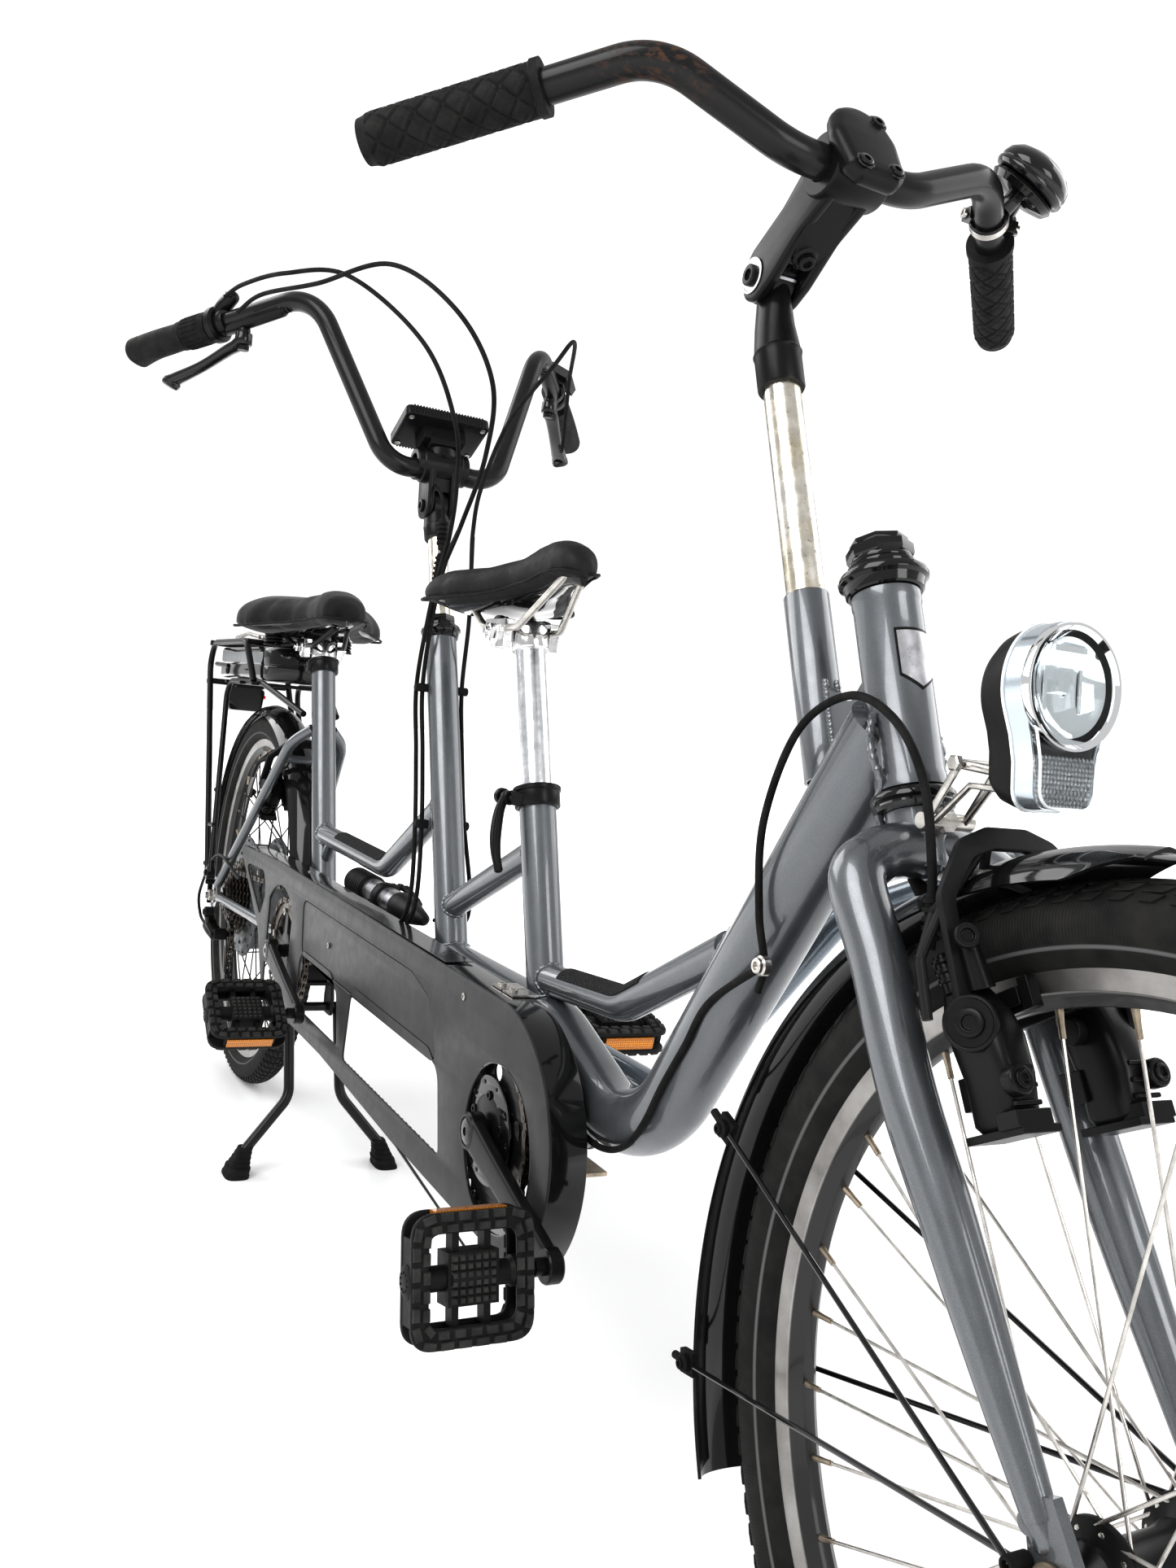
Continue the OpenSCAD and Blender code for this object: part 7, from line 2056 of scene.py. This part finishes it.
def curve_through(table, u):
    """Smooth value at u of a list of (place, value)."""
    for (a, va), (b, vb) in zip(table, table[1:]):
        if u <= b:
            t = (u - a) / (b - a)
            t = t * t * (3 - 2 * t) * 0.35 + t * 0.65
            return va + (vb - va) * t
    return table[-1][1]


def saddle_ring(tail, length, u, widths, tops, edges, groove, part):
    """One cross-section of a saddle: part 'pad' is the cover, 'base' the plastic shell under it."""
    w, top, edge = (curve_through(t, u) for t in (widths, tops, edges))
    x = tail.x + length * u
    ring = []
    for k in range(44):
        a = k * math.tau / 44
        c, s = math.cos(a), math.sin(a)
        if part == "pad":
            if s >= 0:
                y = w * math.copysign(abs(c) ** 0.86, c)
                z = edge + (top - edge) * s ** 0.72
                z -= groove * max(0.0, 1 - abs(y) / 13) * max(0.0, 1 - (u - 0.42) ** 2 / 0.16) * (1 if s > 0.3 else 0)
            else:
                y = w * math.copysign(abs(c) ** 0.6, c)
                z = edge - 9 * (-s) ** 0.5
        else:
            y = (w - 9) * math.copysign(abs(c) ** 0.6, c)
            z = edge - 4 + (3 if s >= 0 else 0) - (9 if s < 0 else 0) * (-s if s < 0 else 0) ** 0.5 * (1.5 - abs(c))
        ring.append(vec(x, y, z))
    return ring


def puff(piece, voxel, pressure, cap):
    """Soft padding: the cloth solver swells a closed shell, and no point moves more than cap."""
    scene = bpy.context.scene
    mod = piece.modifiers.new("remesh", "REMESH")
    mod.mode, mod.voxel_size, mod.use_smooth_shade = "VOXEL", voxel * MM, True
    graph = bpy.context.evaluated_depsgraph_get()
    mesh = bpy.data.meshes.new_from_object(piece.evaluated_get(graph))
    piece.modifiers.clear()
    piece.data = mesh
    rest = [v.co.copy() for v in mesh.vertices]
    cloth = piece.modifiers.new("cloth", "CLOTH").settings
    cloth.use_pressure, cloth.uniform_pressure_force = True, pressure
    cloth.effector_weights.gravity = 0
    cloth.quality, cloth.mass, cloth.tension_stiffness, cloth.compression_stiffness = 5, 0.3, 20, 20
    for step in range(1, 21):
        scene.frame_set(step)
    graph = bpy.context.evaluated_depsgraph_get()
    blown = piece.evaluated_get(graph).data
    moved = [v.co.copy() for v in blown.vertices]
    piece.modifiers.clear()
    for v, a, b in zip(mesh.vertices, rest, moved):
        step = b - a
        v.co = a + step * min(1.0, cap * MM / max(step.length, 1e-9))
    mesh.update()
    scene.frame_set(1)
    mesh.shade_smooth()
    piece.modifiers.new("smooth", "SUBSURF").levels = 1
    piece.modifiers["smooth"].render_levels = 1


def build_saddle(name, body, node, tail, length, widths, tops, edges, groove, cover, soft_cap):
    pad, base = Shape(), Shape()
    stations = [0.5 - 0.5 * math.cos(math.pi * i / 46) for i in range(47)]
    pad.grid([saddle_ring(tail, length, u, widths, tops, edges, groove, "pad") for u in stations])
    piece = pad.make(name + "_cover", cover, body, node, slot="saddle_cover", sharp=180)
    puff(piece, 4.5, 3.0, soft_cap)
    base.grid([saddle_ring(tail + vec(5, 0, 0), length - 10, u, widths, tops, edges, groove, "base") for u in stations])
    base.make(name + "_shell", GLOSS_BLACK, body, slot="gloss_plastic", sharp=60)
    seam = Shape()
    for side in (-1, 1):
        line = []
        for u in stations[1:-1]:
            w, edge = curve_through(widths, u), curve_through(edges, u)
            line.append(vec(tail.x + length * u, side * (w + 0.4), edge - 6.5))
        seam.sweep(line, 1.5, 10)
    seam.make(name + "_piping", GRIP_RUBBER, body, slot="rubber")


def build_seats():
    top = FRONT_POST_TOP
    rails = [(vec(top.x - 78, 0, top.z + 36), 38), (vec(top.x - 58, 0, top.z + 8), 26), (vec(top.x - 38, 0, top.z + 4), 24),
             (vec(top.x + 20, 0, top.z + 4), 22), (vec(top.x + 84, 0, top.z + 50), 9)]
    seat_hardware("front_post", "front_seat", "front_seatpost", FRONT_BB + SEAT_UP * 130, top, POST_ALLOY, STEEL, rails)
    top = REAR_POST_TOP
    rails = [(vec(top.x - 84, 0, top.z + 22), 46), (vec(top.x - 60, 0, top.z + 5), 30), (vec(top.x - 34, 0, top.z + 3), 24),
             (vec(top.x + 28, 0, top.z + 3), 22), (vec(top.x + 84, 0, top.z + 26), 9)]
    seat_hardware("rear_post", "rear_seat", "rear_seatpost", REAR_BB + SEAT_UP * 220, top, SATIN_BLACK, SATIN_BLACK, rails)
    build_saddle("front_saddle", "front_seat", "front_saddle", low("front_saddle") * 1.0 * vec(1, 0, 0).x if False else vec(-17, 0, 0), 244,
                 [(0, 30), (0.03, 54), (0.1, 72), (0.2, 77), (0.33, 69), (0.48, 50), (0.62, 34), (0.76, 26), (0.88, 23), (0.95, 18), (0.985, 11), (1, 4)],
                 [(0, 764), (0.06, 773), (0.2, 778), (0.4, 779), (0.58, 786), (0.74, 797), (0.86, 801), (0.94, 797), (0.985, 788), (1, 780)],
                 [(0, 756), (0.1, 752), (0.3, 752), (0.5, 757), (0.7, 768), (0.85, 777), (0.95, 778), (1, 776)], 4.0, LEATHER, 2.5)
    build_saddle("rear_saddle", "rear_seat", "rear_saddle", vec(-752, 0, 0), 252,
                 [(0, 56), (0.03, 84), (0.1, 106), (0.2, 112), (0.32, 104), (0.46, 82), (0.6, 58), (0.74, 44), (0.86, 39), (0.94, 32), (0.98, 20), (1, 8)],
                 [(0, 756), (0.06, 770), (0.18, 779), (0.36, 777), (0.52, 774), (0.7, 779), (0.84, 784), (0.93, 780), (0.98, 771), (1, 762)],
                 [(0, 742), (0.1, 736), (0.3, 736), (0.5, 742), (0.7, 748), (0.9, 752), (1, 754)], 9.0, KNIT, 4.5)
    s = Shape()
    for side in (-1, 1):
        coil = []
        foot = vec(REAR_POST_TOP.x - 88, side * 52, REAR_POST_TOP.z + 2)
        for k in range(97):
            a = k * math.tau / 16
            coil.append(foot + vec(12 * math.cos(a), 12 * math.sin(a), 0.3 * k))
        s.sweep(coil, 2.4, 10)
        s.disc(foot - Z * 3, Z, [(0, 0), (15, 0), (15, 2.4), (0, 2.4)], 28)
        s.sweep([foot - Z * 2, vec(REAR_POST_TOP.x - 60, side * 30, REAR_POST_TOP.z + 4)], 3.4, 12)
    s.make("rear_saddle_springs", SATIN_BLACK, "rear_seat", slot="steel")


# Cables -----------------------------------------------------------------------

def cable(name, points, r, body, join=None, material=None):
    s = Shape()
    s.sweep(resample(flowing(points, 14), 9), r, 12)
    piece = s.make(name, material or RUBBER, None if join else body, slot="rubber")
    if join:
        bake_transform(piece)
    return piece


def sleeve_on(s, a, b, r, ribs):
    """Ribbed ferrule or in-line connector on a cable from a to b."""
    d = (b - a).normalized()
    length = (b - a).length
    profile = [(0, 0), (r * 0.6, 0)]
    for k in range(ribs):
        z = length * (0.1 + 0.8 * k / ribs)
        profile += [(r * 0.72, z), (r, z + 0.2), (r, z + length * 0.45 / ribs), (r * 0.72, z + length * 0.5 / ribs)]
    s.disc(a, d, profile + [(r * 0.6, length), (0, length)], 20)


def build_cables():
    path = rounded([Vector(p) for p in MAIN_LINE], 90, 12)
    path = [p for p in resample(path, 14)]
    under = []
    for i in range(1, len(path) - 1):
        t = (path[i + 1] - path[i - 1]).normalized()
        if path[i].z > 500 or path[i].x < 60:
            continue
        out = vec(-t.z, 0, t.x)
        q = math.radians(72 if path[i].z > 380 else 72 - 46 * min(1.0, (380 - path[i].z) / 120))
        under.append(path[i] + (out * math.cos(q) - Y * math.sin(q)) * (MAIN_R + 2.4))
    clip = vec(590, -29, 503)
    cable("front_hose_lower", [clip] + under[2::3], 2.5, "frame")
    loop = [clip - vec(4, 0, 18), clip, vec(581, -31, 535), vec(578, -33, 591), vec(603, -33, 649), vec(647, -32, 672), vec(693, -36, 660),
            vec(727, -41, 629), vec(743, -43, 585), vec(746, -43, 556)]
    cable("front_hose_loop", loop, 2.5, None, ("frame", "front_fork", vec(620, -30, 655), vec(738, -42, 610)))
    s = Shape()
    s.bolt(clip + vec(3, -6, 0), -Y, 5, 3)
    s.disc(clip + vec(3, -1, 0), -Y, [(0, 0), (6.4, 0), (6.4, 4.6), (5, 5.6), (0, 5.6)], 28)
    s.make("front_hose_clip", STEEL, "frame", slot="steel")
    f = Shape()
    sleeve_on(f, vec(744.6, -43, 574), vec(748, -43, 545), 4.6, 5)
    f.make("front_hose_ferrule", RUBBER, "front_fork", slot="rubber")
    top = COLUMN_TOP_PLACE
    bottom_right = [vec(-97, -22, 735), vec(-107, -22, 660), vec(-87, -22, 590), vec(-65, -23, 514), vec(-40, -30, 440), vec(-60, -32, 405), vec(-140, -31, 396)]
    shift = [vec(-97, -27, 735), vec(-113, -27, 660), vec(-94, -27, 590), vec(-72, -28, 514), vec(-48, -34, 440), vec(-70, -37, 402), vec(-140, -36, 391)]
    left = [vec(-100, 22, 735), vec(-104, 23, 660), vec(-84, 23, 590), vec(-59, 23, 519), vec(-38, 30, 440), vec(-60, 32, 405), vec(-140, 31, 396)]
    runs = [
        ("brake_cable_right", [vec(-322, -215, 1074), vec(-268, -200, 1084), vec(-158, -165, 1077), vec(-47, -120, 1079), vec(48, -80, 1021),
                               vec(72, -45, 955), vec(35, -30, 893), vec(-19, -27, 834), vec(-64, -25, 795)], bottom_right),
        ("shift_cable", [vec(-350, -226, 1096), vec(-300, -215, 1100), vec(-206, -190, 1094), vec(-130, -140, 1084), vec(-27, -85, 1005),
                         vec(-6, -50, 927), vec(-34, -32, 870), vec(-52, -28, 820), vec(-78, -27, 780)], shift),
        ("brake_cable_left", [vec(-330, 214, 1000), vec(-289, 200, 990), vec(-245, 180, 1060), vec(-110, 120, 1068), vec(-71, 80, 1025), vec(-84, 40, 959),
                              vec(-112, 26, 889), vec(-120, 24, 840), vec(-110, 23, 790)], left),
    ]
    for name, upper, lower in runs:
        cable(name + "_upper", upper, 2.4, None, ("rear_cockpit", "rear_post", upper[3], upper[7]))
        joint_start = upper[-1] + (upper[-2] - upper[-1]).normalized() * 44
        cable(name + "_lower", [joint_start, upper[-1]] + lower, 2.4, None, ("rear_steering_column", "frame", upper[-1], lower[1]))
    wire = [REAR_CLAMP + vec(14, -10, -22), vec(-126, -14, 872), vec(-110, -15, 836), vec(-104, -16, 800), vec(-110, -17, 770)]
    cable("display_wire", wire, 1.9, None, ("rear_cockpit", "rear_post", wire[0], wire[2]))
    c = Shape()
    sleeve_on(c, vec(-113, -15, 846), vec(-106, -16, 812), 6.0, 5)
    sleeve_on(c, vec(-106, -16, 808), vec(-109, -17, 772), 6.0, 5)
    c.make("wire_connectors", RUBBER, "rear_post", slot="rubber")
    k = Shape()
    for place in (vec(-107, 0, 660), vec(-65, 0, 514)):
        for side in (-1, 1):
            k.box(place + Y * side * 23, (11, 12, 9))
            k.disc(place + Y * side * 26, Y * side, [(0, 0), (4.6, 0), (4.6, 4), (3.4, 5), (0, 5)], 18)
    k.make("cable_clips", RUBBER, "frame", bevel=1.0, slot="rubber")
    assert top is not None


COLUMN_TOP_PLACE = vec(-123, 0, 715)
build_collars()
build_seats()
build_cables()


# Finishes of the CAD pieces that stay visible --------------------------------

NODE_FINISH = {
    "steel": STEEL, "chrome": WORN_CHROME, "alloy": ALLOY, "motor_alloy": MOTOR, "rubber": RUBBER,
    "lens": LENS, "frame_paint": PAINT, "black_paint": GLOSS_BLACK, "black_metal": SATIN_BLACK,
    "black_plastic": MATTE_BLACK, "gloss_plastic": GLOSS_BLACK, "case_plastic": CASE_PLASTIC,
    "tyre": RUBBER, "saddle_cover": KNIT}
SPECIAL = {"timing_chain": CHAIN_STEEL, "drive_chain": CHAIN_STEEL, "rear_rack": SATIN_BLACK, "front_seatpost": POST_ALLOY}
for part in frame["record"]["subparts"]:
    mesh = frame["nodes"][part["node"]].data
    mesh.materials.clear()
    mesh.materials.append(SPECIAL.get(part["node"], NODE_FINISH[part["material_slot"]]))


# Studio ---------------------------------------------------------------------

def studio():
    floor = bpy.data.meshes.new("floor")
    reach = 30
    floor.from_pydata([(-reach, -reach, 0), (reach, -reach, 0), (reach, reach, 0), (-reach, reach, 0)], [], [(0, 1, 2, 3)])
    ground = bpy.data.objects.new("floor", floor)
    bpy.context.scene.collection.objects.link(ground)
    pale = Finish("floor_pale", (0.9, 0.9, 0.9), rough=0.3, spec=0.4)
    pale.tint((0.89, 0.89, 0.9), (0.93, 0.93, 0.93), 0.8)
    flat = pale.node("VectorMath", {0: pale.coords, 1: (1, 1, 0)}, operation="MULTIPLY").outputs[0]
    away = pale.node("VectorMath", {0: flat}, operation="LENGTH").outputs["Value"]
    pale.put("Emission Color", (1, 1, 1, 1))
    pale.put("Emission Strength", pale.ramp(away, 0.9, 3.2, 0.12, 0.9))
    floor.materials.append(pale.mat)
    world = bpy.data.worlds.new("studio")
    world.use_nodes = True
    bpy.context.scene.world = world
    tree = world.node_tree
    back = tree.nodes["Background"]
    back.inputs["Color"].default_value = (1, 1, 1, 1)
    seen = tree.nodes.new("ShaderNodeLightPath").outputs["Is Camera Ray"]
    level = tree.nodes.new("ShaderNodeMapRange")
    level.inputs["To Min"].default_value, level.inputs["To Max"].default_value = 0.72, 1.1
    tree.links.new(seen, level.inputs["Value"])
    tree.links.new(level.outputs[0], back.inputs["Strength"])
    bpy.context.scene.view_settings.view_transform = "Standard"
    bpy.context.scene.view_settings.gamma = 0.78
    lamps = [("key", (1.2, -2.6, 2.9), 2.4, 95), ("fill", (-2.4, -1.6, 2.2), 2.2, 45), ("left", (0.5, 3.0, 2.2), 2.6, 40),
             ("ahead", (3.4, 0.6, 1.6), 1.4, 30)]
    for name, place, size, power in lamps:
        data = bpy.data.lights.new(name, "AREA")
        data.energy, data.size = power, size
        lamp = bpy.data.objects.new(name, data)
        lamp.location = place
        lamp.rotation_euler = (Vector((0.1, 0, 0.5)) - Vector(place)).to_track_quat("-Z", "Y").to_euler()
        bpy.context.scene.collection.objects.link(lamp)


def camera():
    """The photo's view: a phone held close to the front right, turned a few degrees."""
    place, yaw, pitch, roll = vec(1238.3, -497.6, 642.2), math.radians(152.8), math.radians(-2.8), math.radians(5.9)
    look = vec(math.cos(pitch) * math.cos(yaw), math.cos(pitch) * math.sin(yaw), math.sin(pitch))
    right = look.cross(Z).normalized()
    upward = right.cross(look)
    r = right * math.cos(roll) + upward * math.sin(roll)
    u = upward * math.cos(roll) - right * math.sin(roll)
    data = bpy.data.cameras.new("photo_view")
    data.lens, data.sensor_width = 29.46, 36
    eye = bpy.data.objects.new("photo_view", data)
    eye.matrix_world = Matrix.Translation(place * MM) @ Matrix((r, u, -look)).transposed().to_4x4()
    bpy.context.scene.collection.objects.link(eye)
    bpy.context.scene.camera = eye


studio()
camera()
